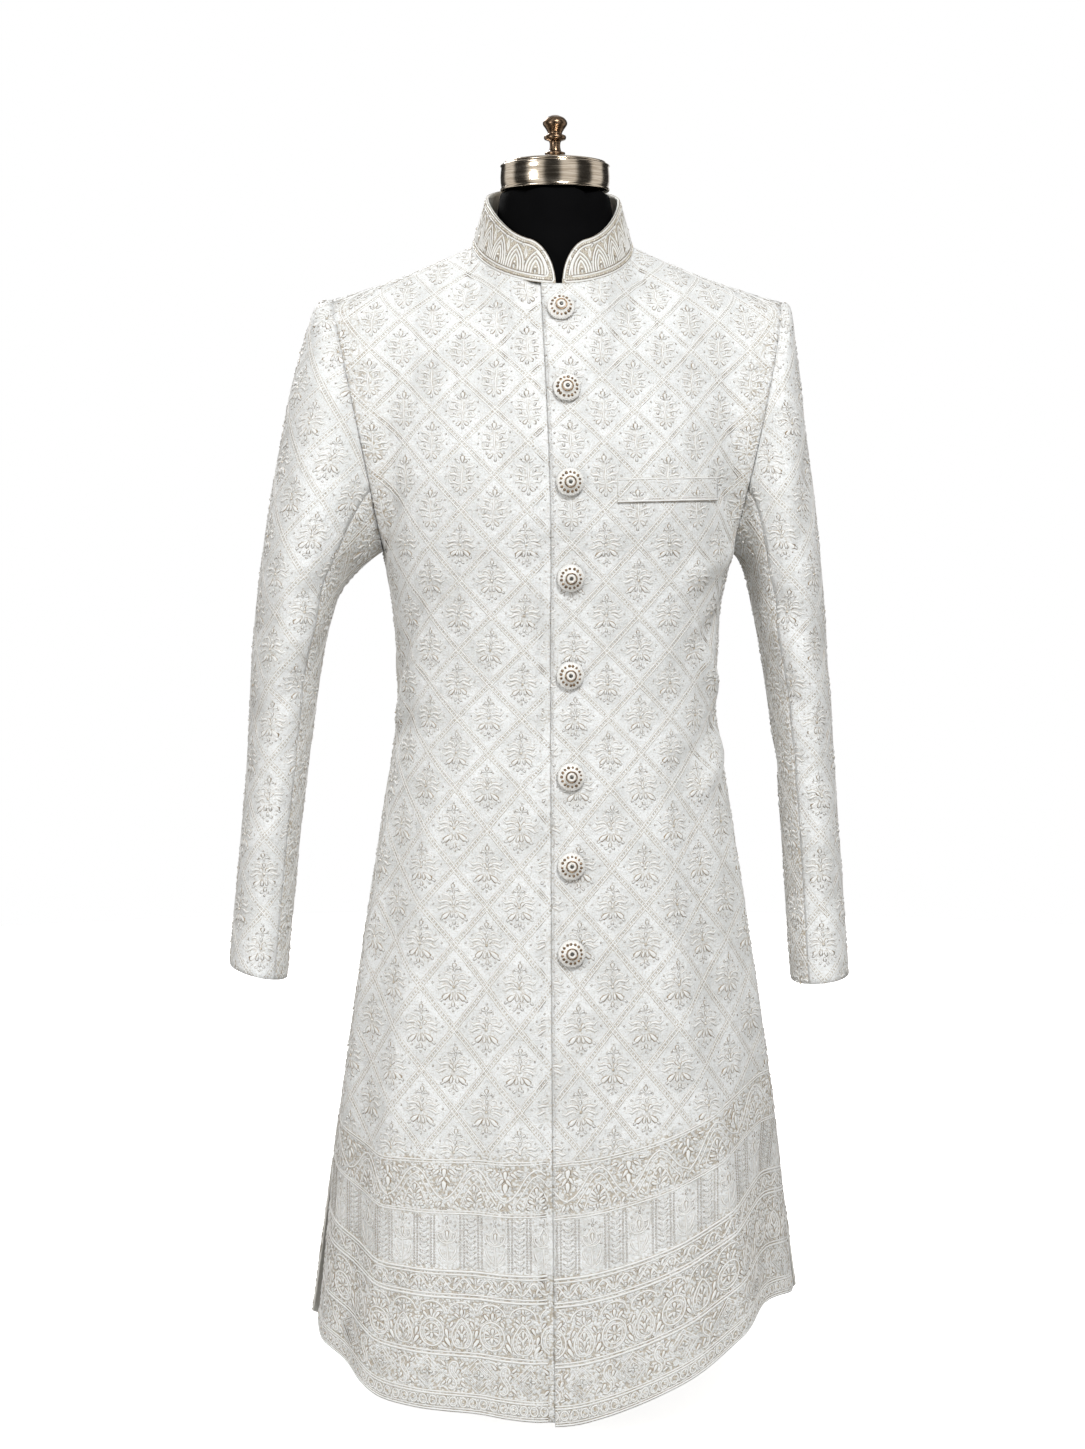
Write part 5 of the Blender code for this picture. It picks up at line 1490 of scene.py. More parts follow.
# %% [markdown]
# The single stitches are tiny closed shapes with few faces, because thousands of them are
# laid. Each is about one unit long, so a point's size value is its size in metres. A cord
# needs only its section, which is swept along every path.
# %% Stitch shapes
def stitch_shape(name, rings, ridge, crest):
    """Closed cap: rings of points, lowest first, then one or two ridge points."""
    points = [point for ring in rings for point in ring] + list(ridge)
    sides = len(rings[0])
    faces = [tuple(reversed(range(sides)))]
    for level in range(len(rings) - 1):
        low, high = level * sides, (level + 1) * sides
        for step in range(sides):
            after = (step + 1) % sides
            faces.append((low + step, low + after, high + after, high + step))
    low, top = (len(rings) - 1) * sides, len(rings) * sides
    if len(ridge) == 1:
        faces += [(low + step, low + (step + 1) % sides, top) for step in range(sides)]
    else:
        # Six points around: the ridge runs from the heel (0) to the tip (3).
        faces += [(low, low + 1, top), (low + 1, low + 2, top + 1, top), (low + 2, low + 3, top + 1),
                  (low + 3, low + 4, top + 1), (low + 4, low + 5, top, top + 1), (low + 5, low, top)]
    shape = add_piece(name, points, faces, ())
    write_floats(shape.data, "crest", crest)
    write_floats(shape.data, "strand", [0.010 * point[0] for point in points])
    return shape


def circle(sides, radius, height, spin=0.0):
    return [(radius * math.cos(TURN * step / sides + spin),
             radius * math.sin(TURN * step / sides + spin), height) for step in range(sides)]


SUNK = -0.15
# A petal is narrow at its heel and round at its tip; counter-clockwise from the heel.
PETAL_RIM = ((-0.50, 0.0), (0.02, -0.40), (0.36, -0.40), (0.52, 0.0), (0.36, 0.40), (0.02, 0.40))
# The lowest ring is wider than the petal and has crest 0, so it is painted in shade, as a painted shadow
# round the petal; the rims of slivers and seeds are the same.
PETAL_RINGS = [[(x * 1.20, y * 1.85, SUNK) for x, y in PETAL_RIM], [(x, y, 0.28) for x, y in PETAL_RIM]]
PETAL_SHAPE = stitch_shape("petal_stitch", PETAL_RINGS, [(-0.16, 0.0, 0.85), (0.26, 0.0, 1.0)],
                           [0.0] * 6 + [0.36] * 6 + [1.0, 1.0])
SLIVER_SHAPE = stitch_shape("sliver_stitch", [[(x * 1.12, y * 1.60, SUNK) for x, y in PETAL_RIM]],
                            [(-0.16, 0.0, 0.85), (0.26, 0.0, 1.0)], [0.0] * 6 + [1.0, 1.0])
SEED_SHAPE = stitch_shape("seed_stitch", [circle(5, 0.72, SUNK)], [(0.0, 0.0, 1.0)], [0.0] * 5 + [0.8])
BEAD_SHAPE = stitch_shape("round_bead", [circle(6, 0.36, 0.0), circle(6, 0.5, 0.45, 0.52)],
                          [(0.0, 0.0, 1.0)], [0.0] * 6 + [0.6] * 6 + [1.0])


STITCH_SHAPES = {"petal": PETAL_SHAPE, "sliver": SLIVER_SHAPE, "seed": SEED_SHAPE, "bead": BEAD_SHAPE}
print("stitch shapes", {kind: len(shape.data.polygons) for kind, shape in STITCH_SHAPES.items()})

# %% Cord section and evaluation
# The section of a cord, in shares of its radius, height first: a low margin, which is painted
# in shade, a shoulder, the ridge, and the other side.
CORD_SECTION = ((-0.12, -1.55), (0.42, -0.80), (0.95, 0.0), (0.42, 0.80), (-0.12, 1.55))


def section_object():
    mesh = bpy.data.meshes.new("cord_section")
    count = len(CORD_SECTION)
    mesh.from_pydata([(x, y, 0.0) for x, y in CORD_SECTION], [(c, (c + 1) % count) for c in range(count)], [])
    return new_object("cord_section", mesh)


SECTION = section_object()


def evaluated_mesh(piece):
    """The plain mesh of a piece with its modifier carried out; the modifier is removed."""
    depsgraph = bpy.context.evaluated_depsgraph_get()
    mesh = bpy.data.meshes.new_from_object(piece.evaluated_get(depsgraph), depsgraph=depsgraph)
    piece.modifiers.clear()
    mesh.shade_smooth()
    return mesh


def run_tree(tree, points_mesh, name, inputs):
    """Evaluate a tree on a mesh and keep the result as a plain piece."""
    source = new_object(name + "_source", points_mesh)
    modifier = source.modifiers.new("threads", "NODES")
    modifier.node_group = tree
    for item in tree.interface.items_tree:
        if item.item_type == "SOCKET" and item.in_out == "INPUT" and item.name in inputs:
            modifier[item.identifier] = inputs[item.name]
    mesh = evaluated_mesh(source)
    bpy.data.objects.remove(source, do_unlink=True)
    mesh.name = name
    for extra in ("facing", "along", "size", "core", "thick"):
        if extra in mesh.attributes:
            mesh.attributes.remove(mesh.attributes[extra])
    return new_object(name, mesh)


def points_mesh_of(laid):
    mesh = bpy.data.meshes.new("laid")
    mesh.from_pydata([tuple(row[0]) for row in laid], [], [])
    write_vectors(mesh, "facing", [row[1] for row in laid])
    write_vectors(mesh, "along", [row[2] for row in laid])
    write_vectors(mesh, "size", [row[3] for row in laid])
    return mesh


def paths_mesh_of(paths, sink=0.15):
    """Polylines of the laid cords, sunk a little so that they grip the cloth."""
    points, facing, thick, edges = [], [], [], []
    for run in paths:
        first = len(points)
        for place, normal, radius in run:
            points.append(tuple(place - normal * radius * sink))
            facing.append(normal)
            thick.append(radius)
        edges += [(first + step, first + step + 1) for step in range(len(run) - 1)]
        if np.linalg.norm(run[0][0] - run[-1][0]) < 1e-6 and len(run) > 3:
            edges[-1] = (edges[-1][0], first)
    mesh = bpy.data.meshes.new("paths")
    mesh.from_pydata(points, edges, [])
    write_vectors(mesh, "facing", facing)
    write_floats(mesh, "thick", thick)
    return mesh


print("section points", len(SECTION.data.vertices))

# %% [markdown]
# The lattice: on the real coat a machine lays each double line in one run. Each of its cords
# is drawn 1.7 mm to one side of the line between two lattice addresses, so that the pair
# keeps its width where the diamonds are stretched.
# %% Lattice cords
CORD_SPREAD = 0.00172
CORD_RADIUS = 0.00068
LATTICE_STEP = 0.24        # in lattice addresses, about twelve millimetres
LOOK_AHEAD = 0.02


def lay_lattice(name, flat_of, side, first_range, second_range):
    for fixed_range, moving_range, swapped in ((first_range, second_range, False),
                                               (second_range, first_range, True)):
        for fixed in range(*fixed_range):
            for offset in (-CORD_SPREAD, CORD_SPREAD):
                run = []
                for moving in np.arange(moving_range[0], moving_range[1], LATTICE_STEP):
                    pair, ahead = (fixed + 0.5, moving), (fixed + 0.5, moving + LOOK_AHEAD)
                    if swapped:
                        pair, ahead = pair[::-1], ahead[::-1]
                    spot = flat_of(*pair, side)
                    along = flat_of(*ahead, side) - spot
                    length = np.linalg.norm(along)
                    if length < 1e-7:
                        continue
                    run.append(spot + np.array([-along[1], along[0]]) / length * offset)
                lay_path(name, run, CORD_RADIUS)


# %% [markdown]
# Each diamond holds a flowering sprig. The skirt and the sleeves have a wide sprig of leaves
# around a small heart, with a bud above and below, and the chest has a little tree. The
# tables give half of each sprig, and the rows marked with a star are mirrored: a drawn half
# keeps the two sides alike, while the small differences come from the laying.
# %% Sprigs
SKIRT_SPRIG = motif(
    "bead 0 0 3", "petal* 2.5 3.6 56 5.6 2.8", "petal 0 9.2 90 5 2.4",
    "leaf* 1.5 2.6,2 6,5.4 9.8,5.6 13.2,4.2 17.2,7.4", "leaf* 1.45 3.4,-0.4 7.2,1 11,-0.4 14,-2.4 18,-0.8",
    "leaf* 1.1 1.6,6.8 3.6,11 7,12.6 10.4,11.4 10.2,8.8", "petal* 6.8 -9 -44 9.4 3.8",
    "petal* 2.3 -9.2 -80 6.8 2.6", "petal* 11.4 -13.2 -40 4.8 2.3", "petal 0 20.4 90 5 3",
    "petal* 3.1 17.8 22 4.6 2.3", "petal 0 15.4 90 3.4 1.8", "petal 0 -16.8 -90 5 2.6",
    "petal* 3 -19.8 -36 4.4 2.2", "seed 0 -23.6 2", "seed* 20.6 2.6 1.9", "seed* 6.2 16.4 1.8",
    "seed 0 25.2 1.8", "seed* 8.4 -17.2 1.8", "seed* 14.2 10.2 1.8",
)
CHEST_SPRIG = motif(
    "leaf 0.95 0,-15.6 0.5,-9 -0.4,-2 0.4,4.6 0,10.6", "leaf* 1.25 1.2,5 4,7 6.8,8.4 9.6,8.2 11.6,10.8",
    "leaf* 1.35 1,-1.6 4.4,-0.6 8,1 11.2,0.6 13.8,3.2",
    "leaf* 1.3 1,-8.2 4,-7.6 7.4,-6.2 10.6,-6.8 13,-4.4", "petal 0 14.8 90 6.2 3.4",
    "petal* 3.4 13 42 5 2.4", "petal* 3.4 -13.4 -44 5.8 2.8", "petal 0 -17.2 -90 4.6 2.4",
    "petal* 5.8 3.6 60 4.2 2.2", "petal* 7.2 -3 -70 4.2 2.2", "seed 0 20 1.9", "seed* 15 8.4 1.8",
    "seed* 16.2 -1.4 1.8", "seed* 8.4 -11.6 1.8", "seed* 7 15.4 1.7",
)
print("rows of the two sprigs", len(SKIRT_SPRIG), "and", len(CHEST_SPRIG))
CHEST_SPRIG_FROM = 0.86
CHEST_SPRIG_FULL, SKIRT_SPRIG_FULL = 0.061, 0.077     # heights of a diamond that a sprig was drawn for
SPRIG_SHARE, SPRIG_WOBBLE = 0.94, 0.40
WELT_CLEAR = 0.0010


def under_welt(place):
    point = place[0]
    rise = WELT_RISE * (point[0] - WELT_INNER_X) / (WELT_OUTER_X - WELT_INNER_X)
    return (WELT_INNER_X - WELT_CLEAR < point[0] < WELT_OUTER_X + WELT_CLEAR
            and WELT_TOP - WELT_HEIGHT + rise - WELT_CLEAR < point[2] < WELT_TOP + rise + WELT_CLEAR)


def lay_sprigs(name, flat_of, side, first_range, second_range):
    for first in range(*first_range):
        for second in range(*second_range):
            spot = flat_of(first, second, side)
            tall = (flat_of(first + 0.5, second + 0.5, side) - flat_of(first - 0.5, second - 0.5, side))[1]
            on_chest = "sleeve" not in name and spot[1] > CHEST_SPRIG_FROM
            sprig, full = (CHEST_SPRIG, CHEST_SPRIG_FULL) if on_chest else (SKIRT_SPRIG, SKIRT_SPRIG_FULL)
            size = tall / full
            lay_motif(name, sprig, spot, (min(size, 1.0), size * SPRIG_SHARE), SPRIG_WOBBLE)


# %% Lay the lattice and the sprigs
WELT_INNER_X, WELT_OUTER_X = 0.0480, 0.1480
WELT_TOP, WELT_HEIGHT, WELT_RISE, WELT_THICKNESS = 0.9085, 0.0225, 0.0025, 0.0016
# Lattice numbers that cover a body panel, a sleeve and the front at the welt.
BODY_DIAMONDS, SLEEVE_DIAMONDS = ((-10, 22), (-11, 20)), ((-4, 13), (-4, 13))
WELT_DIAMONDS = ((0, 22), (-2, 20))
for panel_name in PANELS:
    on_sleeve = "sleeve" in panel_name
    where = (sleeve_flat, 0) + SLEEVE_DIAMONDS if on_sleeve else (
        body_flat, LATTICE_SIDE[panel_name]) + BODY_DIAMONDS
    CHARTS[panel_name]["floor"] = 0.0 if on_sleeve else BORDER_TOP + LINE_CLEAR
    lay_lattice(panel_name, *where)
    lay_sprigs(panel_name, *where)
    CHARTS[panel_name]["floor"] = 0.0
for kind in ("petal", "sliver", "seed"):
    LAID["front_left"][kind] = [row for row in LAID["front_left"][kind] if not under_welt(row)]
print("petals laid", {name: len(laid["petal"]) for name, laid in LAID.items()})
print("lattice cords", sum(len(run) for paths in PATHS.values() for run in paths), "points")

# %% [markdown]
# The border is a stack of bands between white piped lines. From the hem up: a chain of rings,
# diamond medallions with scrolls, a wide band of cone-shaped flowers and medallions, a narrow
# leaf vine, dotted columns with small plants between them, and nested arches. Each band
# repeats one or two motifs at its own pitch.
# %% Border lines
# One row for each piped line: height above the hem, radius, both in millimetres.
BORDER_LINES = (
    (1.5, 0.90), (3.8, 0.60), (16.4, 0.95), (19.0, 0.80), (55.0, 1.15), (58.2, 0.85), (111.2, 1.20),
    (114.6, 0.90), (133.8, 0.90), (137.2, 1.20), (193.6, 0.80), (196.0, 0.60), (243.4, 0.65),
    (246.0, 0.80),
)
LINE_STEP = 0.008
LINE_INSET = 0.02          # of one step, at both ends of a line


def border_address(name):
    """Flat address of a place given as metres across and metres above the hem."""
    return lambda across, above: (across, border_height(HEMS[name], across, above))


def lay_border_lines(name):
    place = border_address(name)
    low, high = HEMS[name][0].min(), HEMS[name][0].max()
    steps = int((high - low) / LINE_STEP)
    for above, radius in BORDER_LINES:
        shares = [(step + LINE_INSET) / (steps + 2.0 * LINE_INSET) for step in range(steps + 1)]
        spots = [place(low + (high - low) * share, above * MILLIMETRE) for share in shares]
        lay_path(name, spots, radius * MILLIMETRE)


def ring_path(x, y, radius_x, radius_y, steps=8):
    return [(x + radius_x * math.cos(TURN * step / steps), y + radius_y * math.sin(TURN * step / steps))
            for step in range(steps + 1)]


def diamond_path(x, y, half_x, half_y):
    return [(x, y - half_y), (x + half_x, y), (x, y + half_y), (x - half_x, y), (x, y - half_y)]


# %% Border motifs
CHAIN = motif(
    ("path", False, (0.78, ring_path(0.0, 0.0, 3.6, 4.3))), "bead 0 0 2.4", "petal* 4.8 3.2 60 3.6 1.6",
    "petal* 4.8 -3.2 -60 3.6 1.6",
)
MEDALLION = motif(
    ("line", False, (0.92, diamond_path(0.0, 0.0, 15.5, 16.0))),
    ("line", False, (0.78, diamond_path(0.0, 0.0, 11.0, 11.6))),
    ("line", False, (0.72, diamond_path(0.0, 0.0, 6.4, 7.0))), "petal 0 2.4 90 4.4 2.4",
    "petal 0 -2.4 90 4.4 2.4", "petal* 2.4 0 0 4.4 2.4", "seed* 8.6 0 1.8", "seed 0 9.4 1.8",
    "seed 0 -9.4 1.8", "petal* 14.6 10.4 -46 7 2.6", "petal* 14.6 -10.4 46 7 2.6",
)
SCROLL = motif(
    "path 0.92 -4.5,-13.5 -0.5,-15 3.2,-11.5 2.6,-6.5 -1,-2.5 -3.6,2.5 -3.2,8.5 0.4,11.8 4.2,10.4 4.6,6.6",
    "path 0.78 1.2,7 0.2,3.2 2.6,-0.6 5.4,-4.6 6,-9.2", "petal -3.4 -8.6 60 6.5 2.8",
    "petal 4.6 1.4 68 6.5 2.8", "petal -5.6 13.6 28 6 2.4", "petal 5.8 -13.6 24 6 2.4", "seed -6.8 -3.4 2",
    "seed 6.4 13.4 2", "bead -7.2 4.4 2",
)
CONE_FLOWER = motif(
    "path 0.92 -5,-20 -9,-13.5 -9.2,-6 -5.6,1.5 0,8.5 5.6,1.5 9.2,-6 9,-13.5 5,-20 -5,-20",
    "path 0.72 -3,-17 -5.8,-12 -5.6,-5.5 0,3.6 5.6,-5.5 5.8,-12 3,-17", "petal 0 -1.6 90 6.5 3",
    "petal* 2.4 -6 60 6 2.6", "petal 0 -9.4 90 6.5 3", "petal* 2.6 -14 58 6 2.6",
    "petal* 12.8 -16 58 10 3.6", "petal* 13.6 -7.4 76 9 3.2", "petal* 10.6 1.6 118 7.5 2.8",
    "petal 0 13.2 90 7 3.2", "petal* 4.6 10.6 40 6 2.6", "seed* 16 1 2.2", "seed* 7.4 15.4 2",
    "bead 0 -22.4 2.6", "seed* 7 -22.6 2.2",
)
ROSE = motif(
    ("path", False, (0.92, ring_path(0.0, -6.5, 11.5, 13.5, 14))),
    ("path", False, (0.72, ring_path(0.0, -6.5, 7.6, 9.4, 12))), "petal 0 -2.2 90 6 3.2",
    "petal 0 -10.8 90 6 3.2", "petal* 3.8 -4.2 32 5.6 2.8", "petal* 3.8 -8.8 -32 5.6 2.8",
    "bead 0 -6.5 2.4", "petal* 5.2 10 52 8 2.8", "petal 0 12.6 90 7.5 3.2", "petal* 10 6.4 128 6.5 2.6",
    "seed* 9.6 13.2 2", "petal* 12.4 -18.6 132 6.5 2.6", "seed 0 -22.8 2.4", "seed* 6 -22 2",
)
SMALL_ARCH = motif(
    "path 0.85 -12.6,-6 -10.6,-1 -6,2.6 0,4 6,2.6 10.6,-1 12.6,-6", "petal 0 -0.8 90 5 2.6",
    "petal* 4.8 -1.6 28 5.6 2.4", "seed* 9 4.2 2", "seed* 12.8 2 1.7", "seed 0 6.6 1.8",
)
VINE = motif(
    "path 0.85 -11,-5.6 -8,-3.6 -3,3.6 0,5.6 3,3.6 8,-3.6 11,-5.6", "petal* 3.2 -1.6 62 6.4 2.6",
    "petal* 8.6 3.6 118 6.4 2.6", "petal 0 -5.2 90 4.6 2.4", "petal* 5.6 -6.2 14 4.4 1.9",
    "petal* 5.4 6.4 -14 4.4 1.9", "seed* 11 6.2 1.9",
)
PLANT = motif(
    "leaf 0.9 0,-24 0.4,-18 0,-12 -0.3,-6 0,0",
    "path* 0.78 0.3,-1.4 4.6,-0.6 8.2,3.4 9.2,10 5.6,8.6 2.8,11.6 0.1,17",
    "path* 0.62 0.2,0.6 3.2,3.4 4,7.6 2.8,11.6", "petal 0 6.6 90 8 2.6", "petal* 6.2 5 66 5 1.7",
    "leaf* 1.05 0.4,-19 3.8,-16.4 6.6,-12.2 8,-8.4 8.8,-4.4",
    "leaf* 0.8 0.6,-22 4.6,-20.6 7.6,-17.8 9.4,-14.2", "seed 0 18.4 2.4", "petal 0 22.4 90 4.4 2.2",
    "seed* 3.6 20 1.9", "seed* 7.6 15.4 1.8", "seed* 8.6 0 1.8",
)
BRAID = motif("petal* 1.7 0 48 4.4 1.7", "seed* 4.4 2 1.5")
ARCHES = motif(
    "path 0.92 -29,-12 -23,-8 -16,1 -9,12.5 0,18.5 9,12.5 16,1 23,-8 29,-12",
    "path 0.72 -21,-15 -13.5,-4 -7,7 0,12.5 7,7 13.5,-4 21,-15",
    "path 0.72 -12.5,-18 -8,-6.5 0,4 8,-6.5 12.5,-18", "petal 0 -2 90 6.5 3.2", "petal* 3.6 -6.2 48 7 2.8",
    "petal* 4.2 -12.2 30 7.5 2.8", "petal 0 -10.6 90 6 2.4", "petal 0 -18.2 90 5.5 2.4",
    "petal* 6.6 -18.4 20 6 2.4", "petal* 16.4 -16.8 52 6.6 2.6", "petal* 24.6 -17.4 62 6.4 2.6",
    "petal* 29.6 1 90 9 4", "petal* 25.6 6.6 52 8 3", "petal* 21 13.6 40 8 2.8",
    "petal* 29.6 13.4 90 8 3.2", "petal* 14.6 17.8 12 7 2.6", "seed* 21.4 2.4 2.2", "seed* 15.2 11.6 2",
    "seed* 24.6 19.2 2", "bead* 29.6 -5.6 2.4", "seed* 6.6 18.6 1.8", "seed* 27.4 -21 2",
)
# One row for each band: its motifs in turn, then in millimetres the height of its middle
# above the hem and its pitch.
BORDER_BANDS = (
    ((CHAIN,), 10.0, 9.6), ((MEDALLION, SCROLL), 37.2, 24.5), ((CONE_FLOWER, ROSE), 83.0, 29.0),
    ((SMALL_ARCH,), 103.0, 29.0), ((VINE,), 124.4, 22.0), ((PLANT,), 165.8, 46.0), ((ARCHES,), 219.6, 59.0),
)
BAND_WOBBLE = 0.2
DOT_COLUMNS = (-16.0, -12.6, 12.6, 16.0)
DOT_ROWS = np.arange(141.5, 191.5, 2.75)
BRAID_ROWS = np.arange(143.5, 191.5, 5.4)
DOT_SIZE = 0.0018


def lay_bands(name):
    place = border_address(name)
    low, high = HEMS[name][0].min(), HEMS[name][0].max()
    phase = 0.5 if name != "back" else 0.0
    for motifs, above, pitch in BORDER_BANDS:
        for step in range(int(low / pitch / MILLIMETRE) - 2, int(high / pitch / MILLIMETRE) + 3):
            across = (step + phase) * pitch * MILLIMETRE
            spot = (across, above * MILLIMETRE)
            lay_motif(name, motifs[step % len(motifs)], spot, wobble=BAND_WOBBLE, address=place)
            if motifs[0] is not PLANT:
                continue
            for shift in DOT_COLUMNS:
                for rise in DOT_ROWS:
                    dot = place(across + shift * MILLIMETRE, rise * MILLIMETRE)
                    lay_knot(name, "seed", dot, DOT_SIZE)
            for rise in BRAID_ROWS:
                spot = (across + 0.5 * pitch * MILLIMETRE, rise * MILLIMETRE)
                lay_motif(name, BRAID, spot, wobble=BAND_WOBBLE, address=place)


for panel_name in ("front_left", "front_right", "back"):
    lay_border_lines(panel_name)
    lay_bands(panel_name)
print("petals with the border", sum(len(laid["petal"]) for laid in LAID.values()),
      "seeds", sum(len(laid["seed"]) for laid in LAID.values()))

# %% [markdown]
# The breast pocket's welt is a strip of the same brocade that stands a little proud. Its grid
# is taken from the left front's surface, and its flat address from the cloth just behind it,
# so the lattice runs across the pocket without a break.
# %% Pocket welt
SEARCH_STEPS = 40
ACROSS_PER_PLACE, RISE_PER_SHARE = 0.45, 0.40     # a little more than the cloth's own, so the search settles


def front_surface_point(x, height):
    """Point of the left front's outer face at a given x and height."""
    if height <= ARMPIT_HEIGHT:
        around = around_at_x(x, (height - HEM_HEIGHT) / (ARMPIT_HEIGHT - HEM_HEIGHT))
        for _ in range(SEARCH_STEPS):
            around += (x - lower_point(height, around)[0]) / ACROSS_PER_PLACE
        return lower_point(height, around)
    around, share = around_at_x(x, 1.0), 0.5
    for _ in range(SEARCH_STEPS):
        here = upper_point(share, around, column_ends(around, True))
        around += (x - here[0]) / ACROSS_PER_PLACE
        share = min(max(share + (height - here[2]) / RISE_PER_SHARE, 0.0), 1.0)
    return upper_point(share, around, column_ends(around, True))


def surface_frame(x, height):
    """Point, across, up and outward directions of the left front."""
    step = 0.004
    across = front_surface_point(x + step, height) - front_surface_point(x - step, height)
    rising = front_surface_point(x, height + step) - front_surface_point(x, height - step)
    across, rising = unit(across), unit(rising)
    return front_surface_point(x, height), across, rising, unit(np.cross(across, rising))


def flat_below(name, tree, point):
    """Flat address of the panel's point nearest to a point in space."""
    chart = CHARTS[name]
    spot, _normal, index, _distance = tree.find_nearest(Vector(point))
    first, second, third = (Vector(chart["points"][corner]) for corner in chart["triangles"][index])
    area = (second - first).cross(third - first)
    inside = (spot - first).cross(third - first).dot(area) / area.dot(area)
    beyond = (second - first).cross(spot - first).dot(area) / area.dot(area)
    corners = [chart["flat"][corner] for corner in chart["triangles"][index]]
    return corners[0] * (1.0 - inside - beyond) + corners[1] * inside + corners[2] * beyond


WELT_COLUMNS, WELT_ROWS, WELT_WORK_AND_SHADE = 40, 11, 0.1
FRONT_TREE = BVHTree.FromPolygons([Vector(point) for point in CHARTS["front_left"]["points"]],
                                  CHARTS["front_left"]["triangles"])
welt_points, welt_flat = [], []
for r in range(WELT_ROWS):
    welt_points.append([])
    welt_flat.append([])
    for c in range(WELT_COLUMNS):
        share = c / (WELT_COLUMNS - 1)
        x = mix(WELT_INNER_X, WELT_OUTER_X, share)
        height = WELT_TOP - WELT_HEIGHT * (1.0 - r / (WELT_ROWS - 1)) + WELT_RISE * share
        point, _across, _rising, out = surface_frame(x, height)
        welt_points[-1].append(point + out * (2.0 * SEAM_GAP + WELT_THICKNESS))
        welt_flat[-1].append(flat_below("front_left", FRONT_TREE, point))
WELT = {"points": np.array(welt_points), "flat": np.array(welt_flat)}
WELT["normals"] = grid_normals(WELT["points"])
print("welt flat size", np.round(np.ptp(WELT["flat"], axis=(0, 1)), 4))

# %% [markdown]
# The stand collar is the richest part of the coat: a beige ground with nested pointed arches
# in thick white cord, and a bead row between two piped edges. Its flat address is the
# distance along the neckline and the height on the band, so the arches stand upright all the
# way round.
# %% Collar band
COLLAR_FRONT_HEIGHT, COLLAR_SIDE_HEIGHT = 0.0400, 0.0460
COLLAR_CORNER, COLLAR_HALF_GAP, COLLAR_LEAN = 0.030, 0.0033, 0.30
COLLAR_LIFT = -0.0004
COLLAR_RISE_FROM, COLLAR_RISE_TO, COLLAR_END_SHARE = 0.03, 0.10, 0.12
COLLAR_HALF_COLUMNS, COLLAR_ROWS = 90, 14


def collar_height(place):
    if abs(place) > 1.0:
        return COLLAR_SIDE_HEIGHT
    along = (abs(place) / NECK_SHARE * QUARTER) * NECK_HALF_WIDTH - COLLAR_HALF_GAP
    full = mix(COLLAR_FRONT_HEIGHT, COLLAR_SIDE_HEIGHT, blend(COLLAR_RISE_FROM, COLLAR_RISE_TO, along))
    inside = min(max(1.0 - along / COLLAR_CORNER, 0.0), 1.0)
    return full * max(math.sqrt(1.0 - inside * inside), COLLAR_END_SHARE)


def collar_point(place, share):
    base = neckline_point(place)
    centre = np.array([NECK_SHIFT, mix(NECK_FRONT_Y, NECK_BACK_Y, 0.5), base[2]])
    inward = centre - base
    inward[2] = 0.0
    rise = COLLAR_LIFT + collar_height(place) * share
    return base + np.array([0.0, 0.0, 1.0]) * rise + unit(inward) * rise * COLLAR_LEAN


def collar_places():
    """From the right front end round the back to the left one, closer together at the ends."""
    front_end = COLLAR_HALF_GAP / NECK_HALF_WIDTH * NECK_SHARE / QUARTER
    front = [mix(front_end, NECK_SHARE, (c / COLLAR_HALF_COLUMNS) ** 1.5)
             for c in range(COLLAR_HALF_COLUMNS + 1)]
    back = [2.0 - NECK_SHARE + 2.0 * NECK_SHARE * c / COLLAR_HALF_COLUMNS
            for c in range(1, COLLAR_HALF_COLUMNS)]
    return front + back + [-place for place in reversed(front)]


def make_collar_panel():
    places = collar_places()
    shares = [r / (COLLAR_ROWS - 1) for r in range(COLLAR_ROWS)]
    points = np.array([[collar_point(place, share) for place in places] for share in shares])
    normals = grid_normals(points)
    normals[:, :, 2] = 0.0
    normals /= np.linalg.norm(normals, axis=2, keepdims=True)
    base = np.array([neckline_point(place) for place in places])
    along = walked(step_lengths(base))
    heights = np.array([collar_height(place) for place in places])
    flat = np.stack([np.tile(along, (COLLAR_ROWS, 1)), np.outer(shares, heights)], axis=2)
    return {"points": points, "flat": flat, "normals": normals, "along": along, "heights": heights}


COLLAR = make_collar_panel()
COLLAR_LENGTH = float(COLLAR["along"][-1])
print("collar length", round(COLLAR_LENGTH, 4), "m")

# %% Collar and welt cloth
for name, panel in (("collar", COLLAR), ("pocket_welt", WELT)):
    PANELS[name] = panel
    CHARTS[name] = make_chart(name, panel)
    LAID[name], PATHS[name], HEMS[name] = {kind: [] for kind in STITCH_SHAPES}, [], None
zeros = np.zeros(COLLAR["flat"].shape[:2])
CLOTHS["collar"] = cloth_shell("collar_cloth", COLLAR, np.zeros(COLLAR["flat"].shape), zeros, zeros,
                               COLLAR_GROUND)
welt_map = lattice_map_of(WELT["flat"], body_lattice, 1)
ones = np.ones(WELT["flat"].shape[:2])
CLOTHS["pocket_welt"] = cloth_shell("pocket_welt_cloth", WELT, welt_map, ones * WELT_WORK_AND_SHADE, ones)
lay_lattice("pocket_welt", body_flat, 1, *WELT_DIAMONDS)
lay_sprigs("pocket_welt", body_flat, 1, *WELT_DIAMONDS)

# %% [markdown]
# The pattern of the collar is mirrored from its two front ends. An arch has three nested
# cords, and the space between two arches holds a pointed leaf that hangs from the top edge.
# %% Collar embroidery
COLLAR_ARCH_PITCH = 0.0240
COLLAR_FIRST_ARCH = 0.0205
ARCH_ROUNDNESS = 2.7
COLLAR_EDGES, COLLAR_ARCH_HEIGHT, COLLAR_WOBBLE = 0.0140, 0.0232, 0.15


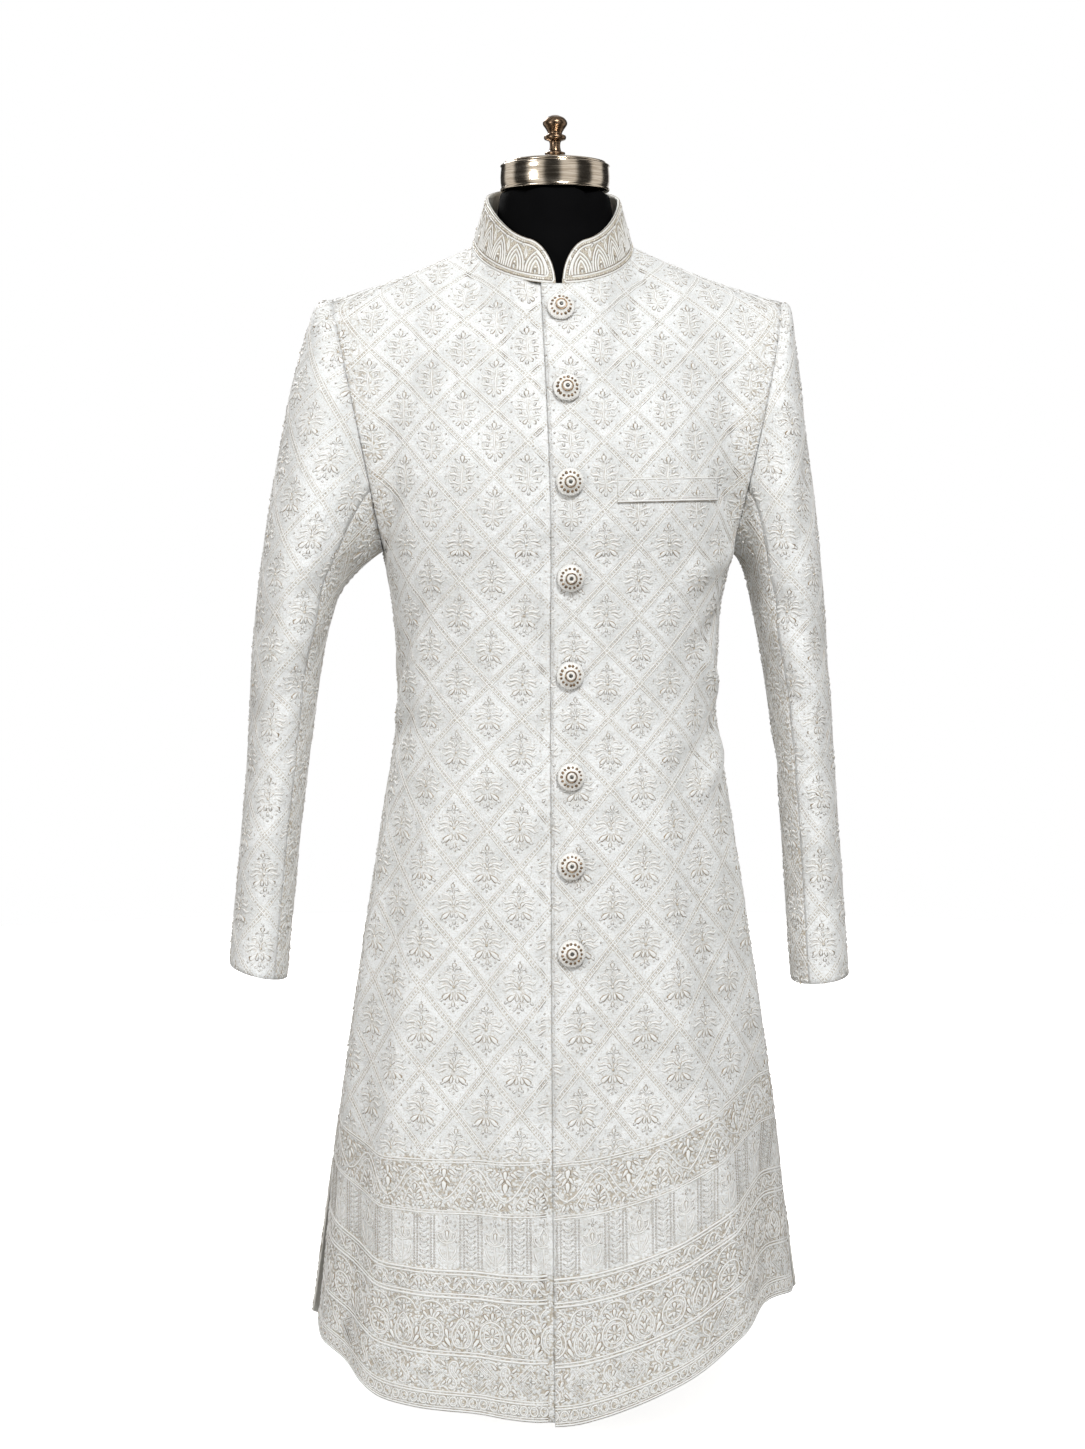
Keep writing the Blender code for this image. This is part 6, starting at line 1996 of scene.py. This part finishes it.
def arch_path(half_width, low, high, steps=10):
    """A rounded arch with a slight point, whose sides start upright."""
    side = [(half_width * (1.0 - (step / steps) ** ARCH_ROUNDNESS), mix(low, high, step / steps))
            for step in range(steps)]
    return side + [(0.0, high)] + [(-x, y) for x, y in reversed(side)]


COLLAR_ARCH = [("line", False, (1.04, arch_path(half_width, -10.6, high)))
               for half_width, high in ((10.6, 10.0), (7.5, 6.0), (4.4, 1.8))] + motif(
    "bead 0 -5 3.2", "petal 0 -9 90 3.6 2.6", "leaf* 1 11.8,10.8 11.2,8.2 10.8,6 11,4 11.8,1.6",
    "petal* 8.4 10.4 140 5.2 2", "seed* 12 -2 2",
)
ROPE_RADIUS, ROPE_STEP = 0.00105, 0.0035
ROPE_INSETS = (0.0014, 0.0062)
BEAD_INSET, BEAD_STEP, BEAD_SIZE = 0.0038, 0.0026, 0.0021


def collar_outline(inset):
    """Closed path round the band, drawn in from its edge."""
    along, heights = COLLAR["along"], COLLAR["heights"]
    edge = np.stack([along, heights], axis=1)
    edge = np.concatenate([[[0.0, 0.0]], edge, [[COLLAR_LENGTH, 0.0]]])
    run = np.gradient(edge, axis=0)
    run /= np.maximum(np.linalg.norm(run, axis=1, keepdims=True), 1e-9)
    top = edge + np.stack([run[:, 1], -run[:, 0]], axis=1) * inset
    top = [spot for spot in top if spot[1] > inset and inset < spot[0] < COLLAR_LENGTH - inset]
    bottom = [np.array([x, inset]) for x in np.linspace(COLLAR_LENGTH - inset * 1.6, inset * 1.6, 120)]
    return top + bottom + [top[0]]


def evenly(spots, step):
    """Places at even distances along a path."""
    spots = np.array(spots)
    along = walked(step_lengths(spots))
    at = np.arange(0.0, along[-1], step)
    return np.stack([np.interp(at, along, spots[:, axis]) for axis in (0, 1)], axis=1)


for inset in ROPE_INSETS:
    lay_path("collar", evenly(collar_outline(inset), ROPE_STEP), ROPE_RADIUS)
for spot in evenly(collar_outline(BEAD_INSET), BEAD_STEP):
    lay_knot("collar", "bead", spot, BEAD_SIZE)
arches = int((COLLAR_LENGTH / 2.0 - COLLAR_FIRST_ARCH) / COLLAR_ARCH_PITCH) + 1
for index in range(arches):
    along = COLLAR_FIRST_ARCH + index * COLLAR_ARCH_PITCH
    for across in (along, COLLAR_LENGTH - along):
        band = float(np.interp(across, COLLAR["along"], COLLAR["heights"]))
        size = (band - COLLAR_EDGES) / COLLAR_ARCH_HEIGHT
        lay_motif("collar", COLLAR_ARCH, (across, band / 2.0), (1.0, size), COLLAR_WOBBLE)
print("collar cords", len(PATHS["collar"]), "beads", len(LAID["collar"]["bead"]))

# %% [markdown]
# The left front ends in a folded edge with a row of fine stitches beside it, and the welt has
# thin pipings along its two long edges. The stitches are narrow petals and the pipings are
# cords, so the same thread serves both.
# %% Edge stitching
EDGE_INSET, EDGE_END = 0.0022, 0.002
PLACKET_STEP, PLACKET_STITCH, PLACKET_WIDTH = 0.004, 0.62, 0.0009
edge_flat = PANELS["front_left"]["flat"][:, 0]
for height in np.arange(edge_flat[0, 1] + EDGE_END, edge_flat[-1, 1] - EDGE_END, PLACKET_STEP):
    across = float(np.interp(height, edge_flat[:, 1], edge_flat[:, 0])) + EDGE_INSET
    lay_petal("front_left", (across, height), (across, height + PLACKET_STEP * PLACKET_STITCH), PLACKET_WIDTH)
welt_low, welt_high = WELT["flat"][0], WELT["flat"][-1]
for edge_row, shift, radius in ((welt_low, 0.0008, 0.0009), (welt_low, 0.0034, 0.0005),
                                (welt_high, -0.0012, 0.0008)):
    lay_path("pocket_welt", [spot + np.array([0.0, shift]) for spot in edge_row], radius)
print("welt cords", len(PATHS["pocket_welt"]))

# %% [markdown]
# A jewelled button has a white padded rim, a ring of dark bronze beads, a white field, a fine
# bronze ring, a white bezel and a small dark stone in the middle. The round parts are turned
# from profiles, and the beads and rim stitches are laid around them with the same node tree
# as the embroidery.
# %% Button finishes
BUTTON_CLOTH = mottled("button_cloth", (0.84, 0.83, 0.80, 1.0), 0.50, (0.72, 0.69, 0.63, 1.0),
                       (0.88, 0.87, 0.85, 1.0), 900.0, 2.0, NOISE_MIDDLE, (0.0004, 0.6))
BRONZE_BRIGHT, BRONZE_DARK = (0.42, 0.30, 0.19, 1.0), (0.13, 0.085, 0.055, 1.0)
BUTTON_BRONZE = mottled("antique_bronze_beads", BRONZE_BRIGHT, 0.34, BRONZE_DARK, BRONZE_BRIGHT, 500.0, 3.0,
                        (0.30, 0.70), (0.0001, 0.35), metallic=1.0)
STONE = mottled("dark_stone", (0.030, 0.028, 0.022, 1.0), 0.10, (0.020, 0.018, 0.014, 1.0),
                (0.090, 0.080, 0.062, 1.0), 700.0, 1.0, specular=0.6, coat=1.0)
print("button finishes", [material.name for material in (BUTTON_CLOTH, BUTTON_BRONZE, STONE)])

# %% Buttons
# One row for each button: height, x, clearance of its back over the curved front.
BUTTONS = (
    (1.0700, -0.0030, 0.0000), (0.9930, 0.0010, 0.0006), (0.9050, 0.0030, 0.0006),
    (0.8150, 0.0045, 0.0006), (0.7225, 0.0045, 0.0006), (0.6260, 0.0050, 0.0006),
    (0.5416, 0.0050, 0.0006), (0.4586, 0.0050, 0.0006),
)
BUTTON_RADIUS = 0.0131
# Turned dome: share of the radius, height above its back.
DOME_PROFILE = ((0.0, 0.0), (0.80, 0.0), (0.92, 0.0006), (0.96, 0.0018), (0.92, 0.0034), (0.82, 0.0046),
                (0.70, 0.0050), (0.60, 0.0060), (0.46, 0.0074), (0.30, 0.0084), (0.14, 0.0089), (0.0, 0.0090))
BUTTON_SIDES, RING_SIDES, STONE_SIDES = 36, 24, 10
RING_JITTER, RING_START, SIZE_JITTER = 0.06, 0.1, 0.10
RIM_FROM, RIM_TILT, INNER_TILT = 0.8, 0.75, 0.35
STONE_HEIGHT = 0.0086
# Rings on the dome: kind, how many, share of the radius, height, slant in degrees, length,
# width and height of one stitch in millimetres.
BUTTON_RINGS = (
    ("petal", 34, 0.90, 0.0028, 62, 4.6, 2.2, 1.4), ("bead", 15, 0.69, 0.0048, 0, 3.1, 2.7, 1.4),
)
RING_PROFILE = ((0.0056, -0.0014), (0.0058, 0.0002), (0.0052, 0.0007), (0.0046, 0.0002), (0.0046, -0.0014))
BEZEL_PROFILE = ((0.0040, -0.0006), (0.0042, 0.0004), (0.0034, 0.0010), (0.0024, 0.0010), (0.0020, 0.0004),
                 (0.0020, -0.0006))
STONE_PROFILE = ((0.0019, -0.0004), (0.0019, 0.0005), (0.0012, 0.0010), (0.0, 0.0011))


print("buttons to make", len(BUTTONS))


# %% Turned pieces
def turned_piece(name, profile, sides, material, frame_of):
    """Solid turned from (radius, height) rows around a frame: centre, two sides, up."""
    centre, first, second, up = frame_of
    points, faces, rings = [], [], []
    for radius, height in profile:
        if radius < 1e-7:
            rings.append([len(points)] * sides)
            points.append(centre + up * height)
            continue
        rings.append(list(range(len(points), len(points) + sides)))
        for step in range(sides):
            angle = TURN * step / sides
            away = math.cos(angle) * first + math.sin(angle) * second
            points.append(centre + up * height + radius * away)
    for low, high in zip(rings, rings[1:]):
        for step in range(sides):
            after = (step + 1) % sides
            face = []
            for corner in (low[step], low[after], high[after], high[step]):
                if corner not in face:
                    face.append(corner)
            faces.append(tuple(face))
    if len(set(rings[0])) > 1:
        faces.append(tuple(reversed(rings[0])))
    if len(set(rings[-1])) > 1:
        faces.append(tuple(rings[-1]))
    piece = add_piece(name, points, faces, (material,))
    write_floats(piece.data, "crest", np.ones(len(points)))
    write_floats(piece.data, "strand", np.zeros(len(points)))
    return piece


def join_pieces(name, pieces):
    """Join pieces into the first one, which keeps every material."""
    if len(pieces) == 1:
        pieces[0].name = pieces[0].data.name = name
        return pieces[0]
    with bpy.context.temp_override(active_object=pieces[0], object=pieces[0],
                                   selected_objects=pieces, selected_editable_objects=pieces):
        bpy.ops.object.join()
    pieces[0].name = name
    pieces[0].data.name = name
    return pieces[0]


# %% Making the buttons
def make_button(number, height, x, clearance):
    point, across, rising, out = surface_frame(x, height)
    back = point + out * clearance
    frame_of = (back, across, rising, out)
    dome = [(share * BUTTON_RADIUS, lift) for share, lift in DOME_PROFILE]
    parts = [turned_piece("dome", dome, BUTTON_SIDES, BUTTON_CLOTH, frame_of)]
    for kind, count, share, lift, slant, length, width, high in BUTTON_RINGS:
        rows = []
        for step in range(count):
            angle = TURN * (step + hand.normal(0.0, RING_JITTER)) / count + RING_START * number
            grown = MILLIMETRE * (1.0 + hand.normal(0.0, SIZE_JITTER))
            away = math.cos(angle) * across + math.sin(angle) * rising
            around = -math.sin(angle) * across + math.cos(angle) * rising
            lean = math.radians(slant)
            tilt = RIM_TILT if share > RIM_FROM else INNER_TILT
            facing = unit(out + away * tilt)
            along = away * math.cos(lean) + around * math.sin(lean) - out * tilt * math.cos(lean)
            rows.append((back + away * share * BUTTON_RADIUS + out * lift, facing, along,
                         (length * grown, width * grown, high * MILLIMETRE)))
        parts.append(run_tree(STITCH_TREE, points_mesh_of(rows), "ring", {
            "Stitch": STITCH_SHAPES[kind], "Raise": 1.0,
            "Finish": BUTTON_THREAD if kind == "petal" else BUTTON_BRONZE}))
    middle = (back + out * STONE_HEIGHT, across, rising, out)
    for title, profile, sides, material in (("fine_ring", RING_PROFILE, RING_SIDES, BUTTON_BRONZE),
                                            ("bezel", BEZEL_PROFILE, RING_SIDES, BUTTON_CLOTH),
                                            ("stone", STONE_PROFILE, STONE_SIDES, STONE)):
        parts.append(turned_piece(title, profile, sides, material, middle))
    return join_pieces("jewelled_button_%d" % number, parts)


BUTTON_PIECES = [make_button(number, *row) for number, row in enumerate(BUTTONS, start=1)]
print("buttons", len(BUTTON_PIECES), "of", len(BUTTON_PIECES[0].data.polygons), "faces")

# %% [markdown]
# The dress form is covered in matt black jersey, and its neck ends in a polished metal band
# with a low cap and a turned bronze stem. The jersey body has no sharp edges, so it is the
# solid one with a subdivision surface over it. The metal parts have crisp edges, so they are
# turned again from their profiles with more sides.
# %% Dress form finishes
def make_jersey():
    jersey = new_material("black_jersey", (0.0028, 0.0028, 0.0030, 1.0), 0.85, specular=0.02)
    place = object_coordinates(jersey)
    tone = mix_colours(jersey, noise(jersey, place, 40.0), (0.0020, 0.0020, 0.0022, 1.0),
                       (0.0038, 0.0038, 0.0041, 1.0))
    return finish(jersey, tone, add_bump(jersey, noise(jersey, place, 1600.0), 0.0002, 0.3))


TOOL_MARKS_FLAT = 22.0
METAL_RANGE = (0.35, 0.70)
SMOOTHEST, ROUGHEST = 0.7, 1.4


def brushed_metal(name, bright, dark, roughness, scale):
    """Turned metal: the tool's marks run round it, so the noise is stretched flat."""
    metal = new_material(name, bright, roughness, metallic=1.0)
    place = new_node(metal, "ShaderNodeMapping", {"Vector": object_coordinates(metal),
                                                  "Scale": (1.0, 1.0, TOOL_MARKS_FLAT)}).outputs[0]
    marks = noise(metal, place, scale, 3.0)
    rough = new_node(metal, "ShaderNodeMapRange", {"Value": marks, "To Min": roughness * SMOOTHEST,
                                                   "To Max": roughness * ROUGHEST}).outputs[0]
    connect(metal, rough, shader_of(metal).inputs["Roughness"])
    return finish(metal, mix_colours(metal, smooth_range(metal, marks, *METAL_RANGE), dark, bright),
                  add_bump(metal, marks, 0.0001, 0.25))


JERSEY = make_jersey()
NECK_METAL = brushed_metal("polished_neck_metal", (0.62, 0.54, 0.44, 1.0), (0.40, 0.33, 0.25, 1.0),
                           0.16, 40.0)
STEM_METAL = brushed_metal("turned_bronze", (0.24, 0.16, 0.10, 1.0), (0.12, 0.08, 0.05, 1.0), 0.28, 60.0)
STAND_METAL = brushed_metal("stand_steel", (0.34, 0.34, 0.35, 1.0), (0.24, 0.24, 0.25, 1.0), 0.34, 30.0)
print("form finishes", [material.name for material in (JERSEY, NECK_METAL, STEM_METAL, STAND_METAL)])

# %% Dress form pieces
NECK_CENTRE = np.array([NECK_SHIFT + 0.0015, -0.0055, 0.0])
BAND_BOTTOM, BAND_TOP, BAND_RADIUS = 1.1888, 1.2144, 0.0535
CAP_TOP, STEM_TOP = 1.2230, 1.2620
BAND_HALF = ((0.0022, 0.0), (0.0008, 0.0003), (0.0, 0.0014), (0.0006, 0.0026), (0.0010, 0.0034),
             (0.0004, 0.0080))     # in from the radius, in from an end
BAND_PROFILE = ([(BAND_RADIUS - inward, BAND_BOTTOM + end) for inward, end in BAND_HALF]
                + [(BAND_RADIUS - 0.0002, BAND_BOTTOM + 0.0128)]
                + [(BAND_RADIUS - inward, BAND_TOP - end) for inward, end in reversed(BAND_HALF)])
CAP_PROFILE = ((0.0500, BAND_TOP + SEAM_GAP), (0.0502, BAND_TOP + 0.0012), (0.0494, BAND_TOP + 0.0024),
               (0.0450, 1.2180), (0.0390, 1.2191), (0.0330, 1.2199), (0.0260, 1.2207), (0.0190, 1.2216),
               (0.0150, 1.2222), (0.0125, CAP_TOP), (0.0, CAP_TOP))
STEM_TABLE = ((CAP_TOP + SEAM_GAP, 0.0092), (1.2262, 0.0098), (1.2275, 0.0062), (1.2370, 0.0058),
              (1.2385, 0.0100), (1.2425, 0.0104), (1.2440, 0.0070), (1.2480, 0.0085),
              (1.2540, 0.0120), (1.2595, 0.0090), (STEM_TOP, 0.0035))
STEM_ROWS, NECK_SIDES, STEM_SIDES = 60, 128, 40
WORLD_FRAME = (NECK_CENTRE, np.array([1.0, 0.0, 0.0]), np.array([0.0, 1.0, 0.0]), np.array([0.0, 0.0, 1.0]))


def smooth_body(node_name, name, material, levels):
    """A subdivided copy of a solid, with its loose triangles joined to quads first."""
    mesh = frame["nodes"][node_name].data.copy()
    mesh_data = bmesh.new()
    mesh_data.from_mesh(mesh)
    bmesh.ops.remove_doubles(mesh_data, verts=mesh_data.verts, dist=1e-6)
    bmesh.ops.join_triangles(mesh_data, faces=mesh_data.faces, angle_face_threshold=0.6,
                             angle_shape_threshold=1.2)
    bmesh.ops.recalc_face_normals(mesh_data, faces=mesh_data.faces)
    mesh_data.to_mesh(mesh)
    mesh_data.free()
    mesh.materials.clear()
    mesh.materials.append(material)
    piece = new_object(name, mesh)
    modifier = piece.modifiers.new("smooth", "SUBSURF")
    modifier.levels = modifier.render_levels = levels
    piece.data = evaluated_mesh(piece)
    return piece


FORM_BODY = smooth_body("form_torso", "form_body", JERSEY, 2)
NECK_BAND = turned_piece("neck_band", BAND_PROFILE, NECK_SIDES, NECK_METAL, WORLD_FRAME)
NECK_CAP = turned_piece("neck_cap", CAP_PROFILE, NECK_SIDES, NECK_METAL, WORLD_FRAME)
stem_heights = [mix(CAP_TOP + SEAM_GAP, STEM_TOP, row / STEM_ROWS) for row in range(STEM_ROWS + 1)]
stem_profile = [(from_table(STEM_TABLE, height, 1), height) for height in stem_heights]
NECK_STEM = turned_piece("neck_stem", stem_profile, STEM_SIDES, STEM_METAL, WORLD_FRAME)
for node_name in ("form_pole", "form_base"):
    for slot in frame["nodes"][node_name].material_slots:
        slot.material = STAND_METAL
print("form body", len(FORM_BODY.data.polygons), "faces")

# %% [markdown]
# The laid places now become thread. Instances would be lighter to keep, but other programs
# need plain meshes, so the trees are carried out here. Every panel gets one piece for its
# petals, one for its knots and beads and one for its cords, so that no mesh is too heavy.
# %% Embroidery pieces
EMBROIDERY = {}
for panel_name in PANELS:
    laid, pieces = LAID[panel_name], []
    thread = PIPING if panel_name == "collar" else SILK
    for title, kinds in (("petals", ("petal", "sliver")), ("knots", ("seed", "bead"))):
        made = [run_tree(STITCH_TREE, points_mesh_of(laid[kind]), kind,
                         {"Stitch": STITCH_SHAPES[kind], "Raise": 1.0,
                          "Finish": BEADS if kind == "bead" else thread})
                for kind in kinds if laid[kind]]
        if made:
            pieces.append(join_pieces(panel_name + "_" + title, made))
    if PATHS[panel_name]:
        pieces.append(run_tree(CORD_TREE, paths_mesh_of(PATHS[panel_name]), panel_name + "_cords",
                               {"Section": SECTION, "Thickness": 1.0, "Finish": thread}))
    EMBROIDERY[panel_name] = pieces
for shape in list(STITCH_SHAPES.values()) + [SECTION]:
    bpy.data.objects.remove(shape, do_unlink=True)


def triangles_of(piece):
    return sum(len(face.vertices) - 2 for face in piece.data.polygons)


counts = {piece.name: triangles_of(piece) for made in EMBROIDERY.values() for piece in made}
print("heaviest", max(counts, key=counts.get), max(counts.values()), "embroidery", sum(counts.values()))

# %% [markdown]
# Every piece rides on the one body of this part and stands for its solid, which is hidden.
# %% What each piece stands for
for panel_name, cloth in CLOTHS.items():
    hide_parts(panel_name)
    for piece in [cloth] + EMBROIDERY[panel_name]:
        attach(piece, "root")
buttons = [(piece, "button_%d" % number, "button_cover")
           for number, piece in enumerate(BUTTON_PIECES, start=1)]
for piece, node_name, slot in buttons + [
        (FORM_BODY, "form_torso", "form_cover"), (NECK_BAND, "form_neck_band", "neck_metal"),
        (NECK_CAP, "form_neck_cap", "neck_metal"), (NECK_STEM, "form_stem", "stem_bronze")]:
    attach(piece, "root")
    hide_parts(node_name)

# %% [markdown]
# A white studio: a slightly warm world light that is weaker at the sides, a soft lamp high in
# front and a little to the right, a weak one low on the left, and one behind for the back.
# Polished metal needs something to mirror, so what it reflects is a ring of bright panels
# with dark gaps between them. The floor is a wide pale disc, and the plain Standard view
# keeps whites white.
# %% Floor, lights and view
FLOOR_RADIUS, FLOOR_HEIGHT, FLOOR_GLOW = 3.2, -0.0004, 0.84
PANELS_ROUND, PANELS_TURN, PANEL_EDGE = 5.0, 0.9, (-0.4, 0.5)     # what the metal mirrors
PANEL_GLOW, GAP_GLOW = 1.25, 0.05
AROUND_STRENGTH, SIDE_DIM, SIDE_GLOW = 0.66, 0.64, 0.10
floor_points = circle(96, FLOOR_RADIUS, FLOOR_HEIGHT)
floor = add_piece("studio_floor", floor_points, [tuple(range(len(floor_points)))], ())
floor_paint = mottled("pale_floor", (0.90, 0.90, 0.90, 1.0), 0.85, (0.89, 0.89, 0.89, 1.0),
                      (0.92, 0.92, 0.92, 1.0), 3.0, specular=0.1, glow=FLOOR_GLOW)
shader_of(floor_paint).inputs["Emission Color"].default_value = (1.0, 1.0, 1.0, 1.0)
floor.data.materials.append(floor_paint)
floor.visible_diffuse = False      # the floor is seen, but throws no light up the skirt
floor.visible_glossy = False

world = bpy.data.worlds.new("studio_world")
scene.world = world
world.use_nodes = True
sky = new_node(world, "ShaderNodeTexCoord").outputs["Generated"]
sky_x, sky_y = split(world, sky)
sideways = maths(world, "MULTIPLY", sky_x, sky_x)
turn_round = maths(world, "MULTIPLY", maths(world, "ARCTAN2", sky_y, sky_x), PANELS_ROUND)
bands = smooth_range(world, maths(world, "SINE", maths(world, "ADD", turn_round, PANELS_TURN)), *PANEL_EDGE)


def glow(colour, strength):
    return new_node(world, "ShaderNodeBackground", {"Color": colour, "Strength": strength}).outputs[0]


around_light = glow((1.0, 0.990, 0.965, 1.0),
                    maths(world, "ADD", maths(world, "MULTIPLY", sideways, -SIDE_DIM), AROUND_STRENGTH))
warm_light = glow((1.0, 0.76, 0.50, 1.0), maths(world, "MULTIPLY", sideways, SIDE_GLOW))
banded_light = glow((0.8, 0.8, 0.8, 1.0), maths(world, "ADD", maths(world, "MULTIPLY", bands, PANEL_GLOW),
                                                GAP_GLOW))
backdrop = glow((1.0, 1.0, 1.0, 1.0), 1.0)
ray = new_node(world, "ShaderNodeLightPath")
surface = new_node(world, "ShaderNodeAddShader", {0: around_light, 1: warm_light}).outputs[0]
for share, other in (("Is Glossy Ray", banded_light), ("Is Camera Ray", backdrop)):
    surface = new_node(world, "ShaderNodeMixShader", {0: ray.outputs[share], 1: surface, 2: other}).outputs[0]
connect(world, surface, world.node_tree.nodes["World Output"].inputs["Surface"])


def soft_lamp(name, place, target_height, size, power, colour=(1.0, 1.0, 1.0)):
    """A square or upright soft box that faces the middle of the coat."""
    lamp_data = bpy.data.lights.new(name, "AREA")
    lamp_data.shape = "RECTANGLE"
    lamp_data.size, lamp_data.size_y = size
    lamp_data.energy = power
    lamp_data.color = colour
    lamp = new_object(name, lamp_data)
    lamp.location = place
    target = Vector((0.0, 0.0, target_height))
    lamp.rotation_euler = (target - Vector(place)).to_track_quat("-Z", "Y").to_euler()


soft_lamp("key_softbox", (0.8, -3.2, 3.9), 0.70, (0.9, 0.9), 152.0, (0.965, 0.985, 1.0))
soft_lamp("back_softbox", (-1.5, 3.4, 3.3), 0.65, (1.2, 1.2), 120.0)
soft_lamp("low_softbox", (-2.6, -2.2, 1.1), 0.60, (0.8, 1.2), 32.0)
scene.view_settings.view_transform = "Standard"
scene.view_settings.look = "None"
print("lamps", len(bpy.data.lights), "world nodes", len(world.node_tree.nodes))
